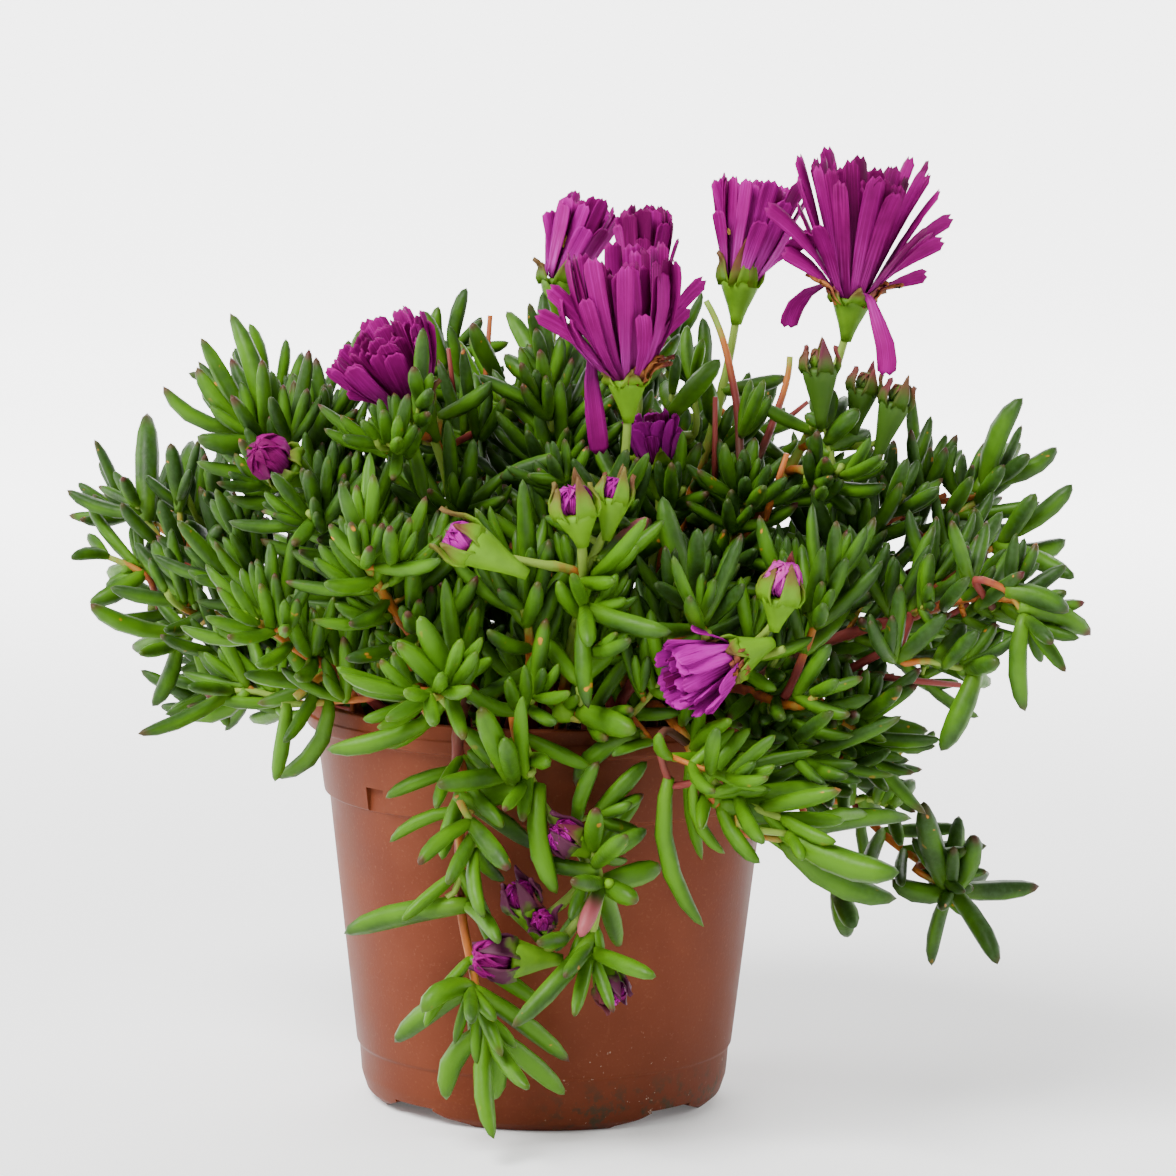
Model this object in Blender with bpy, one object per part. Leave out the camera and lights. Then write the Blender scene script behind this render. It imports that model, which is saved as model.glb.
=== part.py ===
"""Potted ice plant: a 10.5 cm nursery pot of soil with leafy trailing stems and magenta blooms."""

import math
import random

import bmesh
import bpy
import numpy as np
from mathutils import Vector

# Driving dimensions in millimetres; the frame is the pot's axis at the surface it stands on
MM = 0.001
MERGE = 0.004 * MM
POT_HEIGHT = 89.0
LIP_RADIUS = 53.0
LIP_HEIGHT = 6.0
LIP_STEP_DOWN = 3.0
LIP_STEP_IN = 0.35
BAND_TOP_RADIUS = 50.9
BAND_FOOT_RADIUS = 48.9
BAND_FOOT_Z = 68.2
WALL_TOP_RADIUS = 47.8
WALL_LOW_RADIUS = 41.5
WALL_LOW_Z = 12.5
BASE_STEP_IN = 0.6
FOOT_RADIUS = 37.9
FOOT_WIDTH = 3.4
FOOT_NOTCH_HEIGHT = 3.4
FOOT_NOTCH_FLAT_DEG = 18.0
FOOT_NOTCH_FLOOR_DEG = 41.0
FLOOR_UNDER_Z = 3.9
FLOOR_TOP_Z = 5.7
WALL = 1.6
KEY_NOTCH_WIDTH = 6.8
KEY_NOTCH_HEIGHT = 5.0
KEY_NOTCH_TURN_DEG = 223.5
INNER_STEP_Z = BAND_FOOT_Z + KEY_NOTCH_HEIGHT + 1.4
DRAIN_RADIUS = 4.0
DRAIN_RING_RADIUS = 22.0
POT_STEPS = 26
SOIL_TOP = 80.0
SOIL_STEPS = 20
CLEAR = 0.3
HOLE_DEPTH = 6.0
HOLE_SIDES = 4
ROOT_RADIUS = 1.5
TIP_RADIUS = 0.95
ROOTED_SIDES = 4
BRANCH_SIDES = 3
STEM_STEP = 16.0
LEAF_SIDES = 3
LEAF_CORNER = 1.24
LEAF_RADIUS = 2.15
NODE_GAP = 5.4
BRANCH_RADII = (1.15, 0.75)
PETAL_THICK = 0.7
STRAP_WIDTH = 3.2
MOST_PETALS = 12
FEWEST_PETALS = 8
WIDE_MOUTH = 12.0
CUP_RADIUS = 4.3
SEPAL_LENGTH = 5.5
SEPAL_FLARE = 1.7
MOST_ROOT_RADIUS = 41.0
ROOT_SPACING = 5.6
ROOT_RISE = 0.8
LOW_TIP_Z = 108.0
OVER_RIM_Z = 96.5
PATH_TRIES = 60

# Colours as linear values
POT_COLOUR = (0.27, 0.075, 0.042, 1.0)
SOIL_COLOUR = (0.030, 0.018, 0.011, 1.0)
LEAF_COLOUR = (0.060, 0.150, 0.022, 1.0)
PETAL_COLOUR = (0.270, 0.004, 0.230, 1.0)


def vec(*values):
    return np.array(values, float)


def unit(v):
    return v / np.linalg.norm(v)


def draw(*key):
    """A seeded number from 0 to 1 that depends only on its key."""
    return random.Random("/".join(map(str, key))).random()


def spread(low, high, *key):
    return low + (high - low) * draw(*key)


# Every leafy shoot, bloom and bud as (kind, tip, heading, size, pairs), grouped by its rooted stem.
# The first of a group is the main stem, and the rest branch from it.
# A leafy shoot's size is its longest leaf, and a bloom's is (petal length, mouth radius).
SPRAYS = {
    "stem_high_left": [
        ("leaf", (-65, -8, 147), (-0.8, -0.2, 0.45), 20, 3),
        ("leaf", (-62, 12, 149), (-0.35, 0, 1), 23, 2),
    ],
    "stem_far_left": [
        ("leaf", (-103, 54, 125), (-0.9, 0.2, 0.35), 16, 3),
        ("leaf", (-82, 26, 130), (-0.4, 0, 1), 18, 2),
    ],
    "stem_low_left": [
        ("leaf", (-92, 40, 102), (-0.9, 0, 0), 16, 2),
        ("leaf", (-85, 10, 110), (-0.4, -0.2, 1), 19, 2),
    ],
    "stem_droop_left": [("leaf", (-77, 20, 86), (-0.85, 0.1, -0.35), 19, 3)],
    "stem_rosette_left": [("leaf", (-61, -49, 111), (-0.45, -0.8, 0.35), 17, 3)],
    "stem_rim_left": [("leaf", (-53, -36, 93), (-0.7, -0.3, -0.6), 18, 2)],
    "stem_rosette_front": [("leaf", (-39, -66, 128), (-0.2, -0.85, 0.4), 14, 3)],
    "stem_back_left": [("leaf", (-57, 29, 149), (-0.3, 0.1, 1), 18, 2)],
    "stem_ball_bud": [
        ("bud", (-55.5, -31, 141.5), (-0.7, -0.45, 0.45), (8, 4.6), 0),
        ("leaf", (-50, -42, 133), (-0.4, -0.6, 0.7), 16, 2),
    ],
    "flower_f": [
        ("bloom", (-28.8, -20, 154), (-0.5, -0.3, 0.85), (21, 11.5), 0),
        ("leaf", (-36, -43, 149), (-0.1, -0.3, 1), 13, 3),
    ],
    "stem_front_left": [
        ("leaf", (-24, -74, 99), (-0.8, -0.4, 0.3), 18, 3),
        ("leaf", (-30, -60, 95), (-0.9, -0.2, -0.1), 19, 2),
    ],
    "stem_crown": [
        ("leaf", (0, -5, 158), (-0.1, -0.1, 1), 19, 3),
        ("leaf", (-15, 12, 155), (-0.5, 0, 0.8), 18, 2),
    ],
    "flower_a": [
        ("bloom", (16.3, -30, 161), (-0.05, -0.12, 1), (29, 16.5), 0),
        ("leaf", (11, -38, 137), (-0.3, -0.5, 0.9), 16, 2),
    ],
    "flower_b": [
        ("bloom", (1.6, 17, 179), (0.16, 0.12, 1), (20, 10), 0),
        ("leaf", (7, 26, 154), (0.1, 0.4, 1), 17, 2),
    ],
    "flower_c": [
        ("bloom", (20, 3, 176), (0.02, 0.05, 1), (20.5, 9.5), 0),
        ("leaf", (17, 4, 150), (0.3, -0.1, 1), 16, 2),
    ],
    "flower_d": [
        ("bloom", (41.1, 5, 180), (0.08, 0.05, 1), (23.5, 10.5), 0),
        ("leaf", (45, 12, 150), (0.3, 0.3, 1), 16, 2),
    ],
    "flower_e": [
        ("bloom", (64.7, -10, 177.4), (0.12, -0.08, 1), (30.5, 17.5), 0),
        ("spent", (57.5, -24, 159), (-0.05, -0.15, 1), (8, 4.6), 0),
        ("spent", (67, -17, 158), (0.2, -0.1, 1), (7, 4.0), 0),
        ("spent", (72.5, -21, 152), (0.3, -0.1, 1), (8, 4.0), 0),
        ("leaf", (62, -30, 143), (0.1, -0.5, 0.9), 15, 2),
    ],
    "stem_bud_fork": [
        ("spent", (6, -64, 136), (-0.2, -0.2, 1), (8, 4.6), 0),
        ("spent", (-15.5, -68, 129.4), (-0.85, -0.1, 0.45), (8, 4.4), 0),
        ("spent", (13.5, -58, 138), (0.15, 0.1, 1), (7, 3.6), 0),
        ("leaf", (8, -63.5, 117), (0.2, -0.5, 1), 16, 1),
    ],
    "stem_mid_front": [("leaf", (-5, -60, 117), (-0.3, -0.3, 1), 17, 3)],
    "stem_low_front": [
        ("leaf", (2, -55, 97), (-0.1, -0.8, 0.6), 15, 2),
        ("leaf", (18, -58, 92.5), (-0.5, -0.6, -0.35), 17, 2),
    ],
    "trailer_buds": [
        ("leaf", (8, -63, 47), (-0.2, -0.3, -0.9), 13, 3),
        ("bud", (-6.5, -66, 43.5), (-0.95, -0.2, 0.05), (8, 4.3), 0),
        ("spent", (-4, -65, 55), (-0.35, -0.3, 0.85), (7, 3.8), 0),
        ("spent", (14, -66, 38), (0.35, -0.6, -0.6), (6, 3.4), 0),
        ("leaf", (-3, -66, 82), (-0.5, -0.7, 0.3), 16, 2),
    ],
    "trailer_long": [
        ("leaf", (-13, -61, 30), (0.05, -0.35, -0.95), 19, 3),
        ("leaf", (-20, -60, 55), (-0.95, -0.25, 0.05), 20, 1),
        ("leaf", (-15, -62, 73), (0.1, -0.5, -0.8), 17, 2),
    ],
    "stem_crown_right": [("leaf", (31, 18, 150), (0.1, 0.1, 1), 17, 2)],
    "stem_front_right": [
        ("leaf", (33, -67, 112), (0.1, -0.15, 1), 18, 2),
        ("leaf", (28, -49, 118), (-0.3, 0, 1), 20, 2),
    ],
    "stem_dry_fork": [
        ("leaf", (42, -19, 139), (-0.1, -0.2, 1), 17, 3),
        ("bare", (52, 0, 164), (0, 0, 1), 0.9, 0),
        ("bare", (33.5, -1, 176), (-0.5, 0, 0.8), 0.8, 0),
    ],
    "flower_g": [
        ("bloom", (38.5, -66, 106.5), (-0.85, -0.4, -0.3), (17, 9.5), 0),
        ("bud", (48, -63, 119), (0.15, -0.2, 1), (7.5, 4.3), 0),
        ("leaf", (49, -62, 108), (0.7, -0.5, 0.4), 12, 2),
    ],
    "flower_h": [
        ("bloom", (23, -12, 142), (-0.15, -0.2, 1), (11, 6), 0),
        ("leaf", (29, -19, 137), (0.4, -0.5, 0.9), 16, 2),
    ],
    "stem_right_front": [
        ("leaf", (56, -60, 99), (0.3, -0.3, 1), 17, 3),
        ("leaf", (58, -50, 117), (0.5, -0.1, 0.9), 21, 2),
    ],
    "trailer_right": [("leaf", (50, -70, 74), (0.9, -0.2, -0.2), 22, 3)],
    "stem_far_right": [("leaf", (94, -5, 134), (0.8, 0, 0.55), 20, 3)],
    "stem_right_low": [
        ("leaf", (101, -51, 116), (0.8, -0.1, -0.35), 19, 3),
        ("leaf", (92, -27, 122), (0.9, 0.1, 0.1), 18, 2),
    ],
    "stem_right_back": [("leaf", (89, 15, 96), (0.7, 0, -0.35), 18, 2)],
    "stem_upper_right": [("leaf", (76, -18, 136), (0.5, 0, 0.9), 16, 3)],
    "stem_lower_right": [("leaf", (70, -38, 88), (0.7, -0.3, 0.2), 17, 2)],
    "trailer_rosette": [("leaf", (87, -5, 51), (0.5, -0.75, -0.15), 18, 4)],
}

# Where a stem is laid over the rim or along the wall, the points it passes
ROUTES = {
    "stem_low_front": [(3, -47, 91)],
    "trailer_buds": [(-6, -46, 93), (-6, -58.5, 90), (-1, -61.5, 76), (9, -60.5, 62)],
    "trailer_long": [(-17, -44, 93), (-18, -56.5, 88), (-17.5, -57.5, 72), (-17, -57, 52)],
    "trailer_right": [(22, -44, 93), (28, -55, 90), (35, -63, 80)],
    "trailer_rosette": [(47, 22, 93), (58, 24, 84), (70, 12, 62)],
}

# Loose petals that hang from two of the blooms, as a turn in degrees between two sepals and the
# points that the petal runs through, each (out from the axis, up from the cup)
LOOSE_PETALS = {
    "flower_a": [(252, ((3.0, 4.8), (6.6, 7.6), (8.2, 3.0), (7.4, -16.5)))],
    "flower_e": [
        (252, ((3.0, 5.0), (7.5, 9.0), (12.5, 6.5), (15.0, -6.0))),
        (36, ((3.0, 5.0), (6.6, 7.6), (10.0, 1.0), (12.0, -12.0))),
    ],
}

# The side and back of the plant, where stems follow one another round in tiers by rule
BACK_STEMS = 12
BACK_FROM_DEG = 12.0
BACK_TO_DEG = 172.0
BACK_TIERS = ((80.0, 121.0, 0.5), (58.0, 147.0, 0.9), (77.0, 99.0, -0.05))
FORK_TURN_DEG = 17.0


def back_sprays():
    """Forked stems round the far side: outer, high and low in turn."""
    found = {}
    for i in range(BACK_STEMS):
        name = f"stem_back_{i + 1:02d}"
        reach, height, rise = BACK_TIERS[i % len(BACK_TIERS)]
        share = (i + 0.5) / BACK_STEMS
        turn = math.radians(BACK_FROM_DEG + share * (BACK_TO_DEG - BACK_FROM_DEG))
        shoots = []
        for fork in range(2):
            angle = turn + fork * math.radians(FORK_TURN_DEG) * (1 if i % 2 else -1)
            out = reach * spread(0.92, 1.0, name, fork, "reach") * (1 - 0.16 * fork)
            up = height + spread(-3, 3, name, fork, "height") + 11 * fork
            tip = (out * math.cos(angle), out * math.sin(angle), up)
            heading = (math.cos(angle), math.sin(angle), rise + 0.5 * fork)
            shoots.append(("leaf", tip, heading, 16 + 4 * draw(name, fork), 2 - fork))
        found[name] = shoots
    return found


class Path:
    """A smooth curve through points, leaving along start and arriving along end, in short chords."""

    def __init__(self, points, start, end):
        points = [np.asarray(p, float) for p in points]
        gaps = [np.linalg.norm(b - a) for a, b in zip(points, points[1:])]
        tangents = [unit(start) * gaps[0]]
        for i in range(1, len(points) - 1):
            tangents.append(unit(points[i + 1] - points[i - 1]) * min(gaps[i - 1], gaps[i]))
        tangents.append(unit(end) * gaps[-1])
        rows = []
        for i, gap in enumerate(gaps):
            count = max(1, round(gap / STEM_STEP))
            for k in range(count):
                t = k / count
                rows.append(
                    (2 * t**3 - 3 * t**2 + 1) * points[i]
                    + (t**3 - 2 * t**2 + t) * tangents[i]
                    + (3 * t**2 - 2 * t**3) * points[i + 1]
                    + (t**3 - t**2) * tangents[i + 1]
                )
        rows.append(points[-1])
        self.points = np.array(rows)
        steps = np.linalg.norm(np.diff(self.points, axis=0), axis=1)
        self.along = np.concatenate([[0], np.cumsum(steps)])
        self.length = self.along[-1]
        self.end = unit(end)
        self.frames = self.carried_frames()

    def carried_frames(self):
        """A side direction at each sample, carried back from the tip without twisting."""
        rising = vec(0, 0, 1) if abs(self.end[2]) < 0.8 else vec(0, -1, 0)
        side = unit(rising - self.end * rising.dot(self.end))
        sides = [side]
        for k in range(len(self.points) - 2, -1, -1):
            run = unit(self.points[k + 1] - self.points[k])
            side = unit(side - run * side.dot(run))
            sides.append(side)
        return np.array(sides[::-1])

    def at(self, distance):
        return np.array([np.interp(distance, self.along, self.points[:, i]) for i in range(3)])

    def direction(self, distance):
        low = max(0.0, distance - 2.5)
        high = min(self.length, distance + 2.5)
        return unit(self.at(high) - self.at(low))

    def side(self, distance):
        k = int(np.searchsorted(self.along, distance))
        run = self.direction(distance)
        side = self.frames[min(k, len(self.frames) - 1)]
        return unit(side - run * side.dot(run))


class Space:
    """What is already placed, as round-ended rods, to keep each new piece clear of other stems."""

    def __init__(self):
        self.starts = np.zeros((0, 3))
        self.ends = np.zeros((0, 3))
        self.radii = np.zeros(0)
        self.owners = []

    def add(self, owner, rods):
        for start, end, radius in rods:
            self.starts = np.vstack([self.starts, start])
            self.ends = np.vstack([self.ends, end])
            self.radii = np.append(self.radii, radius)
            self.owners.append(owner)

    def slack(self, owner, rods, own_too=False):
        """The least room between these rods and what is placed, the pot and the soil included."""
        least = min(
            pot_room(a + (b - a) * share, radius)
            for a, b, radius in rods
            for share in (0.0, 0.25, 0.5, 0.75, 1.0)
        )
        if self.owners:
            others = np.array([own_too or o != owner for o in self.owners])
            if others.any():
                for start, end, radius in rods:
                    gaps = rod_gaps(start, end, self.starts[others], self.ends[others])
                    least = min(least, float((gaps - self.radii[others]).min()) - radius)
        return least


def rod_gaps(p, q, starts, ends):
    """The distances between the axis p to q and many other axes."""
    d1 = q - p
    d2 = ends - starts
    r = p - starts
    a = d1.dot(d1) + 1e-9
    e = np.einsum("ij,ij->i", d2, d2) + 1e-9
    f = np.einsum("ij,ij->i", d2, r)
    c = r @ d1
    b = d2 @ d1
    spanned = a * e - b * b
    s = np.clip(np.where(spanned > 1e-9, (b * f - c * e) / np.maximum(spanned, 1e-9), 0.0), 0, 1)
    t = (b * s + f) / e
    held = np.clip(t, 0, 1)
    s = np.where(t != held, np.clip((b * held - c) / a, 0, 1), s)
    near = p + s[:, None] * d1 - (starts + held[:, None] * d2)
    return np.linalg.norm(near, axis=1)


def pot_room(point, radius):
    """How far a ball lies from the pot and the soil, negative inside them."""
    out = math.hypot(point[0], point[1])
    z = point[2]
    inner = LIP_RADIUS - 3.0
    if z > POT_HEIGHT:
        across = max(inner - out, out - LIP_RADIUS, 0.0)
        return math.hypot(across, z - POT_HEIGHT) - radius
    if out < (inner + LIP_RADIUS) / 2:
        return min(inner - out, z - SOIL_TOP) - radius
    taper = max(0.0, POT_HEIGHT - LIP_HEIGHT - 1.5 - z)
    wall = LIP_RADIUS - min(taper, 2.0) - 0.09 * max(0.0, BAND_FOOT_Z - z)
    return min(out - wall, z - 1.0 + radius) - radius


def leaf_point(leaf, share):
    """A point on a leaf's curved centre line, from its stem's axis at 0 to its tip at 1."""
    base, run, lift, length, _ = leaf
    return base + length * (run * share + lift * share * share)


def leaf_rods(leaf):
    radius = leaf[4] * LEAF_CORNER * 0.94
    spans = ((0.24, 0.5, 1.0), (0.5, 0.78, 0.95), (0.78, 0.96, 0.62))
    return [(leaf_point(leaf, a), leaf_point(leaf, b), radius * k) for a, b, k in spans]


def stem_rods(path, radius_from, radius_to, first):
    rods = []
    for a, b in zip(path.along, path.along[1:]):
        if b <= first:
            continue
        share = (a + b) / 2 / path.length
        radius = radius_from + (radius_to - radius_from) * share
        rods.append((path.at(max(a, first)), path.at(b), radius + 0.1))
    return rods


def root_places(sprays):
    """A hole in the soil for each rooted stem, towards where its main shoot goes."""
    taken = []
    places = {}
    for name, shoots in sprays.items():
        tip = vec(*(ROUTES[name][0] if name in ROUTES else shoots[0][1]))
        out = math.hypot(tip[0], tip[1])
        low = max(0.0, (150.0 - shoots[0][1][2]) / 60.0)
        wanted = min(MOST_ROOT_RADIUS, 8.0 + 0.30 * out + 16.0 * min(low, 1.0))
        angle = math.atan2(tip[1], tip[0])
        best = None
        for ring in range(9):
            for step in range(-12, 13):
                radius = max(3.0, wanted - 4.2 * ring) if ring < 7 else wanted + 4.2 * (ring - 6)
                turn = angle + math.radians(7.0 * step)
                if radius > MOST_ROOT_RADIUS:
                    continue
                place = vec(radius * math.cos(turn), radius * math.sin(turn), SOIL_TOP)
                if any(np.linalg.norm(place - other) < ROOT_SPACING for other in taken):
                    continue
                cost = abs(radius - wanted) + radius * abs(turn - angle)
                if best is None or cost < best[0]:
                    best = (cost, place)
        taken.append(best[1])
        places[name] = best[1]
    return places


def main_path(name, shoot, root, nudge):
    """The main stem's path, from just above its hole."""
    tip = shoot_end(shoot)
    heading = unit(vec(*shoot[2]))
    points = [root + vec(0, 0, ROOT_RISE)] + [vec(*p) for p in ROUTES.get(name, ())] + [tip]
    if name in ROUTES:
        points[1] = points[1] + nudge * 0.35
    else:
        span = np.linalg.norm(tip - root)
        middle = root * 0.18 + tip * 0.82 - heading * 0.11 * span + vec(0, 0, 0.02 * span)
        if tip[2] < LOW_TIP_Z:
            share = (LIP_RADIUS + 1) / math.hypot(tip[0], tip[1])
            middle = vec(tip[0] * share, tip[1] * share, OVER_RIM_Z)
        points.insert(1, middle + nudge)
        if np.linalg.norm(nudge) > 2.0:
            low = root * 0.6 + middle * 0.4 + vec(-nudge[1], nudge[0], abs(nudge[2])) * 0.7
            points.insert(1, low)
    return Path(points, vec(0, 0, 1), heading)


def shoot_end(shoot):
    """Where a shoot's stem ends: at its tip, or inside the cup of its bloom or bud."""
    kind, tip, heading, _, _ = shoot
    inside = 3.0 if kind in ("bloom", "bud", "spent") else 0.0
    return vec(*tip) - unit(vec(*heading)) * inside


def branch_path(main, shoot, nudge):
    """A side shoot's path, from the place on the main stem that suits its tip."""
    tip = shoot_end(shoot)
    heading = unit(vec(*shoot[2]))
    best = None
    for share in np.linspace(0.30, 0.93, 22):
        distance = share * main.length
        place = main.at(distance)
        if place[2] < SOIL_TOP + 9 and math.hypot(place[0], place[1]) < LIP_RADIUS:
            continue
        gap = np.linalg.norm(tip - place)
        turn = 1 - unit(tip - place).dot(main.direction(distance))
        cost = abs(gap - 15) + 13 * turn
        if best is None or cost < best[0]:
            best = (cost, distance)
    place = main.at(best[1])
    gap = np.linalg.norm(tip - place)
    start = unit(unit(tip - place) + 0.5 * main.direction(best[1]))
    middle = (place + tip) / 2 + (start - heading) * gap * 0.12 + nudge
    return Path([place, middle, tip], start, heading)


def placed_path(space, owner, make, radii, first):
    """The first path that clears what is placed, or the clearest of the nudged ones, and its rods."""
    best = None
    for trial in range(PATH_TRIES):
        size = 0.0 if trial == 0 else 1.2 + 0.16 * trial
        nudge = vec(*(spread(-1, 1, owner, "nudge", trial, axis) for axis in range(3))) * size
        path = make(nudge)
        rods = stem_rods(path, *radii, first)
        slack = space.slack(owner, rods)
        if best is None or slack > best[0]:
            best = (slack, path, rods)
        if slack > CLEAR + 0.25:
            break
    return best[1:]


def placed_leaf(space, owner, path, distance, turn, opening, length, key):
    """A leaf at one side of a stem, turned, closed or shortened until it is clear, or None."""
    base = path.at(distance)
    run = path.direction(distance)
    side = path.side(distance)
    across = np.cross(run, side)
    for scale in (1.0, 0.88, 0.76):
        for wide in (0, 9, -9, 18, -18, 27):
            for sweep in (0, 12, -12, 24, -24, 38, -38):
                angle = math.radians(turn + sweep)
                away = side * math.cos(angle) + across * math.sin(angle)
                lean = math.radians(max(12.0, opening + wide))
                aim = unit(run * math.cos(lean) + away * math.sin(lean))
                lift = unit(run * 0.8 + vec(0, 0, 0.55)) * spread(0.14, 0.30, key, "lift")
                lift = lift - aim * lift.dot(aim)
                radius = LEAF_RADIUS * (0.62 + 0.38 * min(1.0, length * scale / 16.0))
                leaf = (base, aim, lift, length * scale, radius)
                rods = leaf_rods(leaf)
                if space.slack(owner, rods) < CLEAR + 0.1:
                    continue
                if space.slack(owner, rods[1:], own_too=True) < 0.05:
                    continue
                return leaf
    return None


# A shoot's leaf pairs in the order they are placed, as (distance back from its tip in node gaps,
# share of its longest leaf, opening in degrees)
PAIR_PLACES = ((1.1, 0.92, 36.0), (2.2, 1.0, 54.0), (0.2, 0.62, 18.0), (3.5, 0.96, 64.0))


def lay_out():
    """Every stem's path and every leaf, as {name: {"paths", "leaves", "heads"}}."""
    sprays = dict(SPRAYS)
    sprays.update(back_sprays())
    roots = root_places(sprays)
    space = Space()
    for name, shoots in sprays.items():
        for kind, tip, heading, size, _ in shoots:
            if kind != "leaf" and kind != "bare":
                space.add(name, head_rods(kind, vec(*tip), unit(vec(*heading)), size))
            if kind == "bloom":
                for turn, marks in LOOSE_PETALS.get(name, ()):
                    _, run = strap_points(vec(*tip), unit(vec(*heading)), math.radians(turn), marks)
                    rods = [(a, b, STRAP_WIDTH * 0.55) for a, b in zip(run[1:], run[2:])]
                    space.add(name + " loose", rods)
    plan = {}
    order = sorted(sprays, key=lambda name: (name not in ROUTES, "stem_back_" in name))
    for name in order:
        shoots = sprays[name]
        root = roots[name]
        parts = {"root": root, "paths": [], "leaves": [], "heads": []}
        radii = (ROOT_RADIUS, TIP_RADIUS)
        main, rods = placed_path(
            space, name, lambda nudge: main_path(name, shoots[0], root, nudge), radii, 4.0
        )
        space.add(name, rods)
        parts["paths"].append((main, *radii))
        for shoot in shoots[1:]:
            path, rods = placed_path(
                space, name, lambda nudge: branch_path(main, shoot, nudge * 0.6), BRANCH_RADII, 0.0
            )
            space.add(name, rods)
            parts["paths"].append((path, *BRANCH_RADII))
        for kind, tip, heading, size, _ in shoots:
            if kind != "leaf" and kind != "bare":
                parts["heads"].append((kind, vec(*tip), unit(vec(*heading)), size))
        plan[name] = parts
    for level, pair in enumerate(PAIR_PLACES):
        for name, shoots in sprays.items():
            for index, shoot in enumerate(shoots):
                if shoot[0] == "leaf" and level < shoot[4]:
                    place_pair(space, plan[name], (name, index, level), shoot[3], pair)
    return plan


def place_pair(space, parts, key, longest, pair):
    """One pair of leaves across a stem from each other, where there is room for them."""
    name, index, _ = key
    path = parts["paths"][index][0]
    back, scale, opening = pair
    distance = path.length - back * NODE_GAP
    turn = 360 * draw(name, index, "turn") + 90 * round(back)
    for half in range(2):
        length = longest * scale * spread(0.9, 1.06, key, half, "length")
        turned = turn + 180 * half
        leaf = placed_leaf(space, name, path, distance, turned, opening, length, (key, half))
        if leaf:
            space.add(name, leaf_rods(leaf))
            parts["leaves"].append(leaf)


def head_rods(kind, base, heading, size):
    """The room that a bloom or a bud takes, as rods along its axis."""
    length, mouth = size
    cup = [(base - heading * 5.0, base, CUP_RADIUS + 0.1)]
    if kind != "spent":
        cup.append((base + heading * 1.0, base + heading * 4.5, 5.6))
    if kind != "bloom":
        return cup + [(base, base + heading * (length - mouth * 0.6), mouth + 0.5)]
    rods = list(cup)
    for k in range(4):
        share = (k + 0.7) / 4
        wide = bloom_radius(share, mouth) + 0.8
        middle = base + heading * length * share
        rods.append((middle - heading * 0.5, middle + heading * 0.5, min(wide, length * 0.45)))
    return rods


def bloom_radius(share, mouth):
    """How wide a bloom's funnel is at a share of its height."""
    return 2.6 + (mouth - 2.6) * (0.42 * share + 0.58 * share**2)


def new_object(name, points, faces, colour):
    """A closed mesh from points in millimetres, with its faces turned outwards."""
    mesh = bpy.data.meshes.new(name)
    mesh.from_pydata([Vector(p) * MM for p in points], [], faces)
    work = bmesh.new()
    work.from_mesh(mesh)
    bmesh.ops.recalc_face_normals(work, faces=work.faces)
    work.to_mesh(mesh)
    work.free()
    thing = bpy.data.objects.new(name, mesh)
    bpy.context.scene.collection.objects.link(thing)
    if colour:
        mesh.materials.append(colour)
    return thing


def material(name, colour, roughness):
    made = bpy.data.materials.new(name)
    made.use_nodes = True
    shader = made.node_tree.nodes["Principled BSDF"]
    shader.inputs["Base Color"].default_value = colour
    shader.inputs["Roughness"].default_value = roughness
    shader.inputs["Metallic"].default_value = 0.0
    return made


def tube(rings, first=None, last=None):
    """Points and faces of a tube through rings of points, closed by end points or flat ends."""
    sides = len(rings[0])
    points = [p for ring in rings for p in ring]
    faces = []
    for k in range(len(rings) - 1):
        for i in range(sides):
            j = (i + 1) % sides
            faces.append((k * sides + i, k * sides + j, (k + 1) * sides + j, (k + 1) * sides + i))
    for end, start in ((first, 0), (last, (len(rings) - 1) * sides)):
        loop = [start + i for i in range(sides)]
        if end is None:
            faces.append(tuple(loop))
            continue
        points.append(end)
        apex = len(points) - 1
        for i in range(sides):
            faces.append((loop[i], loop[(i + 1) % sides], apex))
    return points, faces


def ring_round(centre, run, side, radius, sides, turn=0.0, flat=1.0):
    across = np.cross(run, side)
    ring = []
    for i in range(sides):
        angle = turn + 2 * math.pi * i / sides
        ring.append(centre + radius * (side * math.cos(angle) + across * math.sin(angle) * flat))
    return ring


def stem_mesh(path, radius_from, radius_to, rooted):
    """A tapering stem, with its lower end upright in its hole."""
    rings = []
    sides = ROOTED_SIDES if rooted else BRANCH_SIDES
    for mark in path.along:
        radius = radius_from + (radius_to - radius_from) * mark / path.length
        run = path.direction(mark)
        side = path.side(mark)
        if rooted and mark == 0:
            run = vec(0, 0, 1)
            side = unit(side - run * side.dot(run))
            sunk = path.points[0] - run * (HOLE_DEPTH - 0.2)
            rings.append(ring_round(sunk, run, side, radius, sides))
        rings.append(ring_round(path.at(mark), run, side, radius, sides))
    last = path.points[-1] + path.end * radius_to * 1.2
    return tube(rings, None, last)


def leaf_mesh(leaf):
    """A plump finger of a leaf: its root point in the stem, two rings and its tip."""
    base, run, lift, length, radius = leaf
    rings = []
    for share, wide in ((0.23, 1.0), (0.74, 0.92)):
        centre = leaf_point(leaf, share)
        aim = unit(run + 2 * lift * share)
        keel = -unit(lift - aim * lift.dot(aim))
        rings.append(ring_round(centre, aim, keel, radius * wide * LEAF_CORNER, LEAF_SIDES))
    return tube(rings, base - run * 0.5, leaf_point(leaf, 1.0))


def sideways(heading):
    rising = vec(0, 0, 1) if abs(heading[2]) < 0.8 else vec(0, -1, 0)
    return unit(rising - heading * rising.dot(heading))


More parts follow.
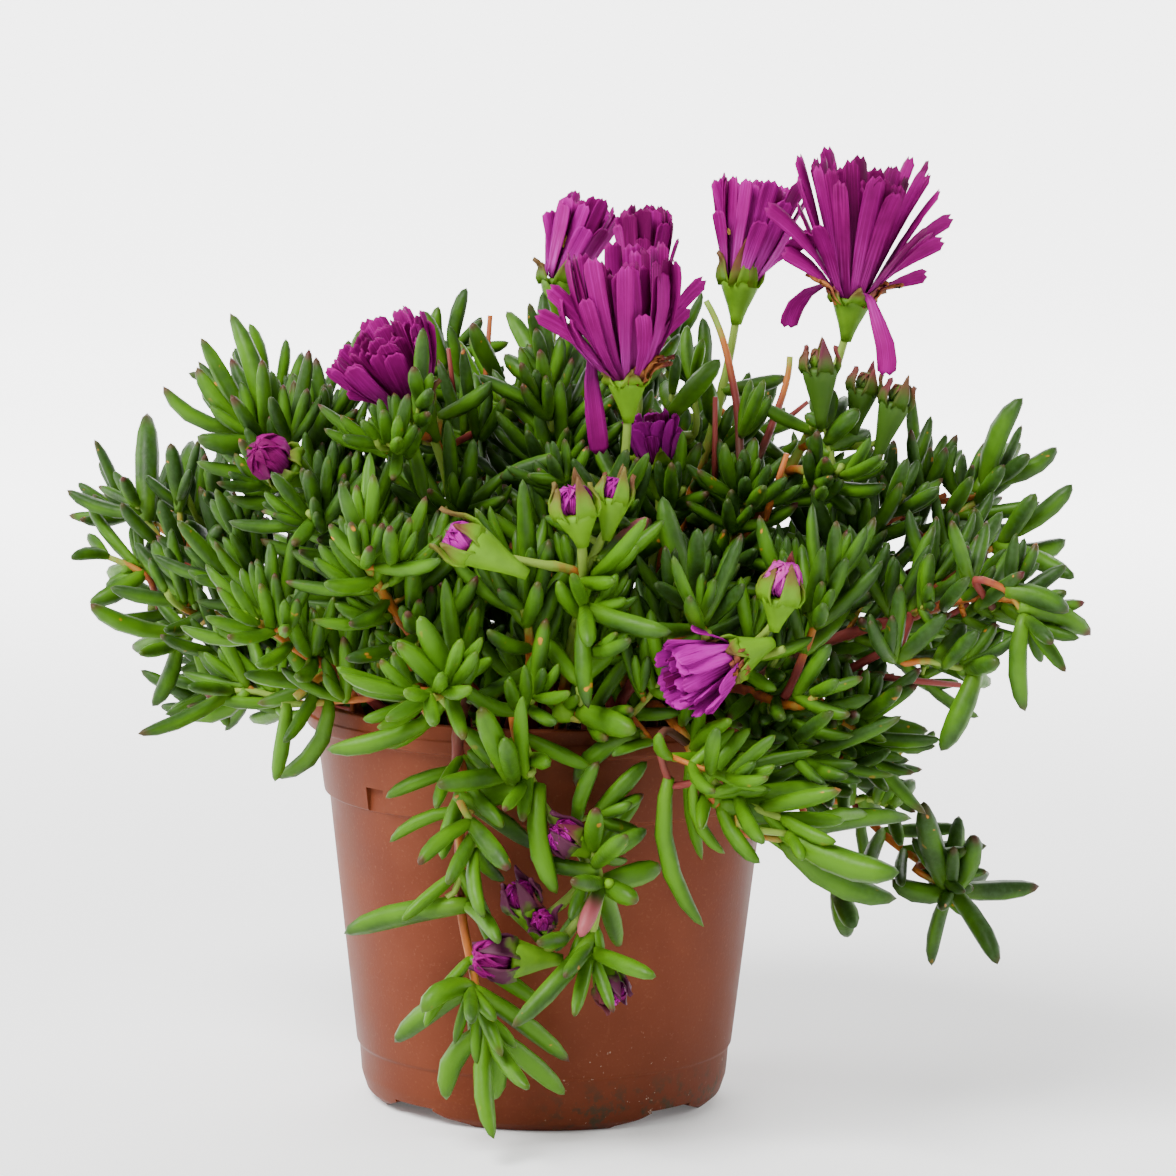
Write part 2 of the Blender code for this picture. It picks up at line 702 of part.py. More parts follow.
def crown_mesh(base, heading, wide, length, flare, core):
    """The green cup under a bloom or bud, with five pointed sepals raised from its rim.

    Core is how far its closed middle rises: none under open petals, and more on a spent flower.
    """
    side = sideways(heading)
    across = np.cross(heading, side)

    def spot(radius, angle, height):
        away = side * math.cos(angle) + across * math.sin(angle)
        return base + away * radius + heading * height

    spread_out = 2 * math.pi / 5
    half = spread_out * 0.42
    points = []
    for radius, height in ((1.3, -7.6), (wide, -0.9)):
        for k in range(5):
            for turn in (-half, half):
                points.append(spot(radius, k * spread_out + turn, height))
    faces = [tuple(range(10))]
    for a in range(10):
        b = (a + 1) % 10
        faces += [(a, b, b + 10), (a, b + 10, a + 10)]
    inner = len(points)
    for k in range(5):
        points.append(spot(wide * 0.74, k * spread_out, 0.0))
    tips = len(points)
    for k in range(5):
        points.append(spot(wide + flare, k * spread_out, length))
    points.append(base + heading * core)
    middle = len(points) - 1
    for k in range(5):
        a, b = 10 + 2 * k, 11 + 2 * k
        after = 10 + (2 * k + 2) % 10
        in_now, in_next = inner + k, inner + (k + 1) % 5
        faces += [(a, b, tips + k), (b, in_now, tips + k), (in_now, a, tips + k)]
        faces += [(b, after, in_next), (b, in_next, in_now), (in_now, in_next, middle)]
    return points, faces


def closed_bud_mesh(base, heading, length, wide):
    """The closed petals of a bud as one pointed egg."""
    side = sideways(heading)
    rings = []
    for share, radius in ((0.0, 0.7), (0.35, 1.0), (0.78, 0.66)):
        rings.append(ring_round(base + heading * length * share, heading, side, wide * radius, 7))
    return tube(rings, None, base + heading * length)


def bloom_mesh(base, heading, length, mouth, count, key):
    """A funnel of strap petals joined at its foot and parted above, alternately in and out."""
    side = sideways(heading)
    across = np.cross(heading, side)
    points = []
    faces = []

    def put(radius, angle, height):
        away = side * math.cos(angle) + across * math.sin(angle)
        points.append(base + away * radius + heading * height)
        return len(points) - 1

    foot = 0.5
    joined = length * 0.26
    columns = []
    half = math.pi / count * 0.82
    for i in range(count):
        middle = 2 * math.pi * i / count
        for angle in (middle - half, middle + half):
            wall = bloom_radius(joined / length, mouth)
            columns.append(
                (
                    put(2.5, angle, foot),
                    put(wall, angle, joined),
                    put(wall - PETAL_THICK * 1.1, angle, joined),
                )
            )
    points.append(base + heading * foot)
    under = len(points) - 1
    points.append(base + heading * (joined * 0.55))
    inside = len(points) - 1
    total = len(columns)
    for i in range(total):
        a = columns[i]
        b = columns[(i + 1) % total]
        faces.append((a[0], b[0], b[1], a[1]))
        faces.append((b[0], a[0], under))
        faces.append((a[2], b[2], inside))
        if i % 2 == 1:
            faces.append((a[1], b[1], b[2], a[2]))
    for i in range(count):
        middle = 2 * math.pi * i / count
        a = columns[2 * i]
        b = columns[2 * i + 1]
        last = (a[1], b[1], b[2], a[2])
        sway = math.radians(spread(-5, 5, key, i, "sway"))
        reach = spread(0.86, 1.04, key, i, "reach")
        step = (0.9 if i % 2 else -0.9) * (0.5 + mouth / 22)
        for share, fat, part in ((0.62, 1.0, 0.6), (1.0, 0.62, 1.0)):
            height = length * (0.26 + (share - 0.26) * reach)
            radius = bloom_radius(share, mouth) * (1 + 0.02 * (reach - 1)) + step * part
            wide = fat * min(2.9, math.pi * mouth / count * 1.02)
            angle = middle + sway * part
            spin = wide / radius
            now = (
                put(radius, angle - spin, height),
                put(radius, angle + spin, height),
                put(radius - PETAL_THICK, angle + spin, height + 0.1),
                put(radius - PETAL_THICK, angle - spin, height + 0.1),
            )
            for k in range(4):
                m = (k + 1) % 4
                faces.append((last[k], last[m], now[m], now[k]))
            last = now
        faces.append(last)
    triangles = []
    for face in faces:
        for k in range(1, len(face) - 1):
            triangles.append((face[0], face[k], face[k + 1]))
    return points, triangles


def strap_points(base, heading, turn, marks):
    """Where a loose petal runs, out of its funnel and down outside the sepals."""
    side = sideways(heading)
    away = side * math.cos(turn) + np.cross(heading, side) * math.sin(turn)
    return away, [base + away * out + heading * up for out, up in marks]


def strap_mesh(base, heading, turn, marks):
    """One petal that has come loose from the funnel and hangs."""
    away, centres = strap_points(base, heading, turn, marks)
    along = np.cross(away, heading)
    rings = []
    for k, centre in enumerate(centres):
        run = unit(centres[min(k + 1, len(centres) - 1)] - centres[max(k - 1, 0)])
        half = along * STRAP_WIDTH * (0.3, 0.42, 0.5, 0.4)[k]
        thick = np.cross(run, along) * PETAL_THICK * 0.6
        upper = [centre + half + thick, centre - half + thick]
        rings.append(upper + [centre - half - thick, centre + half - thick])
    return tube(rings)


def closed(mesh):
    work = bmesh.new()
    work.from_mesh(mesh)
    whole = all(edge.is_manifold for edge in work.edges)
    work.free()
    return whole


def fuse(name, pieces, colour):
    """One closed body from overlapping closed pieces."""
    main = new_object(name, *pieces[0], colour)
    if len(pieces) == 1:
        main.data.shade_smooth()
        main.data.set_sharp_from_angle(angle=math.radians(50))
        return main
    store = bpy.data.collections.new(name + "_pieces")
    for k, (points, faces) in enumerate(pieces[1:]):
        thing = new_object(f"{name}_{k}", points, faces, colour)
        bpy.context.scene.collection.objects.unlink(thing)
        store.objects.link(thing)
    joined = main.modifiers.new("Union", "BOOLEAN")
    joined.operation = "UNION"
    joined.operand_type = "COLLECTION"
    joined.collection = store
    for solver in ("EXACT", "MANIFOLD"):
        joined.solver = solver
        bpy.context.view_layer.update()
        graph = bpy.context.evaluated_depsgraph_get()
        merged = bpy.data.meshes.new_from_object(main.evaluated_get(graph))
        if closed(merged):
            break
    main.modifiers.clear()
    main.data = merged
    for thing in list(store.objects):
        bpy.data.objects.remove(thing)
    bpy.data.collections.remove(store)
    work = bmesh.new()
    work.from_mesh(merged)
    bmesh.ops.remove_doubles(work, verts=work.verts, dist=MERGE)
    bmesh.ops.dissolve_degenerate(work, edges=work.edges, dist=MERGE)
    bmesh.ops.triangulate(work, faces=work.faces)
    work.to_mesh(merged)
    work.free()
    main.data.name = name
    merged.shade_smooth()
    merged.set_sharp_from_angle(angle=math.radians(50))
    return main


def pot_profile():
    """The pot's half section, up its inside and down its outside, from axis to axis."""
    lip_foot = POT_HEIGHT - LIP_HEIGHT
    inner_low = FOOT_RADIUS + 0.4
    low_radius = WALL_LOW_RADIUS - BASE_STEP_IN
    return [
        (0, FLOOR_TOP_Z),
        (inner_low, FLOOR_TOP_Z),
        (WALL_TOP_RADIUS - WALL, INNER_STEP_Z),
        (BAND_TOP_RADIUS - WALL, INNER_STEP_Z + 2.0),
        (BAND_TOP_RADIUS - WALL + 0.8, POT_HEIGHT),
        (LIP_RADIUS - LIP_STEP_IN - 0.5, POT_HEIGHT),
        (LIP_RADIUS - LIP_STEP_IN, POT_HEIGHT - 0.8),
        (LIP_RADIUS - LIP_STEP_IN, POT_HEIGHT - LIP_STEP_DOWN),
        (LIP_RADIUS, POT_HEIGHT - LIP_STEP_DOWN - 0.3),
        (LIP_RADIUS - 0.2, lip_foot),
        (BAND_TOP_RADIUS, lip_foot - 0.4),
        (BAND_FOOT_RADIUS, BAND_FOOT_Z),
        (WALL_TOP_RADIUS, BAND_FOOT_Z - 0.3),
        (WALL_LOW_RADIUS, WALL_LOW_Z),
        (low_radius, WALL_LOW_Z - 0.7),
        (low_radius - 0.5, 5.6),
        (FOOT_RADIUS + 1.3, 1.9),
        (FOOT_RADIUS - 0.9, 0),
        (FOOT_RADIUS - FOOT_WIDTH, 0),
        (FOOT_RADIUS - FOOT_WIDTH - 0.4, FLOOR_UNDER_Z),
        (0, FLOOR_UNDER_Z),
    ]


def cutter(name, points, faces):
    made = new_object(name, points, faces, None)
    made.hide_render = True
    made.display_type = "WIRE"
    return made


def slab(outline, low, high):
    """Points and faces of an upright prism on an outline of (x, y)."""
    rings = [[vec(x, y, z) for x, y in outline] for z in (low, high)]
    return tube(rings)


def foot_notch(k):
    """A low arch with sloping ends, cut through the foot ring."""
    middle = math.radians(45 + 90 * k)
    points = []
    for radius in (FOOT_RADIUS - FOOT_WIDTH - 3.0, FOOT_RADIUS + 6.0):
        for spin, z in (
            (-FOOT_NOTCH_FLOOR_DEG / 2 - 1.5, -0.4),
            (FOOT_NOTCH_FLOOR_DEG / 2 + 1.5, -0.4),
            (FOOT_NOTCH_FLAT_DEG / 2, FOOT_NOTCH_HEIGHT),
            (-FOOT_NOTCH_FLAT_DEG / 2, FOOT_NOTCH_HEIGHT),
        ):
            angle = middle + math.radians(spin)
            points.append(vec(radius * math.cos(angle), radius * math.sin(angle), z))
    points, faces = tube([points[:4], points[4:]])
    return cutter(f"cut_foot_{k}", points, faces)


def key_notch(k):
    """The stacking notch in the band's lower edge."""
    angle = math.radians(KEY_NOTCH_TURN_DEG + 90 * k)
    out = vec(math.cos(angle), math.sin(angle), 0)
    along = vec(-math.sin(angle), math.cos(angle), 0)
    half = KEY_NOTCH_WIDTH / 2
    near = WALL_TOP_RADIUS + 0.35
    outline = []
    for radius, sign in ((near, -1), (near + 6, -1), (near + 6, 1), (near, 1)):
        place = out * radius + along * half * sign
        outline.append((place[0], place[1]))
    return cutter(f"cut_key_{k}", *slab(outline, BAND_FOOT_Z - 1, BAND_FOOT_Z + KEY_NOTCH_HEIGHT))


def round_hole(name, x, y, radius, low, high, sides):
    outline = []
    for i in range(sides):
        angle = 2 * math.pi * i / sides
        outline.append((x + radius * math.cos(angle), y + radius * math.sin(angle)))
    return cutter(name, *slab(outline, low, high))


def cut_away(thing, cutters):
    """Subtract the cutters, apply the result and take the cutters out of the scene."""
    store = bpy.data.collections.new(thing.name + "_cuts")
    for piece in cutters:
        bpy.context.scene.collection.objects.unlink(piece)
        store.objects.link(piece)
    cut = thing.modifiers.new("Cuts", "BOOLEAN")
    cut.operation = "DIFFERENCE"
    cut.operand_type = "COLLECTION"
    cut.collection = store
    cut.solver = "EXACT"
    bpy.context.view_layer.update()
    graph = bpy.context.evaluated_depsgraph_get()
    mesh = bpy.data.meshes.new_from_object(thing.evaluated_get(graph))
    thing.modifiers.clear()
    thing.data = mesh
    for piece in list(store.objects):
        bpy.data.objects.remove(piece)
    bpy.data.collections.remove(store)
    mesh.shade_smooth()
    mesh.set_sharp_from_angle(angle=math.radians(35))


def build_pot(colour):
    work = bmesh.new()
    corners = [work.verts.new(Vector((x, 0, z)) * MM) for x, z in pot_profile()]
    edges = [work.edges.new(pair) for pair in zip(corners, corners[1:])]
    bmesh.ops.spin(
        work, geom=corners + edges, axis=(0, 0, 1), cent=(0, 0, 0), angle=2 * math.pi, steps=POT_STEPS
    )
    bmesh.ops.remove_doubles(work, verts=work.verts, dist=MERGE)
    bmesh.ops.recalc_face_normals(work, faces=work.faces)
    mesh = bpy.data.meshes.new("pot")
    work.to_mesh(mesh)
    work.free()
    pot = bpy.data.objects.new("pot", mesh)
    bpy.context.scene.collection.objects.link(pot)
    mesh.materials.append(colour)
    cutters = [foot_notch(k) for k in range(4)] + [key_notch(k) for k in range(4)]
    for k in range(4):
        angle = math.radians(90 * k)
        x = DRAIN_RING_RADIUS * math.cos(angle)
        y = DRAIN_RING_RADIUS * math.sin(angle)
        cutters.append(round_hole(f"cut_drain_{k}", x, y, DRAIN_RADIUS, 0, FLOOR_TOP_Z + 1, 10))
    cut_away(pot, cutters)


def build_soil(colour, plan):
    """The soil fills the pot inside its wall, with one plain hole for each rooted stem."""
    rings = []
    for radius, z in (
        (FOOT_RADIUS + 0.3 - CLEAR, FLOOR_TOP_Z + CLEAR),
        (WALL_TOP_RADIUS - WALL - CLEAR - 0.3, INNER_STEP_Z),
        (BAND_TOP_RADIUS - WALL - CLEAR - 0.3, INNER_STEP_Z + 2.6),
        (BAND_TOP_RADIUS - WALL - CLEAR - 0.2, SOIL_TOP),
    ):
        rings.append(ring_round(vec(0, 0, z), vec(0, 0, 1), vec(1, 0, 0), radius, SOIL_STEPS))
    soil = new_object("soil", *tube(rings), colour)
    cutters = []
    for name, parts in plan.items():
        x, y, _ = parts["root"]
        radius = (ROOT_RADIUS + CLEAR) / math.cos(math.pi / HOLE_SIDES)
        low = SOIL_TOP - HOLE_DEPTH
        cutters.append(round_hole(f"cut_{name}", x, y, radius, low, SOIL_TOP + 1, HOLE_SIDES))
    cut_away(soil, cutters)


def build_spray(name, parts, leaf_colour, petal_colour):
    pieces = []
    for k, (path, radius_from, radius_to) in enumerate(parts["paths"]):
        pieces.append(stem_mesh(path, radius_from, radius_to, k == 0))
    for leaf in parts["leaves"]:
        pieces.append(leaf_mesh(leaf))
    petals = "petals_" + name.split("_", 1)[1].removesuffix("_bud")
    for kind, base, heading, size in parts["heads"]:
        length, wide = size
        if kind == "spent":
            pieces.append(crown_mesh(base, heading, wide, length, -0.3 * wide, length * 0.5))
        elif kind == "bud":
            pieces.append(crown_mesh(base, heading, wide * 0.92, SEPAL_LENGTH, SEPAL_FLARE, 0.0))
            head = closed_bud_mesh(base + heading * 2 * CLEAR, heading, length, wide * 0.8)
            fuse(petals + "_bud", [head], petal_colour)
        else:
            pieces.append(crown_mesh(base, heading, CUP_RADIUS, SEPAL_LENGTH, SEPAL_FLARE, 0.0))
            count = MOST_PETALS if wide > WIDE_MOUTH else FEWEST_PETALS
            heads = [bloom_mesh(base, heading, length, wide, count, name)]
            for turn, marks in LOOSE_PETALS.get(name, ()):
                heads.append(strap_mesh(base, heading, math.radians(turn), marks))
            fuse(petals, heads, petal_colour)
    return fuse(name, pieces, leaf_colour)


def main():
    for thing in list(bpy.data.objects):
        bpy.data.objects.remove(thing)
    pot_colour = material("terracotta_plastic", POT_COLOUR, 0.45)
    soil_colour = material("soil", SOIL_COLOUR, 0.95)
    leaf_colour = material("leaf", LEAF_COLOUR, 0.45)
    petal_colour = material("petal", PETAL_COLOUR, 0.5)
    plan = lay_out()
    build_pot(pot_colour)
    build_soil(soil_colour, plan)
    for name, parts in plan.items():
        build_spray(name, parts, leaf_colour, petal_colour)


main()
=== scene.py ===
"""The looks of the potted ice plant: an add-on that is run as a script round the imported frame."""

import math
import random

import bmesh
import bpy
import numpy as np
from mathutils import Matrix, Vector, noise


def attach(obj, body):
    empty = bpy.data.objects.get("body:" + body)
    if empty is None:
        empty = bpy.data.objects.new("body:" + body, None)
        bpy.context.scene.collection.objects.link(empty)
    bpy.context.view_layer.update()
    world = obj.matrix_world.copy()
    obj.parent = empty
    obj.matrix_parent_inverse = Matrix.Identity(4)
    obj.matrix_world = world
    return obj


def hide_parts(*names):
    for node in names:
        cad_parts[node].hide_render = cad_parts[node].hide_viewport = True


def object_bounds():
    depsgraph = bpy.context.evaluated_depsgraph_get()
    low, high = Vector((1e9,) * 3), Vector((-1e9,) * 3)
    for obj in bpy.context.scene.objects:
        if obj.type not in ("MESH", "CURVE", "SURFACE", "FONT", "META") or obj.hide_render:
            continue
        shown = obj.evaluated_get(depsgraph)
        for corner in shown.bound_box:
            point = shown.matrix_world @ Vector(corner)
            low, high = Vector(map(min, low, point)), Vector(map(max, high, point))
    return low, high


bl_info = {
    "name": "Potted ice plant",
    "version": (1, 0, 0),
    "blender": (4, 5, 0),
    "location": "3D View > Sidebar > Ice Plant",
    "description": "Models the leaves, blooms, pot and soil of a trailing ice plant",
    "category": "Add Mesh",
}

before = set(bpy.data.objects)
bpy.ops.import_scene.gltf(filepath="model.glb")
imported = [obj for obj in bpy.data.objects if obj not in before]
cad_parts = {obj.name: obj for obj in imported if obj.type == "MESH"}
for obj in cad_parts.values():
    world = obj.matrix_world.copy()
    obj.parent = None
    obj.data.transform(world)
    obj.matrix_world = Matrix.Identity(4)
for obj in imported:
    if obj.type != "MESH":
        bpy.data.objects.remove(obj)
CAD_BOX = [[float(x) for x in corner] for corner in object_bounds()]

# The sizes in millimetres that the looks share with the solids
MM = 0.001
POT_HEIGHT = 89.0
LIP_RADIUS = 53.0
LIP_HEIGHT = 6.0
LIP_STEP_DOWN = 3.0
LIP_STEP_IN = 0.35
BAND_TOP_RADIUS = 50.9
BAND_FOOT_RADIUS = 48.9
BAND_FOOT_Z = 68.2
WALL_TOP_RADIUS = 47.8
WALL_LOW_RADIUS = 41.5
WALL_LOW_Z = 12.5
BASE_STEP_IN = 0.6
FOOT_RADIUS = 37.9
FOOT_WIDTH = 3.4
FOOT_NOTCH_HEIGHT = 3.4
FOOT_NOTCH_FLAT_DEG = 18.0
FOOT_NOTCH_FLOOR_DEG = 41.0
FLOOR_UNDER_Z = 3.9
FLOOR_TOP_Z = 5.7
WALL = 1.6
KEY_NOTCH_WIDTH = 6.8
KEY_NOTCH_HEIGHT = 5.0
KEY_NOTCH_TURN_DEG = 223.5
INNER_STEP_Z = BAND_FOOT_Z + KEY_NOTCH_HEIGHT + 1.4
DRAIN_RADIUS = 4.0
DRAIN_RING_RADIUS = 22.0
SOIL_TOP = 80.0
CLEAR = 0.3
HOLE_DEPTH = 6.0
ROOT_RADIUS = 1.5
TIP_RADIUS = 0.95
STEM_STEP = 16.0
LEAF_CORNER = 1.24
LEAF_RADIUS = 2.15
NODE_GAP = 5.4
BRANCH_RADII = (1.15, 0.75)
STRAP_WIDTH = 3.2
CUP_RADIUS = 4.3
MOST_ROOT_RADIUS = 41.0
ROOT_SPACING = 5.6
ROOT_RISE = 0.8
LOW_TIP_Z = 108.0
OVER_RIM_Z = 96.5
PATH_TRIES = 60


def vec(*values):
    """A point or a direction as an array."""
    return np.array(values, float)


def unit(v):
    """The direction of a vector."""
    return v / np.linalg.norm(v)


def draw(*key):
    """A seeded number from 0 to 1 that depends only on its key."""
    return random.Random("/".join(map(str, key))).random()


def spread(low, high, *key):
    """A seeded number from low to high."""
    return low + (high - low) * draw(*key)


# Every leafy shoot, bloom and bud as (kind, tip, heading, size, pairs), grouped by its rooted stem.
# The first of a group is the main stem, and the rest branch from it.
# A leafy shoot's size is its longest leaf, and a bloom's is (petal length, mouth radius).
SPRAYS = {
    "stem_high_left": [
        ("leaf", (-65, -8, 147), (-0.8, -0.2, 0.45), 20, 3),
        ("leaf", (-62, 12, 149), (-0.35, 0, 1), 23, 2),
    ],
    "stem_far_left": [
        ("leaf", (-103, 54, 125), (-0.9, 0.2, 0.35), 16, 3),
        ("leaf", (-82, 26, 130), (-0.4, 0, 1), 18, 2),
    ],
    "stem_low_left": [
        ("leaf", (-92, 40, 102), (-0.9, 0, 0), 16, 2),
        ("leaf", (-85, 10, 110), (-0.4, -0.2, 1), 19, 2),
    ],
    "stem_droop_left": [("leaf", (-77, 20, 86), (-0.85, 0.1, -0.35), 19, 3)],
    "stem_rosette_left": [("leaf", (-61, -49, 111), (-0.45, -0.8, 0.35), 17, 3)],
    "stem_rim_left": [("leaf", (-53, -36, 93), (-0.7, -0.3, -0.6), 18, 2)],
    "stem_rosette_front": [("leaf", (-39, -66, 128), (-0.2, -0.85, 0.4), 14, 3)],
    "stem_back_left": [("leaf", (-57, 29, 149), (-0.3, 0.1, 1), 18, 2)],
    "stem_ball_bud": [
        ("bud", (-55.5, -31, 141.5), (-0.7, -0.45, 0.45), (8, 4.6), 0),
        ("leaf", (-50, -42, 133), (-0.4, -0.6, 0.7), 16, 2),
    ],
    "flower_f": [
        ("bloom", (-28.8, -20, 154), (-0.5, -0.3, 0.85), (21, 11.5), 0),
        ("leaf", (-36, -43, 149), (-0.1, -0.3, 1), 13, 3),
    ],
    "stem_front_left": [
        ("leaf", (-24, -74, 99), (-0.8, -0.4, 0.3), 18, 3),
        ("leaf", (-30, -60, 95), (-0.9, -0.2, -0.1), 19, 2),
    ],
    "stem_crown": [
        ("leaf", (0, -5, 158), (-0.1, -0.1, 1), 19, 3),
        ("leaf", (-15, 12, 155), (-0.5, 0, 0.8), 18, 2),
    ],
    "flower_a": [
        ("bloom", (16.3, -30, 161), (-0.05, -0.12, 1), (29, 16.5), 0),
        ("leaf", (11, -38, 137), (-0.3, -0.5, 0.9), 16, 2),
    ],
    "flower_b": [
        ("bloom", (1.6, 17, 179), (0.16, 0.12, 1), (20, 10), 0),
        ("leaf", (7, 26, 154), (0.1, 0.4, 1), 17, 2),
    ],
    "flower_c": [
        ("bloom", (20, 3, 176), (0.02, 0.05, 1), (20.5, 9.5), 0),
        ("leaf", (17, 4, 150), (0.3, -0.1, 1), 16, 2),
    ],
    "flower_d": [
        ("bloom", (41.1, 5, 180), (0.08, 0.05, 1), (23.5, 10.5), 0),
        ("leaf", (45, 12, 150), (0.3, 0.3, 1), 16, 2),
    ],
    "flower_e": [
        ("bloom", (64.7, -10, 177.4), (0.12, -0.08, 1), (30.5, 17.5), 0),
        ("spent", (57.5, -24, 159), (-0.05, -0.15, 1), (8, 4.6), 0),
        ("spent", (67, -17, 158), (0.2, -0.1, 1), (7, 4.0), 0),
        ("spent", (72.5, -21, 152), (0.3, -0.1, 1), (8, 4.0), 0),
        ("leaf", (62, -30, 143), (0.1, -0.5, 0.9), 15, 2),
    ],
    "stem_bud_fork": [
        ("spent", (6, -64, 136), (-0.2, -0.2, 1), (8, 4.6), 0),
        ("spent", (-15.5, -68, 129.4), (-0.85, -0.1, 0.45), (8, 4.4), 0),
        ("spent", (13.5, -58, 138), (0.15, 0.1, 1), (7, 3.6), 0),
        ("leaf", (8, -63.5, 117), (0.2, -0.5, 1), 16, 1),
    ],
    "stem_mid_front": [("leaf", (-5, -60, 117), (-0.3, -0.3, 1), 17, 3)],
    "stem_low_front": [
        ("leaf", (2, -55, 97), (-0.1, -0.8, 0.6), 15, 2),
        ("leaf", (18, -58, 92.5), (-0.5, -0.6, -0.35), 17, 2),
    ],
    "trailer_buds": [
        ("leaf", (8, -63, 47), (-0.2, -0.3, -0.9), 13, 3),
        ("bud", (-6.5, -66, 43.5), (-0.95, -0.2, 0.05), (8, 4.3), 0),
        ("spent", (-4, -65, 55), (-0.35, -0.3, 0.85), (7, 3.8), 0),
        ("spent", (14, -66, 38), (0.35, -0.6, -0.6), (6, 3.4), 0),
        ("leaf", (-3, -66, 82), (-0.5, -0.7, 0.3), 16, 2),
    ],
    "trailer_long": [
        ("leaf", (-13, -61, 30), (0.05, -0.35, -0.95), 19, 3),
        ("leaf", (-20, -60, 55), (-0.95, -0.25, 0.05), 20, 1),
        ("leaf", (-15, -62, 73), (0.1, -0.5, -0.8), 17, 2),
    ],
    "stem_crown_right": [("leaf", (31, 18, 150), (0.1, 0.1, 1), 17, 2)],
    "stem_front_right": [
        ("leaf", (33, -67, 112), (0.1, -0.15, 1), 18, 2),
        ("leaf", (28, -49, 118), (-0.3, 0, 1), 20, 2),
    ],
    "stem_dry_fork": [
        ("leaf", (42, -19, 139), (-0.1, -0.2, 1), 17, 3),
        ("bare", (52, 0, 164), (0, 0, 1), 0.9, 0),
        ("bare", (33.5, -1, 176), (-0.5, 0, 0.8), 0.8, 0),
    ],
    "flower_g": [
        ("bloom", (38.5, -66, 106.5), (-0.85, -0.4, -0.3), (17, 9.5), 0),
        ("bud", (48, -63, 119), (0.15, -0.2, 1), (7.5, 4.3), 0),
        ("leaf", (49, -62, 108), (0.7, -0.5, 0.4), 12, 2),
    ],
    "flower_h": [
        ("bloom", (23, -12, 142), (-0.15, -0.2, 1), (11, 6), 0),
        ("leaf", (29, -19, 137), (0.4, -0.5, 0.9), 16, 2),
    ],
    "stem_right_front": [
        ("leaf", (56, -60, 99), (0.3, -0.3, 1), 17, 3),
        ("leaf", (58, -50, 117), (0.5, -0.1, 0.9), 21, 2),
    ],
    "trailer_right": [("leaf", (50, -70, 74), (0.9, -0.2, -0.2), 22, 3)],
    "stem_far_right": [("leaf", (94, -5, 134), (0.8, 0, 0.55), 20, 3)],
    "stem_right_low": [
        ("leaf", (101, -51, 116), (0.8, -0.1, -0.35), 19, 3),
        ("leaf", (92, -27, 122), (0.9, 0.1, 0.1), 18, 2),
    ],
    "stem_right_back": [("leaf", (89, 15, 96), (0.7, 0, -0.35), 18, 2)],
    "stem_upper_right": [("leaf", (76, -18, 136), (0.5, 0, 0.9), 16, 3)],
    "stem_lower_right": [("leaf", (70, -38, 88), (0.7, -0.3, 0.2), 17, 2)],
    "trailer_rosette": [("leaf", (87, -5, 51), (0.5, -0.75, -0.15), 18, 4)],
}

# Where a stem is laid over the rim or along the wall, the points it passes
ROUTES = {
    "stem_low_front": [(3, -47, 91)],
    "trailer_buds": [(-6, -46, 93), (-6, -58.5, 90), (-1, -61.5, 76), (9, -60.5, 62)],
    "trailer_long": [(-17, -44, 93), (-18, -56.5, 88), (-17.5, -57.5, 72), (-17, -57, 52)],
    "trailer_right": [(22, -44, 93), (28, -55, 90), (35, -63, 80)],
    "trailer_rosette": [(47, 22, 93), (58, 24, 84), (70, 12, 62)],
}

# Loose petals that hang from two of the blooms, as a turn in degrees between two sepals and the
# points that the petal runs through, each (out from the axis, up from the cup)
LOOSE_PETALS = {
    "flower_a": [(252, ((3.0, 4.8), (6.6, 7.6), (8.2, 3.0), (7.4, -16.5)))],
    "flower_e": [
        (252, ((3.0, 5.0), (7.5, 9.0), (12.5, 6.5), (15.0, -6.0))),
        (36, ((3.0, 5.0), (6.6, 7.6), (10.0, 1.0), (12.0, -12.0))),
    ],
}

# The side and back of the plant, where stems follow one another round in tiers by rule
BACK_STEMS = 12
BACK_FROM_DEG = 12.0
BACK_TO_DEG = 172.0
BACK_TIERS = ((80.0, 121.0, 0.5), (58.0, 147.0, 0.9), (77.0, 99.0, -0.05))
FORK_TURN_DEG = 17.0
# How much nearer, as a share, and how much higher the second shoot of a fork ends
FORK_SHORTER = 0.16
FORK_HIGHER = 11
HEAD_KINDS = ("bloom", "bud", "spent")


def back_sprays():
    """Forked stems round the far side: outer, high and low in turn."""
    found = {}
    for i in range(BACK_STEMS):
        name = f"stem_back_{i + 1:02d}"
        reach, height, rise = BACK_TIERS[i % len(BACK_TIERS)]
        share = (i + 0.5) / BACK_STEMS
        turn = math.radians(BACK_FROM_DEG + share * (BACK_TO_DEG - BACK_FROM_DEG))
        shoots = []
        for fork in range(2):
            angle = turn + fork * math.radians(FORK_TURN_DEG) * (1 if i % 2 else -1)
            out = reach * spread(0.92, 1.0, name, fork, "reach") * (1 - FORK_SHORTER * fork)
            up = height + spread(-3, 3, name, fork, "height") + FORK_HIGHER * fork
            tip = (out * math.cos(angle), out * math.sin(angle), up)
            heading = (math.cos(angle), math.sin(angle), rise + 0.5 * fork)
            shoots.append(("leaf", tip, heading, 16 + 4 * draw(name, fork), 2 - fork))
        found[name] = shoots
    return found


def all_sprays():
    """The shoots of every rooted stem."""
    return {**SPRAYS, **back_sprays()}


def heads_of(shoots):
    """The blooms, buds and spent heads among shoots, as (kind, base, heading, size)."""
    return [
        (kind, vec(*tip), unit(vec(*heading)), size)
        for kind, tip, heading, size, _ in shoots
        if kind in HEAD_KINDS
    ]


# How far to both sides of a place on a path its direction is read, in millimetres
READ_ALONG = 2.5


